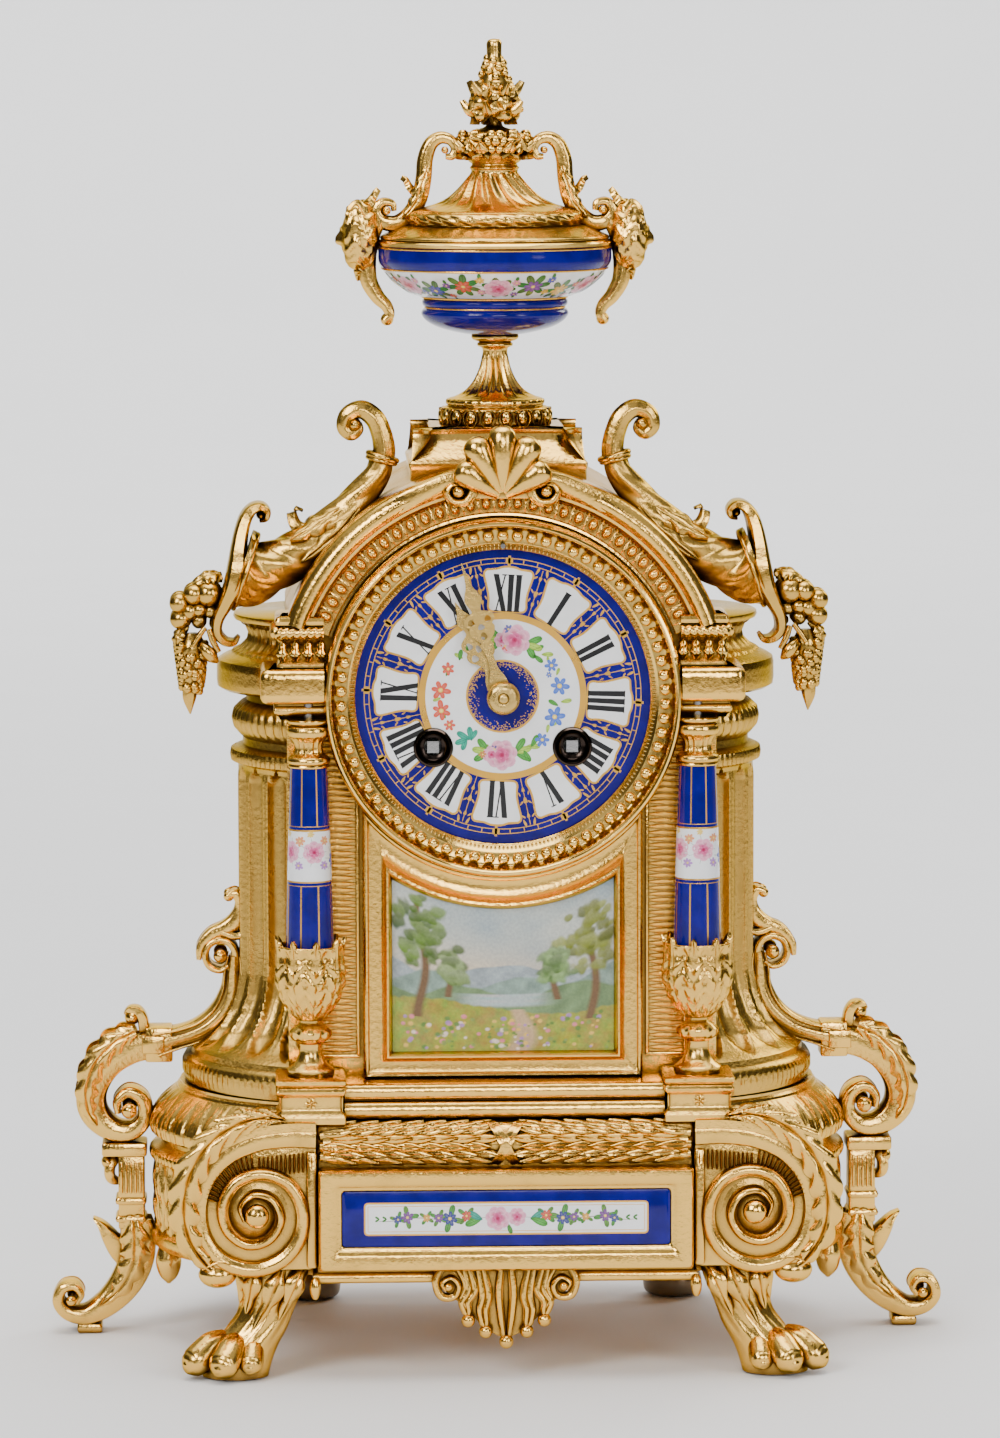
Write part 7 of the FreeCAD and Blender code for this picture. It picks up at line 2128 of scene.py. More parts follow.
@dataclass
class Column:
    """Porcelain column with gilt mounts, one on each side of the picture."""

    x: float = 58.5
    y: float = -56.0
    wrap_r: float = 6.3
    cup_leaves: int = 9
    stripes: int = 8
    bouquets: int = 5
    band_z: float = 158.6
    foot: tuple = ((7.0, 91.5), (7.2, 92.2), (7.2, 93.2), (6.4, 94.0), (5.4, 94.6), (4.3, 95.8), (3.5, 97.8),
                   (3.3, 100.0), (3.6, 101.0), (5.0, 102.0), (6.0, 103.4), (6.0, 104.8), (5.0, 106.2), (3.6, 106.8),
                   (3.2, 107.4), (3.4, 108.2))
    cup: tuple = ((3.4, 108.2), (4.6, 109.0), (6.3, 111.0), (8.2, 114.4), (9.5, 118.4), (10.0, 121.4), (9.8, 124.4),
                  (9.3, 127.0), (9.5, 129.0), (10.1, 130.8), (9.3, 131.0), (8.4, 129.4), (7.4, 127.6), (7.0, 127.4))
    cap: tuple = ((5.4, 185.6), (6.1, 186.1), (6.5, 186.9), (6.2, 187.9), (5.4, 188.5), (4.2, 189.2), (3.8, 190.8),
                  (4.1, 192.4), (5.2, 193.8), (6.3, 194.6), (6.6, 196.0), (6.2, 197.2), (5.4, 197.7), (6.2, 198.3),
                  (6.4, 199.3), (5.0, 199.4))

    def radius(self, z: Array) -> Array:
        """Radius of the shaft at a height."""
        return 7.3 - 1.8 * np.clip((np.asarray(z) - 125) / 61, 0, 1) ** 1.25

    def build_mounts(self) -> Mould:
        """Foot, leaf cup and cap of the right column.

        Returns:
            The shell.
        """
        shell = Mould()
        at = (self.x, self.y)
        shell.lathe(np.array(self.foot), at, 64,
                    lambda a, z: 0.45 * bump(a * 10 / (2 * np.pi)) * ((z > 101.6) & (z < 106)))

        def leaves(a: Array, z: Array) -> Array:
            """Overlapping leaves of the cup.

            Args:
                a: Angle about the column, in radians.
                z: Height.

            Returns:
                Extra radius.
            """
            u = (a * self.cup_leaves / (2 * np.pi)) % 1 - 0.5
            t = np.clip((z - 109) / 22, 0, 1)
            body = 0.75 * np.clip(1 - (u / (0.46 - 0.1 * t)) ** 4, 0, 1)
            veins = 0.35 * np.cos(2 * np.pi * (5 * t - 2.2 * np.abs(u))) * (np.abs(u) > 0.07)
            rib = 0.5 * np.exp(-((u / 0.06) ** 2))
            return (body + veins - rib) * np.sin(np.pi * np.clip(t, 0.05, 0.9)) ** 0.4

        rows = flow(self.cup, 60)
        shell.lathe(rows, at, 108, leaves)
        for k in range(self.cup_leaves):
            a = 2 * math.pi * (k + 0.5) / self.cup_leaves
            out = np.array([math.cos(a), math.sin(a), 0.0])
            base = np.array([self.x, self.y, 0.0])
            shell.leaf([(*(base + out * 8.6 + (0, 0, 116.5)), 1.9), (*(base + out * 10.0 + (0, 0, 123.5)), 3.1),
                        (*(base + out * 10.1 + (0, 0, 129.5)), 2.0), (*(base + out * 10.9 + (0, 0, 133.2)), 0.3)],
                       out, lobes=4, rise=0.7, thick=0.7, along=20, across=9)
        rows = flow(self.cap, 60)
        shell.lathe(rows, at, 72, lambda a, z: 0.5 * (bump(a * 14 / (2 * np.pi)) - 0.3) * ((z > 188.8) & (z < 194.4)))
        for z, r, size in ((125.9, 7.35, 0.5), (185.4, 5.7, 0.55)):
            shell.lathe(round_outline((r, z), size, 8), at, 48, ring=True)
        return shell

    def painter(self, side: int) -> Placing:
        """Placing on the shaft: length round it from its front, and height.

        Args:
            side: 1 for the right column and -1 for the left one.

        Returns:
            The placing.
        """
        def place(p: Array, lift: float) -> Array:
            """Points on the shaft.

            Args:
                p: Points: length round the shaft, and height.
                lift: Height over the shaft.

            Returns:
                Their places in space.
            """
            a = p[:, 0] / self.wrap_r
            r = self.radius(p[:, 1]) + lift
            return np.column_stack([side * self.x + r * np.sin(a), self.y - r * np.cos(a), p[:, 1]])
        return place

    def build(self) -> list[Object]:
        """Builds both columns.

        Returns:
            The mounts, shafts, white bands, gold lines and flowers.
        """
        mounts = self.build_mounts().mirrored_both()
        done = [mounts.build("column_mounts", GILT, instead=["column_feet", "column_caps"])]
        shaft = Shell()
        z = np.linspace(125, 186.2, 30)
        rows = np.column_stack([self.radius(z), z])
        for side in (-1, 1):
            shaft.lathe(rows, (side * self.x, self.y), 64)
        done.append(shaft.build("column_shafts_dressed", COBALT, slot="blue_porcelain", instead=["column_shafts"]))
        white = Shell()
        z = np.linspace(151, 166, 14)
        for side in (-1, 1):
            white.lathe(np.vstack([np.column_stack([self.radius(z) + 0.06, z]),
                                   np.column_stack([self.radius(z[::-1]) - 0.4, z[::-1]])]), (side * self.x, self.y),
                        64, ring=True)
        done.append(white.build("column_bands", WHITE, slot="blue_porcelain"))
        for side, label in SIDES:
            gold, art = Brush(self.painter(side)), Brush(self.painter(side), 20 + side)
            ring = 2 * math.pi * self.wrap_r
            for z, w in ((150.8, 0.55), (149.6, 0.2), (166.3, 0.55), (167.5, 0.2)):
                for k in range(48):
                    a, b = ring * k / 48, ring * (k + 1) / 48
                    gold.patch(np.array([(a, z - w / 2), (b, z - w / 2), (b, z + w / 2), (a, z + w / 2)]), (1, 1, 1))
            for k in range(self.stripes):
                x = ring * (k + 0.5) / self.stripes
                for z0, z1 in ((126.0, 149.6), (167.5, 185.4)):
                    for low in np.linspace(z0, z1, 9)[:-1]:
                        high = low + (z1 - z0) / 8
                        gold.patch(np.array([(x - 0.22, low), (x + 0.22, low), (x + 0.22, high), (x - 0.22, high)]),
                                   (1, 1, 1))
            done.append(gold.build(f"column_gold_{label}", GOLD_LINE))
            for k in range(self.bouquets):
                x, z = ring * k / self.bouquets + 1.4, self.band_z + 1.2 * (-1) ** k
                for j in range(7):
                    art.leafy((x, z), 4.4, 51 * j + 20 * k, level=1)
                if k % 2 == 0:
                    art.rose((x, z), 3.3, 4)
                else:
                    art.daisy((x, z), 2.7, (0.14, 0.16, 0.62), level=4)
                art.daisy((x + 3.6, z + 3.4), 1.6, (0.80, 0.30, 0.10), level=5)
                art.daisy((x + 3.2, z - 4.0), 1.5, (0.44, 0.20, 0.58), level=5)
                art.daisy((x - 1.0, z + 5.4), 1.1, (0.86, 0.60, 0.12), level=5)
            done.append(art.build(f"column_flowers_{label}", slot="painted_porcelain"))
        return done


# --------------------------------------------------------------------------- the dial
@dataclass
class Dial:
    """Painted dial in its beaded bezel, with engraved hands."""

    centre_z: float = DIAL_Z
    face_y: float = -52.0
    tilt: float = 3.0
    holes: tuple = ((-21.0, 190.1), (21.0, 190.1))
    hole_r: float = 5.6
    gold_rings: tuple = ((41.6, 41.85, 1), (40.15, 40.4, 1), (23.3, 25.3, 3.4), (10.5, 11.1, 1))
    white_ring: tuple = (11.1, 23.4, 0.6)
    specks: int = 620
    speck_r: float = 10.5
    beads: int = 70
    bead_place: tuple = (48.75, -57.0)
    teeth: int = 230
    tooth_place: tuple = (45.6, -55.6)
    numeral_r: tuple = (25.8, 36.7)
    thick: float = 1.6
    thin: float = 0.42
    serif: float = 0.34
    rim: tuple = ((54.0, -44.0), (54.0, -58.4), (53.8, -59.8), (53.2, -60.8), (52.6, -61.0), (52.0, -60.6),
                  (51.6, -59.6), (51.4, -58.0), (50.9, -57.0), (50.2, -56.6), (46.9, -56.6), (46.4, -56.2),
                  (44.9, -54.6), (44.5, -54.2), (44.5, -52.4), (46.8, -52.2), (46.8, -49.4), (52.0, -44.0))

    def place(self, p: Array, lift: float) -> Array:
        """Points of the dial's plane."""
        return stand(p, self.face_y - lift)

    def at(self, angle: float, radius: float) -> tuple[float, float]:
        """Point of the painted pattern by angle and radius."""
        return polar(angle + self.tilt, radius, (0, self.centre_z))

    def clear(self, spot: Sequence[float], room: float = 6.4) -> bool:
        """Whether a spot misses the winding holes."""
        return all(math.dist(spot, hole) > room for hole in self.holes)

    def field(self, brush: Brush, outline: Array, level: float, holes: Sequence[Array] = (),
              colour: Colour = PORCELAIN) -> None:
        """Fills an outline of any shape, cut round the winding holes.

        Args:
            brush: Brush to lay it with.
            outline: Closed outline.
            level: Layer, counted up from the surface.
            holes: More outlines to leave free.
            colour: Its colour.
        """
        near = [round_outline(hole, self.hole_r + 0.15, 30) for hole in self.holes
                if holes or np.linalg.norm(outline - hole, axis=1).min() < self.hole_r + 6]
        flat, tris = plate_with_holes(outline, [*holes, *near])
        for tri in tris:
            corners = flat[list(tri)]
            brush.count = 0
            brush.patch(corners, colour, level=level)

    def ring(self, brush: Brush, inner: float, outer: float, level: float = 1) -> None:
        """Paints a ring."""
        self.field(brush, round_outline((0, self.centre_z), outer, 120), level,
                   [round_outline((0, self.centre_z), inner, 120)])

    def bar(self, brush: Brush, angle: float, a: Sequence[float], b: Sequence[float], width: float,
            level: float) -> None:
        """Paints a straight stroke in the upright frame of one hour.

        Args:
            brush: Brush to lay it with.
            angle: Angle of the hour.
            a: Start, across and outwards.
            b: End.
            width: Its width.
            level: Layer, counted up from the surface.
        """
        turn = math.radians(angle + self.tilt)
        right = np.array([math.cos(turn), -math.sin(turn)])
        out = np.array([math.sin(turn), math.cos(turn)])
        origin = np.array([0.0, self.centre_z])
        ends = [np.array(p, float) for p in (a, b)]
        tall = abs(ends[1][1] - ends[0][1]) > abs(ends[1][0] - ends[0][0])
        across = np.array([width / 2, 0.0] if tall else [0.0, width / 2])
        corners = [ends[0] - across, ends[0] + across, ends[1] + across, ends[1] - across]
        self.field(brush, np.array([origin + right * c[0] * (0.62 + 0.38 * c[1] / 33) + out * c[1] for c in corners]),
                   level)

    def numeral(self, brush: Brush, hour: int) -> None:
        """Paints one Roman numeral with its foot to the centre.

        Args:
            brush: Brush to lay it with.
            hour: The hour.
        """
        text = ("I", "II", "III", "IIII", "V", "VI", "VII", "VIII", "IX", "X", "XI", "XII")[hour - 1]
        widths = {"I": 2.3, "V": 3.9, "X": 3.9}
        low, high = self.numeral_r
        left = -sum(widths[c] for c in text) / 2
        angle = 30.0 * hour
        for sign in text:
            w = widths[sign]
            middle = left + w / 2
            if sign == "I":
                self.bar(brush, angle, (middle, low), (middle, high), self.thick, 4)
                for r in (low, high):
                    self.bar(brush, angle, (middle - 0.95, r), (middle + 0.95, r), self.serif, 4.4)
            elif sign == "V":
                self.bar(brush, angle, (left + 0.85, high), (middle, low), self.thick, 4)
                self.bar(brush, angle, (left + w - 0.6, high), (middle + 0.1, low), self.thin, 4.2)
                for x in (left + 0.85, left + w - 0.6):
                    self.bar(brush, angle, (x - 0.8, high), (x + 0.8, high), self.serif, 4.4)
            else:
                self.bar(brush, angle, (left + 0.7, high), (left + w - 0.8, low), self.thick, 4)
                self.bar(brush, angle, (left + w - 0.6, high), (left + 0.6, low), self.thin, 4.2)
                for x in (left + 0.75, left + w - 0.75):
                    for r in (low, high):
                        self.bar(brush, angle, (x - 0.75, r), (x + 0.75, r), self.serif, 4.4)
            left += w

    def cartouche(self, hour: int, grow: float) -> Array:
        """Outline of one hour's broad white field.

        Args:
            hour: The hour.
            grow: How far its edge moves outwards.

        Returns:
            The outline, anticlockwise.
        """
        half = flow([(25.9, 0.0), (25.9, 2.2), (25.9, 4.4), (26.3, 5.2), (27.2, 5.45), (28.4, 5.35), (30.6, 5.5),
                     (33.0, 6.1), (35.2, 6.75), (36.8, 7.1), (37.7, 6.6), (37.9, 5.4), (38.1, 3.6), (38.7, 1.8),
                     (38.9, 0.0)], 56)
        table = np.vstack([half, half[::-1][1:-1] * np.array([1, -1])])
        turn = math.radians(30.0 * hour + self.tilt)
        right = np.array([math.cos(turn), -math.sin(turn)])
        out = np.array([math.sin(turn), math.cos(turn)])
        outline = np.array([0.0, self.centre_z]) + table[:, 1:] * right + table[:, :1] * out
        return offset(anticlockwise(outline), grow)

    def build_painting(self) -> list[Object]:
        """All the enamel of the dial.

        Returns:
            The gold, the white, the numerals and the flowers.
        """
        gold, white, black, art = Brush(self.place), Brush(self.place), Brush(self.place), Brush(self.place, 31)
        one = (1, 1, 1)
        for hour in range(1, 13):
            self.field(gold, self.cartouche(hour, 0.62), 1)
            self.field(white, self.cartouche(hour, 0.0), 2.4)
            self.numeral(black, hour)
            angle = 30.0 * hour + 15
            self.bar(gold, angle, (0, 25.2), (0, 39.8), 0.22, 1)
            for r, size in ((36.2, 1.5), (31.2, 2.0), (28.2, 1.5)):
                for lean in (-11, 11):
                    spot = self.at(angle, r)
                    if self.clear(spot, 7.4):
                        gold.petal(spot, size, size * 0.42, 90 - angle - self.tilt + lean, one, one, 1)
            for lean in (-1, 1):
                for turn, r, size, way in ((12.3, 38.0, 2.3, 30), (11.6, 36.6, 1.6, 62), (11.9, 33.6, 1.5, 150),
                                           (12.0, 29.6, 1.3, 30)):
                    spot = self.at(30.0 * hour + lean * turn, r)
                    if self.clear(spot, 7.2):
                        gold.petal(spot, size, size * 0.40, 90 - 30 * hour - self.tilt - lean * way, one, one, 1)
        for inner, outer, level in self.gold_rings:
            self.ring(gold, inner, outer, level)
        self.ring(white, *self.white_ring)
        chance = np.random.default_rng(12)
        for _ in range(self.specks):
            a, r = chance.uniform(0, 360), self.speck_r - abs(chance.normal(0, 1.15))
            size = chance.uniform(0.10, 0.22)
            gold.patch(round_outline(self.at(a, r), size, 5), one, level=0.5)
        for minute in range(60):
            if minute % 5:
                self.bar(gold, 6.0 * minute, (0, 40.2), (0, 41.7), 0.24, 1.5)
            else:
                self.bar(gold, 6.0 * minute, (0, 40.1), (0, 41.9), 2.0, 1.5)
                self.bar(gold, 6.0 * minute, (0, 39.0), (0, 42.5), 0.7, 1.5)
        done = [gold.build("dial_gold", GOLD_LINE), white.build("dial_white", WHITE),
                black.build("dial_numerals", BLACK)]
        blue, red = (0.04, 0.14, 0.62), (0.70, 0.06, 0.015)
        green, teal, lime = (0.05, 0.24, 0.03), (0.01, 0.26, 0.17), (0.30, 0.46, 0.05)
        sprays = ((30, 16.6, 3.6, 20, green), (34, 15.6, 3.6, -40, green), (40, 17.2, 3.6, 0, lime),
                  (93, 17.6, 3.4, 10, lime), (97, 17.0, 3.4, 150, green), (101, 16.4, 2.6, -60, green),
                  (127, 17.4, 2.6, 80, lime), (148, 17.6, 4.2, 60, green), (152, 16.8, 4.2, 0, lime),
                  (156, 17.6, 4.0, -60, green), (212, 16.4, 4.4, 100, teal), (214, 16.4, 4.6, 150, teal),
                  (216, 16.4, 4.4, 200, teal), (218, 16.6, 4.0, 250, teal), (213, 16.4, 3.6, 60, teal),
                  (200, 17.6, 3.0, 30, lime), (246, 18.4, 2.6, 120, green), (266, 18.6, 2.6, 200, lime),
                  (287, 18.2, 2.8, 60, green), (291, 17.6, 2.4, 140, lime), (307, 17.0, 3.4, 80, green),
                  (311, 16.6, 3.0, 150, lime), (320, 17.0, 2.6, 120, green), (345, 15.6, 2.6, 160, green),
                  (66, 17.4, 2.4, 70, lime), (118, 17.6, 2.2, 40, lime), (234, 18.0, 2.4, 40, lime),
                  (52, 17.0, 2.2, 100, lime))
        for angle, r, size, way, tone in sprays:
            spot = self.at(angle, r)
            if self.clear(spot, 8.6):
                art.leafy(spot, size, way, tone, 3)
        for angle, way in ((21, -21), (-4, 184), (191, 169), (165, 15)):
            for lean, tone in ((-40, green), (40, green), (0, lime)):
                art.leafy(self.at(angle, 17.4), 5.2, way + lean, tone, 3)
        for angle, r, size in ((9, 17.4, 4.6), (178, 17.8, 4.5)):
            art.rose(self.at(angle, r), size, 6)
        art.rose(self.at(176 + 12, 18.0), 2.6, 5)
        art.rose(self.at(357, 17.0), 2.4, 5)
        daisies = ((55, 17.4, 2.2, blue), (77, 17.4, 3.1, blue), (109, 16.9, 3.1, blue), (135, 17.8, 2.2, blue),
                   (239, 18.2, 1.8, red), (254, 19.0, 3.1, red), (273, 18.8, 3.1, red), (294, 18.4, 2.0, red),
                   (186, 16.2, 1.3, (0.05, 0.05, 0.25)), (2, 20.4, 1.4, (0.05, 0.08, 0.35)), (0, 15.2, 1.5, red),
                   (196, 18.6, 1.2, (0.62, 0.20, 0.02)), (62, 15.4, 1.0, blue))
        for angle, r, size, tone in daisies:
            spot = self.at(angle, r)
            if self.clear(spot, 6.4 + size):
                art.daisy(spot, size, tone, petals=6, level=6)
        done.append(art.build("dial_flowers", slot="painted_porcelain"))
        return done

    def build_bezel(self) -> list[Object]:
        """The bezel, its beads, its milled ring and the near-black cups of painted shade in the winding holes.

        Returns:
            The bezel, the cups of painted shade, the beads and the milled ring.
        """
        shell = Mould()
        shell.lathe(np.array(self.rim), (0, self.centre_z), 220, ring=True, level=True)
        done = [shell.build("bezel_dressed", GILT_BRIGHT, instead=["bezel"])]
        # Near-black cups in the winding holes: painted shade where the holes fall dark.
        hole_shades = Shell()
        for hole in self.holes:
            hole_shades.lathe([(5.95, -51.4), (6.0, -52.2), (5.8, -52.6), (5.3, -52.7), (4.9, -52.3), (4.6, -51.4),
                         (4.0, -50.6), (3.2, -50.2), (2.7, -50.0), (2.7, -49.5), (5.4, -49.5), (5.45, -51.4)], hole,
                        48, ring=True, level=True)
        done.append(hole_shades.build("winding_wells", HOLE_SHADE))
        bead = Shell()
        bead.ball((0, 0, 0), 1.72, 14)
        done.append(Repeat.run("bezel_beads", "ring", bead, GILT_BRIGHT, {
            "Count": self.beads, "Used": self.beads, "Radius": self.bead_place[0] * MM,
            "Place": (0, self.bead_place[1] * MM, self.centre_z * MM)}))
        tooth = Shell()
        tooth.ball((0, 0, 0), 1.0, 6, (0.30, 0.5, 1.05))
        done.append(Repeat.run("bezel_milling", "ring", tooth, GILT_BRIGHT, {
            "Count": self.teeth, "Used": self.teeth, "Radius": self.tooth_place[0] * MM,
            "Place": (0, self.tooth_place[1] * MM, self.centre_z * MM)}))
        return done

    def hand(self, table: Sequence[Sequence[float]], eyes: Sequence[Sequence[float]], angle: float,
             front: float) -> Mould:
        """A pierced hand.

        Args:
            table: Rows of radius and half width.
            eyes: Rows of radius, distance from its middle line, half length and half width of its piercings.
            angle: Its angle at rest, clockwise from straight up.
            front: y of its front.

        Returns:
            The hand's plate.
        """
        rows = flow(table, 90)
        outline = np.vstack([np.column_stack([rows[:, 1], rows[:, 0]]),
                             np.column_stack([-rows[::-1, 1], rows[::-1, 0]])])
        holes = []
        for r, aside, length, width in eyes:
            turn = once_round(18)
            for lean in ((1,) if aside == 0 else (-1, 1)):
                holes.append(np.column_stack([lean * aside + width * np.sin(turn) * (1 - 0.35 * np.cos(turn)),
                                              r + length * np.cos(turn)]))
        holes.append(round_outline((0, 0), 1.75, 24))
        hub = round_outline((0, 0), 4.3, 40)
        turn = -math.radians(angle)
        spin = np.array([[math.cos(turn), math.sin(turn)], [-math.sin(turn), math.cos(turn)]])
        shift = np.array([0, self.centre_z])
        shell = Mould()
        shell.pierced(outline @ spin + shift, [h @ spin + shift for h in holes[:-1]], front, front + 0.6)
        shell.pierced(hub @ spin + shift, [holes[-1] @ spin + shift], front - 0.12, front + 0.6)
        return shell

    def build_hands(self) -> list[Object]:
        """Both hands with their pipes and nut.

        Returns:
            The minute hand and the hour hand.
        """
        done = []
        minute = self.hand([(3.6, 3.0), (6.0, 2.5), (8.6, 1.5), (11.0, 1.05), (14.4, 1.2), (16.6, 2.1), (17.8, 1.5),
                            (19.4, 3.1), (21.6, 4.0), (22.8, 3.6), (23.9, 4.6), (25.6, 4.5), (26.6, 3.1), (27.2, 1.5),
                            (28.6, 1.7), (30.6, 2.5), (32.6, 2.1), (35.0, 1.0), (37.4, 0.6), (42.5, 0.14)],
                           [(19.6, 0, 1.2, 0.9), (24.4, 2.6, 1.0, 1.0), (22.4, 0, 0.9, 1.0)], -17.0, -56.6)
        at = (0, self.centre_z)
        minute.lathe([(1.75, -59.6), (3.0, -59.8), (4.3, -59.2), (5.0, -58.0), (5.0, -57.2), (4.5, -56.75),
                      (1.75, -56.7)], at, 48, ring=True, level=True)
        minute.lathe([(0.0, -60.4), (1.0, -60.3), (1.5, -59.9), (1.7, -59.2), (1.7, -41.0), (2.2, -40.6), (2.2, -38.5),
                      (0.0, -38.4)], at, 32, level=True)
        done.append(minute.build("minute_hand_dressed", HAND, Body.MINUTE, "hand_brass", ["minute_hand"]))
        hour = self.hand([(3.8, 3.2), (6.2, 2.7), (8.4, 1.7), (10.4, 1.3), (12.2, 2.5), (13.6, 4.1), (15.4, 4.4),
                          (16.6, 3.7), (18.0, 4.4), (19.6, 4.2), (20.8, 2.8), (21.8, 1.4), (23.4, 1.5), (25.4, 2.3),
                          (27.2, 1.9), (29.0, 0.9), (32.0, 0.15)],
                         [(14.2, 2.2, 1.1, 1.0), (18.2, 2.3, 1.1, 1.1), (16.4, 0, 1.2, 0.8)], -26.6, -54.8)
        hour.lathe([(1.75, -55.2), (3.4, -55.1), (3.6, -54.8), (2.6, -54.2), (2.6, -43.4), (7.2, -43.2), (7.2, -42.0),
                    (1.75, -42.0)], at, 48, ring=True, level=True)
        done.append(hour.build("hour_hand_dressed", HAND, Body.HOUR, "hand_brass", ["hour_hand"]))
        return done

    def build(self) -> list[Object]:
        """Builds the dial's painting, bezel and hands."""
        return [*self.build_painting(), *self.build_bezel(), *self.build_hands()]


# --------------------------------------------------------------------------- the urn and the crown
@dataclass
class Urn:
    """Porcelain urn with gilt mounts, mask handles and a flower finial."""

    y: float = 5.0
    plinth_half: float = 27.5
    wrap_r: float = 30.0
    band_up: float = 13.9
    flowers: int = 18
    cups: int = 19
    band: tuple = ((23.9, 323.5), (27.4, 325.1), (30.9, 327.6), (33.4, 330.0), (34.7, 331.9))

    def build_plinth(self) -> list[Object]:
        """The plain square plinth, hollowed towards its top.

        Returns:
            The piece that stands for the plinth.
        """
        shell = Mould()
        h = self.plinth_half - 0.2
        square = rounded_box((-h, self.y - h), (h, self.y + h), 0.8, 4)
        shell.pier(square, [(-1.0, 262.0), (-0.4, 262.6), (-0.4, 271.4), (-0.2, 272.2), (0.0, 272.6), (0.0, 273.6),
                            (-1.0, 274.4), (-2.2, 275.8), (-3.6, 277.4), (-5.2, 279.2), (-6.5, 281.0), (-6.9, 282.2),
                            (-6.6, 282.8), (-6.6, 283.6), (-7.2, 284.0)])
        return [shell.build("urn_plinth_dressed", GILT, instead=["urn_plinth"])]

    def build_stem(self) -> list[Object]:
        """The stem with its ring of egg cups and its flutes.

        Returns:
            The stem and its egg cups.
        """
        shell = Mould()
        profile = flow([(15.6, 284.0), (16.4, 284.6), (16.2, 286.6), (16.4, 288.8), (15.6, 289.4), (14.7, 289.8),
                        (14.9, 290.8), (14.5, 291.8), (12.6, 292.4), (9.4, 294.2), (6.8, 297.2), (5.0, 301.0),
                        (4.1, 304.6), (3.8, 306.4), (4.2, 307.4), (5.4, 308.0), (5.4, 308.8), (4.9, 309.2),
                        (6.4, 309.7), (7.2, 310.4), (7.2, 311.2), (6.6, 311.6)], 110)

        def flutes(a: Array, z: Array) -> Array:
            """Hollow flutes up the stem.

            Args:
                a: Angle about the stem, in radians.
                z: Height.

            Returns:
                Extra radius.
            """
            on = np.clip((z - 292.6) / 1.6, 0, 1) * np.clip((306.2 - z) / 2, 0, 1)
            beads = 0.35 * bump(a * 30 / (2 * np.pi)) * ((z > 290) & (z < 291.6))
            return -0.16 * profile[:, :1] * on * bump(a * 16 / (2 * np.pi), 0.7) + beads

        shell.lathe(profile, (0, self.y), 160, flutes)
        done = [shell.build("urn_stem_dressed", GILT, instead=["urn_stem"])]
        cup = Shell()
        cup.ball((0, 0, 0), 1.0, 12, (1.75, 2.35, 1.5))
        turn = np.radians(np.linspace(-150, 150, 13))
        rim = np.column_stack([2.35 * np.sin(turn), 0.3 + 2.7 * np.cos(turn), np.full(13, 0.3)])
        out = unit(np.column_stack([np.sin(turn), np.cos(turn), 0 * turn]))
        ring = once_round(6)
        cup.sweep(rim, out, UP, np.column_stack([0.32 * np.cos(ring), 0.8 * np.sin(ring)]))
        cup.ball((2.75, -1.9, 0.5), 0.6, 6)
        done.append(Repeat.run("urn_egg_cups", "ring", cup, GILT_BRIGHT, {
            "Count": self.cups, "Used": self.cups, "Radius": 16.3 * MM, "Lay": (-math.pi / 2, 0, 0),
            "Place": (0, self.y * MM, 286.7 * MM)}))
        return done

    def painter(self) -> Placing:
        """Placing on the white band: length round it from the front, and length up it.

        Returns:
            The placing.
        """
        rows = flow(self.band, 60)
        steps = np.concatenate([[0], np.cumsum(np.linalg.norm(np.diff(rows, axis=0), axis=1))])
        way = unit(np.gradient(rows, axis=0))

        def place(p: Array, lift: float) -> Array:
            """Points on the band.

            Args:
                p: Points: length round the band, and length up it.
                lift: Height over the band.

            Returns:
                Their places in space.
            """
            a = p[:, 0] / self.wrap_r
            r, z = np.interp(p[:, 1], steps, rows[:, 0]), np.interp(p[:, 1], steps, rows[:, 1])
            nr, nz = np.interp(p[:, 1], steps, way[:, 1]), -np.interp(p[:, 1], steps, way[:, 0])
            r, z = r + nr * (lift + 0.12), z + nz * (lift + 0.12)
            return np.column_stack([r * np.sin(a), self.y - r * np.cos(a), z])
        return place

    def build_bowl(self) -> list[Object]:
        """The cobalt bowl, its white band of flowers and its gold lines.

        Returns:
            The bowl, its band, its gold lines, its rim and its flowers.
        """
        at = (0, self.y)
        bowl = Shell()
        bowl.lathe(flow([(7.2, 311.4), (12.6, 312.4), (17.6, 313.8), (21.0, 315.6), (22.6, 317.6), (22.4, 319.0),
                         (21.5, 319.9), (22.3, 320.7), (22.4, 322.0), (21.6, 323.0), (23.6, 323.5), (27.4, 325.1),
                         (30.9, 327.6), (33.4, 330.0), (34.8, 332.0), (35.8, 334.0), (35.9, 337.0), (35.7, 339.0),
                         (34.0, 340.4)], 90), at, 120)
        done = [bowl.build("urn_bowl_dressed", COBALT, slot="blue_porcelain", instead=["urn_bowl"])]
        rows = flow(self.band, 20)
        white = Shell()
        white.lathe(np.vstack([rows + (0.08, -0.05), (rows - (0.5, -0.3))[::-1]]), at, 120, ring=True)
        done.append(white.build("urn_band", WHITE, slot="blue_porcelain"))
        gold = Shell()
        for r, z, size in ((21.45, 319.9, 0.28), (22.2, 323.1, 0.42), (34.75, 331.9, 0.32), (35.95, 338.4, 0.3)):
            gold.lathe(round_outline((r, z), size, 8), at, 120, ring=True)
        done.append(gold.build("urn_gold_lines", GOLD_LINE))
        rim = Shell()
        rim.lathe([(33.0, 338.6), (35.7, 338.7), (36.3, 339.1), (36.4, 339.9), (36.0, 340.5), (34.8, 340.9),
                   (33.0, 340.9)], at, 140, ring=True)
        done.append(rim.build("urn_rim", GILT_BRIGHT))
        art = Brush(self.painter(), 41)
        ring, high = 2 * math.pi * self.wrap_r, self.band_up
        line = np.array([(x, high * (0.48 + 0.14 * math.sin(x / 4.6))) for x in np.linspace(0, ring, 260)])
        for k in range(0, 256, 4):
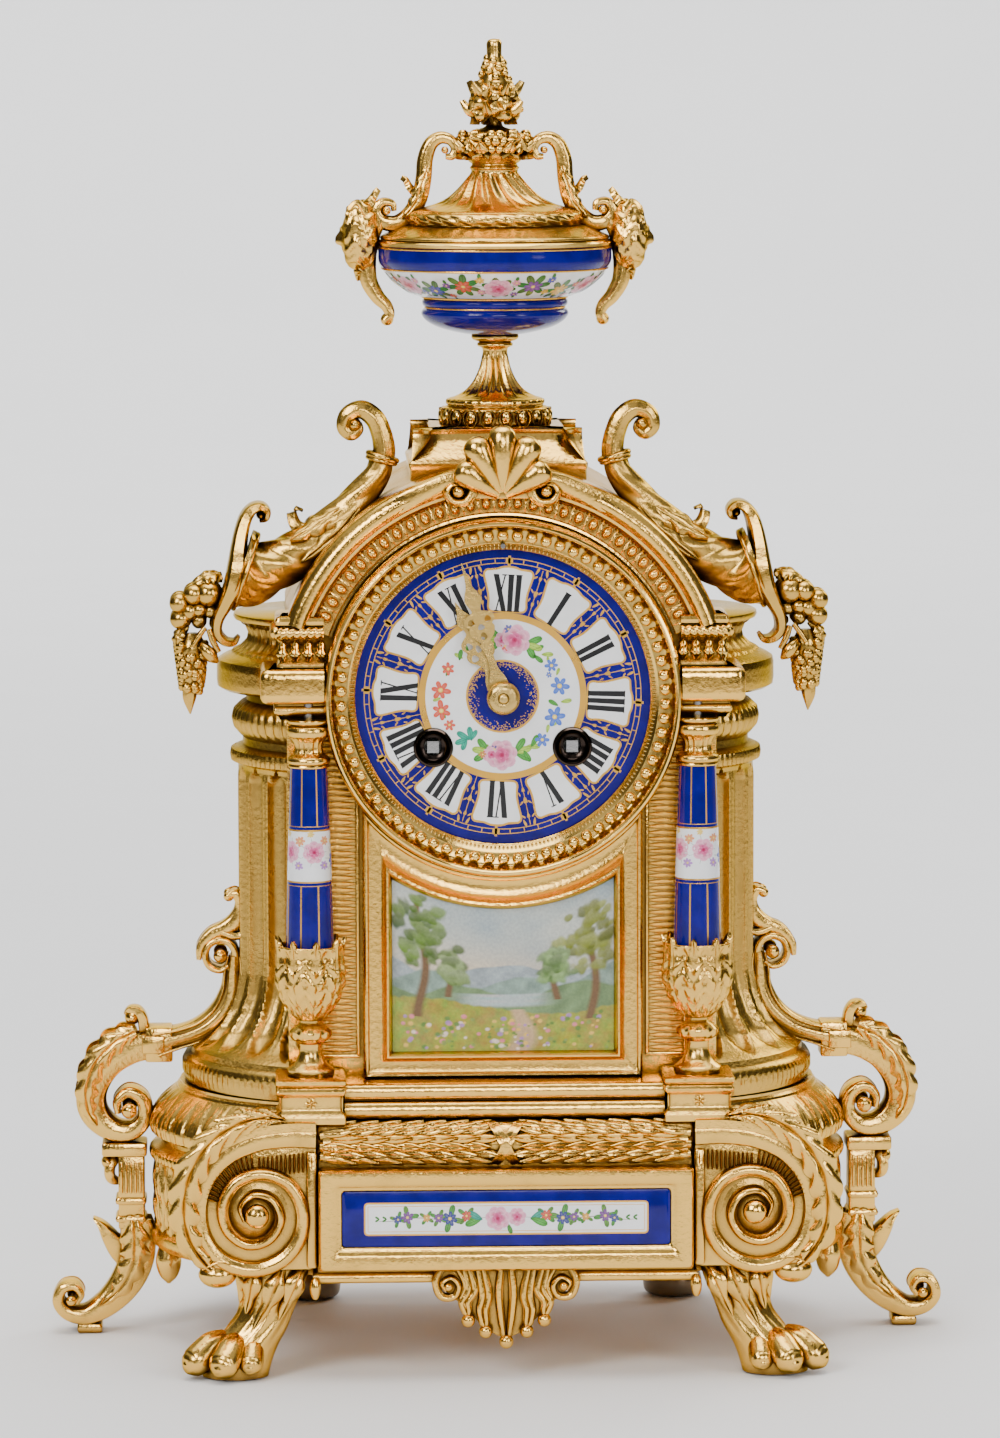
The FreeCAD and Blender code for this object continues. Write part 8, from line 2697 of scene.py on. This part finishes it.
            art.stroke(line[k:k + 5], 0.24, (0.14, 0.30, 0.08), 1)
        kinds = ("rose", "violet", "yellow", "rose", "blue", "red")
        tones = {"blue": (0.03, 0.05, 0.42), "red": (0.66, 0.07, 0.03), "violet": (0.20, 0.04, 0.30),
                 "yellow": (0.80, 0.44, 0.03)}
        for k in range(self.flowers):
            x = ring * k / self.flowers
            z = high * (0.5 + 0.10 * math.sin(x / 4.6))
            kind = kinds[k % 6]
            for j in range(7):
                art.leafy((x, z), 5.4, 51 * j + 14 * k, (0.02 + 0.03 * (j % 3), 0.13 + 0.03 * (j % 2), 0.03), 2)
            if kind == "rose":
                art.rose((x, z), 4.3, 5)
            else:
                art.daisy((x, z), 2.9, tones[kind], level=5)
            for lean in (-1, 1):
                spot = (x + 5.2, z + lean * 2.9)
                art.leafy(spot, 2.6, 90 * lean, (0.04, 0.17, 0.03), 2)
                art.daisy(spot, 1.4, tones.get(kinds[(k + 2 + lean) % 6], (0.74, 0.24, 0.36)), level=5)
        done.append(art.build("urn_flowers", slot="painted_porcelain"))
        return done

    def build_lid(self) -> Object:
        """The lid with a band of slanting leaves and a fluted neck.

        Returns:
            The piece that stands for the lid.
        """
        shell = Mould()
        profile = flow([(33.0, 340.5), (35.0, 340.9), (35.0, 341.8), (33.4, 342.6), (30.4, 343.8), (28.0, 344.8),
                        (26.6, 345.2), (26.4, 345.8), (27.1, 347.0), (26.8, 348.4), (25.6, 349.3), (24.6, 349.8),
                        (22.4, 350.4), (18.4, 351.6), (14.4, 353.6), (11.2, 356.4), (9.0, 359.0), (7.4, 361.0),
                        (7.2, 361.9), (7.6, 362.6), (7.0, 363.4), (6.8, 364.4)], 120)

        def carve(a: Array, z: Array) -> Array:
            """Slanting leaves, beads and flutes.

            Args:
                a: Angle about the lid, in radians.
                z: Height.

            Returns:
                Extra radius.
            """
            slant = 0.55 * np.abs(np.sin(15 * a + 1.1 * (z - 345))) * ((z > 345.6) & (z < 349.2))
            flute = (-0.11 * profile[:, :1] * bump(a * 18 / (2 * np.pi) + (z - 350) / 9, 0.8)
                     * np.clip((z - 350.2) / 1.5, 0, 1) * np.clip((361.6 - z) / 2, 0, 1))
            leaf = 0.12 * bump(a * 40 / (2 * np.pi)) * ((z > 342.2) & (z < 344.8))
            return slant + flute + leaf

        shell.lathe(profile, (0, self.y), 240, carve)
        return shell.build("urn_lid_dressed", GILT, instead=["urn_lid"])

    def build_finial(self) -> Object:
        """The bunch of flowers and fruit on top.

        Returns:
            The piece that stands for the finial.
        """
        shell = Mould()
        core = flow([(6.6, 363.6), (8.0, 364.6), (9.2, 366.2), (9.4, 367.4), (8.6, 370.4), (6.8, 373.6), (3.2, 375.0),
                     (2.4, 376.0), (2.5, 377.6), (4.6, 379.6), (6.2, 382.6), (5.6, 386.4), (4.0, 390.2), (3.4, 393.0),
                     (2.8, 395.4), (2.3, 397.0), (2.3, 400.4), (1.7, 401.6), (0.4, 402.0)], 80)
        shell.lathe(core, (0, self.y), 40)
        centre = np.array([0.0, self.y, 0.0])
        chance = np.random.default_rng(29)
        for k in range(8):
            a = 2 * math.pi * k / 8
            out = np.array([math.cos(a), math.sin(a), 0.55])
            spot = centre + np.array([9.6 * math.cos(a), 9.6 * math.sin(a), 370.6])
            if k % 2:
                shell.flower(spot - unit(out) * 0.6, out, 4.3, 5, 0.6)
            else:
                for j in range(6):
                    b = 2 * math.pi * j / 6
                    side = np.array([-math.sin(a) * math.cos(b), math.cos(a) * math.cos(b), math.sin(b)])
                    shell.ball(spot + side * 2.4, 1.7, 10)
                shell.ball(spot + out * 0.8, 1.7, 10)
            side = np.array([math.cos(a + 0.39), math.sin(a + 0.39), 0.0])
            shell.leaf([(*(centre + side * 8.2 + (0, 0, 366.4)), 1.6), (*(centre + side * 11.4 + (0, 0, 367.2)), 2.9),
                        (*(centre + side * 13.2 + (0, 0, 370.6)), 0.5)], (side[0], side[1], 1.0), lobes=2.0, rise=0.8,
                       thick=0.8, along=14, across=9)
        for count, ring, z, size, shift in ((5, 6.4, 380.6, 4.3, 0.0), (5, 5.2, 386.4, 3.9, 0.6)):
            for k in range(count):
                a = 2 * math.pi * (k + shift) / count
                out = np.array([math.cos(a), math.sin(a), -0.15 if shift == 0 else 0.5])
                spot = centre + np.array([ring * math.cos(a), ring * math.sin(a), z])
                shell.flower(spot - unit(out) * 0.7, out, size, 3, 0.75)
                side = np.array([math.cos(a + 0.63), math.sin(a + 0.63), 0.0])
                shell.leaf([(*(centre + side * (ring - 2.4) + (0, 0, z - 3.2)), 1.6),
                            (*(centre + side * (ring + 1.8) + (0, 0, z - 1.6)), 3.0),
                            (*(centre + side * (ring + 3.9) + (0, 0, z + 2.4)), 0.6)], (side[0], side[1], 0.4),
                           lobes=0.001, rise=1.2, thick=0.9, bend=0.6, along=14, across=9)
        for k in range(18):
            a, t = 2.4 * k, k / 17
            ring = 4.4 * (1 - 0.55 * t)
            shell.ball(centre + np.array([ring * math.cos(a), ring * math.sin(a), 389.6 + 6.4 * t]),
                       chance.uniform(1.25, 1.6), 10)
        shell.ball((0.9, self.y, 400.4), 1.5, 12, (1, 1, 1.1))
        shell.ball((-0.9, self.y, 400.0), 1.5, 12, (1, 1, 1.1))
        return shell.build("urn_finial_dressed", GILT, instead=["urn_finial"])

    def mask(self, shell: Shell, at: Sequence[float], size: float) -> None:
        """Carves a plain classical mask that looks outwards, with hair and beard.

        Args:
            shell: Shell to add it to.
            at: Its middle.
            size: Half its height.
        """
        turn = np.radians(np.linspace(0, 360, 56, endpoint=False))[None, :]
        tilt = np.radians(np.linspace(-88, 88, 48))[:, None]
        x = np.cos(tilt) * np.cos(turn)
        y = np.cos(tilt) * np.sin(turn)
        z = np.sin(tilt) + 0 * turn
        face = np.clip(x, 0, 1)

        def mound(cy: float, cz: float, wy: float, wz: float) -> Array:
            """A round rise on the face."""
            return np.exp(-(((y - cy) / wy) ** 2) - ((z - cz) / wz) ** 2) * face

        height = 0.32 * mound(0, -0.08, 0.11, 0.19) + 0.10 * mound(0, -0.20, 0.13,
                                                                   0.07) + 0.09 * mound(0, 0.22, 0.42, 0.07)
        height += 0.07 * mound(0, -0.40, 0.17, 0.035) + 0.07 * mound(0, -0.49, 0.15,
                                                                     0.035) + 0.16 * mound(0, -0.70, 0.20, 0.13)
        for s in (-1, 1):
            height = height - 0.10 * mound(s * 0.22, 0.08, 0.13, 0.09) + 0.055 * mound(s * 0.22, 0.07, 0.075, 0.04)
            height = height + 0.05 * mound(s * 0.34, -0.22, 0.15, 0.14)
        frame = np.clip((np.hypot(y / 0.62, (z - 0.02) / 0.72) - 0.86) / 0.2, 0, 1)
        curls = 0.12 + 0.05 * np.sin(11 * np.arctan2(z, y) + 3 * np.sin(6 * x))
        height = height * (1 - frame) + frame * curls
        reach = size * (1 + height)
        shell.grid(np.stack([at[0] + 0.62 * reach * x, at[1] + 0.72 * reach * y, at[2] + reach * z], -1))

    def build_handles(self) -> Object:
        """Both scrolled handles with their masks.

        Returns:
            The piece that stands for the handles.
        """
        shell = Mould()
        y = self.y
        half = Mould()
        bar = ((15.0, 366.0, 1.0), (13.0, 366.2, 1.5), (12.0, 368.4, 1.7), (13.4, 371.0, 1.9), (16.6, 371.8, 2.1),
               (19.6, 369.8, 2.3), (21.3, 365.1, 2.5), (21.8, 359.3, 2.5), (23.1, 353.5, 2.6), (26.0, 348.4, 2.7),
               (30.1, 345.6, 2.7), (34.4, 346.3, 2.5), (36.3, 349.4, 2.1), (34.4, 352.1, 1.7), (31.4, 351.7, 1.3),
               (30.9, 349.5, 1.0))
        tail = ((34.6, 347.0, 2.2), (37.6, 342.0, 2.9), (39.2, 335.0, 3.0), (38.8, 328.4, 2.7), (36.2, 323.4, 2.3),
                (33.4, 320.4, 2.0), (32.4, 317.6, 1.8), (33.8, 315.8, 1.4))
        for table in (bar, tail):
            half.scroll(table, y, 2.5, 0.05, 110, 20)
        front = Mould()
        for table in (bar, tail):
            front.ridge([(a, b, 0.82 * w, 1.1) for a, b, w in table], y - 1.9, 110, 0.6)
        front.ball((33.2, y - 2.9, 349.6), 1.3, 12)
        front.ball((15.2, y - 2.6, 368.0), 1.1, 12)
        front.leaf([(20.6, y - 3.0, 363.0, 1.0), (22.4, y - 3.8, 357.6, 2.3), (24.4, y - 3.8, 351.8, 2.4),
                    (28.4, y - 3.4, 347.2, 0.5)], lobes=4, rise=0.7, thick=0.8)
        half.join(front.faced_both(y))
        half.leaf([(22.6, y, 354.0, 1.6), (25.0, y, 356.8, 2.6), (26.6, y, 359.2, 1.8), (28.4, y, 360.2, 0.3)],
                  (-0.6, 0, 1), lobes=2, rise=0.6, thick=1.2)
        self.mask(half, (41.2, y, 342.0), 9.6)
        half.leaf([(40.6, y, 334.6, 2.6), (43.0, y, 331.4, 3.6), (42.0, y, 328.0, 0.4)], (1, 0, -0.2), lobes=3,
                  rise=0.8, thick=1.2)
        half.leaf([(43.6, y, 350.0, 1.6), (39.6, y, 352.6, 3.2), (36.0, y, 356.6, 0.4)], (0.6, 0, 1), lobes=3,
                  rise=0.7, thick=1.4)
        half.ball((33.2, y, 316.2), 2.0, 14)
        shell.join(half.mirrored_both())
        return shell.build("urn_handles_dressed", GILT, instead=["urn_handles"])

    def build(self) -> list[Object]:
        """Builds the whole urn."""
        return [*self.build_plinth(), *self.build_stem(), *self.build_bowl(), self.build_lid(), self.build_finial(),
                self.build_handles()]


@dataclass
class Crown:
    """Shell of lobes on the crown of the arch, and the cornucopias on its shoulders."""

    horn_y: float = -22.0
    crook: tuple = ((42.8, 286.2, 1.3), (42.6, 284.0, 1.6), (44.8, 282.6, 1.9), (47.0, 284.8, 2.2), (45.8, 288.6, 2.6),
                    (41.6, 290.2, 2.9), (37.7, 287.6, 3.1), (35.7, 283.2, 3.2), (34.8, 278.6, 3.4), (35.1, 275.0, 3.6))
    horn: tuple = ((35.3, 275.8, 3.6), (36.8, 271.0, 4.0), (40.3, 265.8, 4.7), (44.9, 260.4, 5.5), (50.2, 254.8, 6.3),
                   (55.8, 250.0, 6.9), (60.2, 246.9, 7.2), (64.6, 244.6, 7.5), (69.0, 242.6, 7.9), (72.8, 241.2, 9.0),
                   (76.0, 240.8, 11.0), (78.6, 241.6, 13.2))
    lip: tuple = ((72.8, 256.4, 0.8), (70.8, 257.2, 1.1), (70.4, 259.4, 1.3), (72.2, 261.0, 1.5), (74.8, 260.4, 1.8),
                  (76.9, 257.8, 2.1), (78.2, 253.8, 2.3), (79.1, 248.6, 2.6), (79.7, 242.7, 3.1), (81.0, 236.8, 3.1),
                  (83.4, 231.6, 2.5), (85.6, 226.9, 2.0), (85.9, 222.6, 1.8), (83.6, 219.9, 1.6), (80.9, 219.6, 1.5),
                  (79.4, 221.4, 1.1))
    fruit: tuple = ((88.4, 234.8, 4.1), (97.3, 231.9, 3.1), (96.9, 227.0, 3.4), (91.2, 229.9, 2.3), (87.7, 229.4, 2.4),
                    (91.4, 226.4, 2.4), (92.8, 234.6, 3.4), (94.0, 229.4, 2.8), (86.4, 225.6, 2.0))
    fan_z: float = 265.6
    fan_reach: float = 21.5
    grapes: int = 120
    grape_r: float = 1.45
    bunch_place: tuple = (93.8, 3.0, 219.6)
    bunch_half: float = 4.4
    bunch_drop: float = 15.0
    lobe: tuple = ((0.1, 1.4), (0.35, 2.6), (0.6, 3.7), (0.8, 4.3), (0.92, 3.7), (0.99, 2.0), (1.01, 0.2))

    def fan(self, angle: float, reach: float) -> tuple[float, float, float]:
        """Point of the keystone's fan by angle from straight up and distance from its root."""
        x, z = polar(angle, reach, (0.0, self.fan_z))
        return x, -54.2 - 2.2 * math.sin(math.pi * min(reach / self.fan_reach, 1.0)), z

    def build_keystone(self) -> Object:
        """The shell of rounded lobes over the crown, with its scrolls.

        Returns:
            The piece that stands for it.
        """
        shell = Mould()
        half = Mould()
        for angle, length in ((27, 20.0), (55, 16.5)):
            half.rod([(*self.fan(angle, share * length), size) for share, size in self.lobe], 44, 28)
        half.ridge([(32.0, 263.0, 2.6, 0.4), (23.0, 267.6, 2.8, 1.4), (15.8, 270.8, 2.6, 2.0), (10.8, 271.0, 2.1, 2.4),
                    (8.9, 267.8, 1.8, 2.6), (11.0, 264.6, 1.6, 2.8), (14.8, 264.6, 1.45, 2.9),
                    (16.6, 267.2, 1.25, 3.0), (15.3, 269.4, 1.0, 3.0), (13.4, 269.6, 0.8, 3.0)], -53.2, 170, 4)
        half.ball((13.2, -55.4, 267.6), 1.8, 16)
        shell.join(half.mirrored_both())
        shell.rod([(*self.fan(0, self.fan_reach * share), size) for share, size in self.lobe], 44, 28)
        shell.slab(soften([(-10, 265), (10, 265), (12, 274), (9, 281.0), (0, 284.6), (-9, 281.0), (-12, 274)], 2, 4,
                          True), -54.0, -44.4, 1.0)
        return shell.build("keystone_dressed", GILT, instead=["keystone_leaf"])

    def build_horn(self) -> Mould:
        """The right cornucopia.

        Returns:
            The shell.
        """
        shell = Mould()
        y = self.horn_y
        shell.rod([(a, y, b, r) for a, b, r in self.crook], 80, 26, 8, 0.0, 0.10)
        shell.ball((43.6, y, 285.6), 2.1, 14, (1, 1.5, 1))
        shell.rod([(a, y, b, 0.94 * r) for a, b, r in self.horn], 150, 96, 5, 1.1, -0.10)
        rows = flow(self.horn, 150)
        way = unit(np.gradient(rows[:, :2], axis=0))
        for k, grow, size in ((0, 1.22, 0.95), (3, 1.16, 0.75), (-9, 1.0, 0.8)):
            ring = once_round(48)
            side = np.array([-way[k, 1], 0, way[k, 0]])
            loop = (np.array([rows[k, 0], y, rows[k, 1]]) + side * (rows[k, 2] * grow * np.cos(ring))[:, None]
                    + FRONT * (rows[k, 2] * grow * np.sin(ring))[:, None])
            shell.sweep(loop, unit(loop - loop.mean(0)), np.array([way[k, 0], 0, way[k, 1]]),
                        round_outline((0, 0), size, 12), True)
        for spine, out in (
                ([(45.6, y - 3.6, 262.0, 1.6), (51.4, y - 5.4, 258.4, 3.0), (57.6, y - 6.2, 254.6, 3.2),
                  (63.6, y - 7.2, 251.0, 0.5)], (0, -1, 0.7)),
                ([(42.8, y - 5.0, 260.6, 1.4), (47.4, y - 6.8, 254.8, 2.8), (53.6, y - 7.4, 249.4, 2.8),
                  (60.4, y - 8.2, 244.4, 0.5)], (0, -1, 0)),
                ([(45.0, y + 3.6, 262.4, 1.6), (51.4, y + 5.4, 258.4, 3.0), (57.6, y + 6.2, 254.6, 3.2),
                  (63.6, y + 7.2, 251.0, 0.5)], (0, 1, 0.7))):
            shell.leaf(spine, out, lobes=3, rise=0.8, thick=1.2)
        shell.leaf([(44.6, y, 264.0, 3.4), (50.4, y, 259.2, 4.8), (56.4, y, 255.8, 4.6), (60.2, y, 256.0, 3.2),
                    (62.0, y, 259.4, 1.4), (61.4, y, 261.0, 0.5)], (0.2, 0, 1), lobes=2, rise=0.8, thick=1.8, bend=0.6)
        shell.scroll(self.lip, y, 13.0, 0.04, 120, 20, 0.75)
        shell.ball((72.4, y, 258.4), 1.5, 14, (1, 3.4, 1))
        return shell

    def build_fruit(self) -> Mould:
        """Fruit, grapes and leaves at the right horn's mouth.

        Returns:
            The shell.
        """
        shell = Mould()
        y = self.horn_y
        rng = np.random.default_rng(17)
        for k, (x, z, r) in enumerate(self.fruit):
            for dy in (-5.6 + 0.9 * (k % 3), 2.6 + 0.8 * (k % 2)):
                shell.ball((x, y + dy, z), r, 22, (1, 1, 0.96 + 0.06 * (k % 2)))
        x, behind, top = self.bunch_place
        for _ in range(self.grapes):
            t, a = rng.uniform(0, 1), rng.uniform(0, 2 * math.pi)
            half = self.bunch_half * (1 - 0.42 * t)
            shell.ball((x + half * math.cos(a), y - behind + half * math.sin(a), top - self.bunch_drop * t),
                       self.grape_r, 9)
        shell.rod([(93.6, y - 3.0, 222.6, 2.4), (93.6, y - 3.0, 218.4, 4.2), (93.8, y - 3.0, 211.4, 3.6),
                   (94.2, y - 3.0, 204.6, 2.2)], 20, 16)
        shell.rod([(94.5, y - 3.0, 205.0, 2.4), (94.6, y - 3.0, 202.2, 2.0), (94.3, y - 3.0, 197.8, 0.2)], 8, 7)
        shell.rod([(90.8, y - 7.2, 220.0, 0.8), (89.2, y - 7.8, 217.8, 1.9), (87.4, y - 7.6, 215.6, 1.9),
                   (85.8, y - 7.0, 214.0, 0.5)], 20, 14)
        for line in (((89.5, 224.8, 0.8), (91.4, 222.2, 0.9), (93.4, 219.2, 0.8)),
                     ((88.4, 224.2, 0.9), (87.2, 220.6, 1.0), (85.4, 217.2, 0.8))):
            shell.rod([(a, y - 8.2, b, r) for a, b, r in line], 16, 10)
        for spine, out in (
                ([(84.6, y - 4.0, 240.2, 1.8), (89.0, y - 6.0, 240.4, 3.2), (93.6, y - 6.0, 237.2, 0.5)],
                 (0.3, -0.5, 1)),
                ([(84.6, y + 4.0, 240.2, 1.8), (89.0, y + 5.0, 240.4, 3.2), (93.6, y + 4.6, 237.2, 0.5)],
                 (0.3, 0.5, 1)),
                ([(95.6, y - 4.0, 225.0, 1.2), (98.2, y - 6.0, 221.6, 2.2), (97.6, y - 5.6, 216.8, 0.4)], (0.6, -1, 0)),
                ([(95.6, y, 225.0, 1.2), (98.6, y + 1.0, 221.2, 2.4), (98.2, y, 216.0, 0.4)], (1, 0.4, 0))):
            shell.leaf(spine, out, lobes=3, rise=0.8, thick=0.9, along=26, across=11)
        return shell

    def build_horns(self) -> list[Object]:
        """Both cornucopias with their fruit.

        Returns:
            The horns, and the fruit in them.
        """
        horn, fruit = self.build_horn(), self.build_fruit()
        return [horn.mirrored_both().build("cornucopias_dressed", GILT_SHADED, instead=["cornucopias"]),
                fruit.mirrored_both().build("cornucopia_fruit", GILT_SHADED)]

    def build(self) -> list[Object]:
        """Builds the crown's mounts."""
        return [self.build_keystone(), *self.build_horns()]


# --------------------------------------------------------------------------- what stays from the frame
class Works:
    """The movement, bell and casing, which keep their own shapes and get their finishes."""

    finishes = {"gilt_bronze": SHEET, "case_brass": SHEET, "dark_bronze": DARK_BRONZE, "blue_porcelain": COBALT,
                "painted_porcelain": WHITE, "movement_brass": BRASS, "hand_brass": HAND, "steel": STEEL,
                "bell_bronze": BELL_METAL}

    def build(self) -> list[Object]:
        """Gives each carried node its finish.

        Returns:
            The nodes.
        """
        done = []
        for part in frame["record"]["subparts"]:
            node = frame["nodes"][part["node"]]
            finish = self.finishes[part["material_slot"]].material()
            if not node.material_slots:
                node.data.materials.append(finish)
            for place in node.material_slots:
                place.material = finish
            done.append(node)
        return done


# --------------------------------------------------------------------------- the studio
@dataclass
class Studio:
    """Pale floor, soft lights and the camera at the photograph's angle."""

    camera_place: tuple = (-0.0726, -2.067, 0.423)
    pitch: float = 6.35
    yaw: float = 2.04
    roll: float = 0.17
    lens: float = 168.6
    lamps: tuple = (("key", (-1.1, -1.5, 1.3), (0, 0, 0.2), 0.7, 0.9, 26.0),
                    ("fill", (1.3, -1.5, 0.8), (0, 0, 0.2), 0.45, 1.0, 9.0),
                    ("front", (0.25, -2.7, 1.0), (0, 0, 0.2), 1.0, 0.7, 22.0),
                    ("top", (0.0, -0.2, 1.6), (0, 0, 0.2), 1.1, 0.8, 13.0),
                    ("rim", (1.1, 1.2, 1.0), (0, 0, 0.25), 0.6, 0.8, 9.0),
                    ("backdrop", (0.0, 2.4, 2.6), (0, 4.3, 0.6), 3.6, 0.8, 130.0),
                    ("floor", (0.0, 0.6, 2.4), (0, 0.9, 0), 3.0, 1.6, 34.0))

    sweep: tuple = ((-5.0, 0.0), (3.2, 0.0), (3.6, 0.03), (3.95, 0.14), (4.2, 0.4), (4.3, 0.8), (4.3, 3.6))
    sweep_half: float = 5.0
    room_strength: float = 0.56

    def build_floor(self) -> None:
        """A sweep of pale paper whose colour is painted darker away from the clock, as painted shade out of the
        camera's sight.
        """
        mesh = bpy.data.meshes.new("studio_floor")
        points = [(x, y, z) for y, z in self.sweep for x in (-self.sweep_half, self.sweep_half)]
        mesh.from_pydata(points, [], [(2 * k, 2 * k + 1, 2 * k + 3, 2 * k + 2) for k in range(len(self.sweep) - 1)])
        for face in mesh.polygons:
            face.use_smooth = True
        floor = bpy.data.objects.new("studio_floor", mesh)
        bpy.context.scene.collection.objects.link(floor)
        paper = bpy.data.materials.new("paper")
        paper.use_nodes = True
        w = Wires(paper.node_tree)
        shader = paper.node_tree.nodes["Principled BSDF"]
        grain = w.node("TexNoise", {"Vector": w.node("TexCoord").outputs["Object"], "Scale": 9.0}).outputs[0]
        paper_tone = w.mix(grain, (0.86, 0.86, 0.86, 1), (0.89, 0.89, 0.89, 1))
        spot = w.node("SeparateXYZ", {0: w.node("TexCoord").outputs["Object"]}).outputs
        # Painted shade: the paper's colour darkens towards the sides and the front, as light falling off.
        painted_falloff = w.sum("MAXIMUM", w.ramp(w.sum("ABSOLUTE", spot[0]), 0.9, 1.9),
                     w.ramp(w.sum("MULTIPLY", spot[1], -1.0), 0.6, 1.6))
        w.tree.links.new(w.mix(painted_falloff, paper_tone, (0.38, 0.37, 0.36, 1)), shader.inputs["Base Color"])
        shader.inputs["Roughness"].default_value = 0.7
        mesh.materials.append(paper)

    def build_lamps(self) -> None:
        """Soft lights and a pale room."""
        for name, place, aim, width, height, power in self.lamps:
            data = bpy.data.lights.new(name, "AREA")
            data.shape, data.size, data.size_y, data.energy = "RECTANGLE", width, height, power
            lamp = bpy.data.objects.new(name, data)
            lamp.location = place
            lamp.rotation_euler = (Vector(aim) - Vector(place)).to_track_quat("-Z", "Y").to_euler()
            bpy.context.scene.collection.objects.link(lamp)
        world = bpy.data.worlds.new("studio_room")
        world.use_nodes = True
        bpy.context.scene.world = world
        w = Wires(world.node_tree)
        way = w.node("SeparateXYZ", {0: w.node("TexCoord").outputs["Generated"]}).outputs
        tone = w.mix(w.ramp(way[2], -0.45, 0.55), (0.035, 0.028, 0.020, 1), (0.95, 0.97, 1.0, 1))
        bands = w.ramp(w.sum("COSINE", w.sum("MULTIPLY", way[0], 10.1)), -0.2, 0.7)
        strip = w.mix(bands, (0.04, 0.032, 0.022, 1), (1.0, 1.0, 1.0, 1))
        tone = w.node("Mix", {0: 0.85, 6: tone, 7: strip}, data_type="RGBA", blend_type="MULTIPLY").outputs[2]
        w.tree.links.new(tone, world.node_tree.nodes["Background"].inputs["Color"])
        world.node_tree.nodes["Background"].inputs["Strength"].default_value = self.room_strength

    def build_camera(self) -> None:
        """The camera of the photograph."""
        data = bpy.data.cameras.new("camera")
        data.lens, data.sensor_width, data.sensor_fit = self.lens, 36.0, "AUTO"
        data.clip_start, data.clip_end = 0.05, 20.0
        camera = bpy.data.objects.new("camera", data)
        turn = (Matrix.Rotation(math.radians(-self.yaw), 4, "Z")
                @ Matrix.Rotation(math.radians(90 - self.pitch), 4, "X")
                @ Matrix.Rotation(math.radians(-self.roll), 4, "Z"))
        camera.matrix_world = Matrix.Translation(self.camera_place) @ turn
        bpy.context.scene.collection.objects.link(camera)
        bpy.context.scene.camera = camera

    def build(self) -> None:
        """Builds the studio."""
        self.build_floor()
        self.build_lamps()
        self.build_camera()


def main() -> None:
    """Builds every sub-assembly in order and reports it."""
    logging.basicConfig(level=logging.INFO, format="%(name)s: %(message)s")
    for assembly in (Works(), Plinth(), Tablet(), Apron(), PawBracket(), SideScroll(), CaseFront(), Tower(),
                     PicturePanel(), Column(), Dial(), Urn(), Crown()):
        pieces = assembly.build()
        LOG.info("%s: %d pieces", type(assembly).__name__, len(pieces))
    Studio().build()


if __name__ == "__main__":
    main()
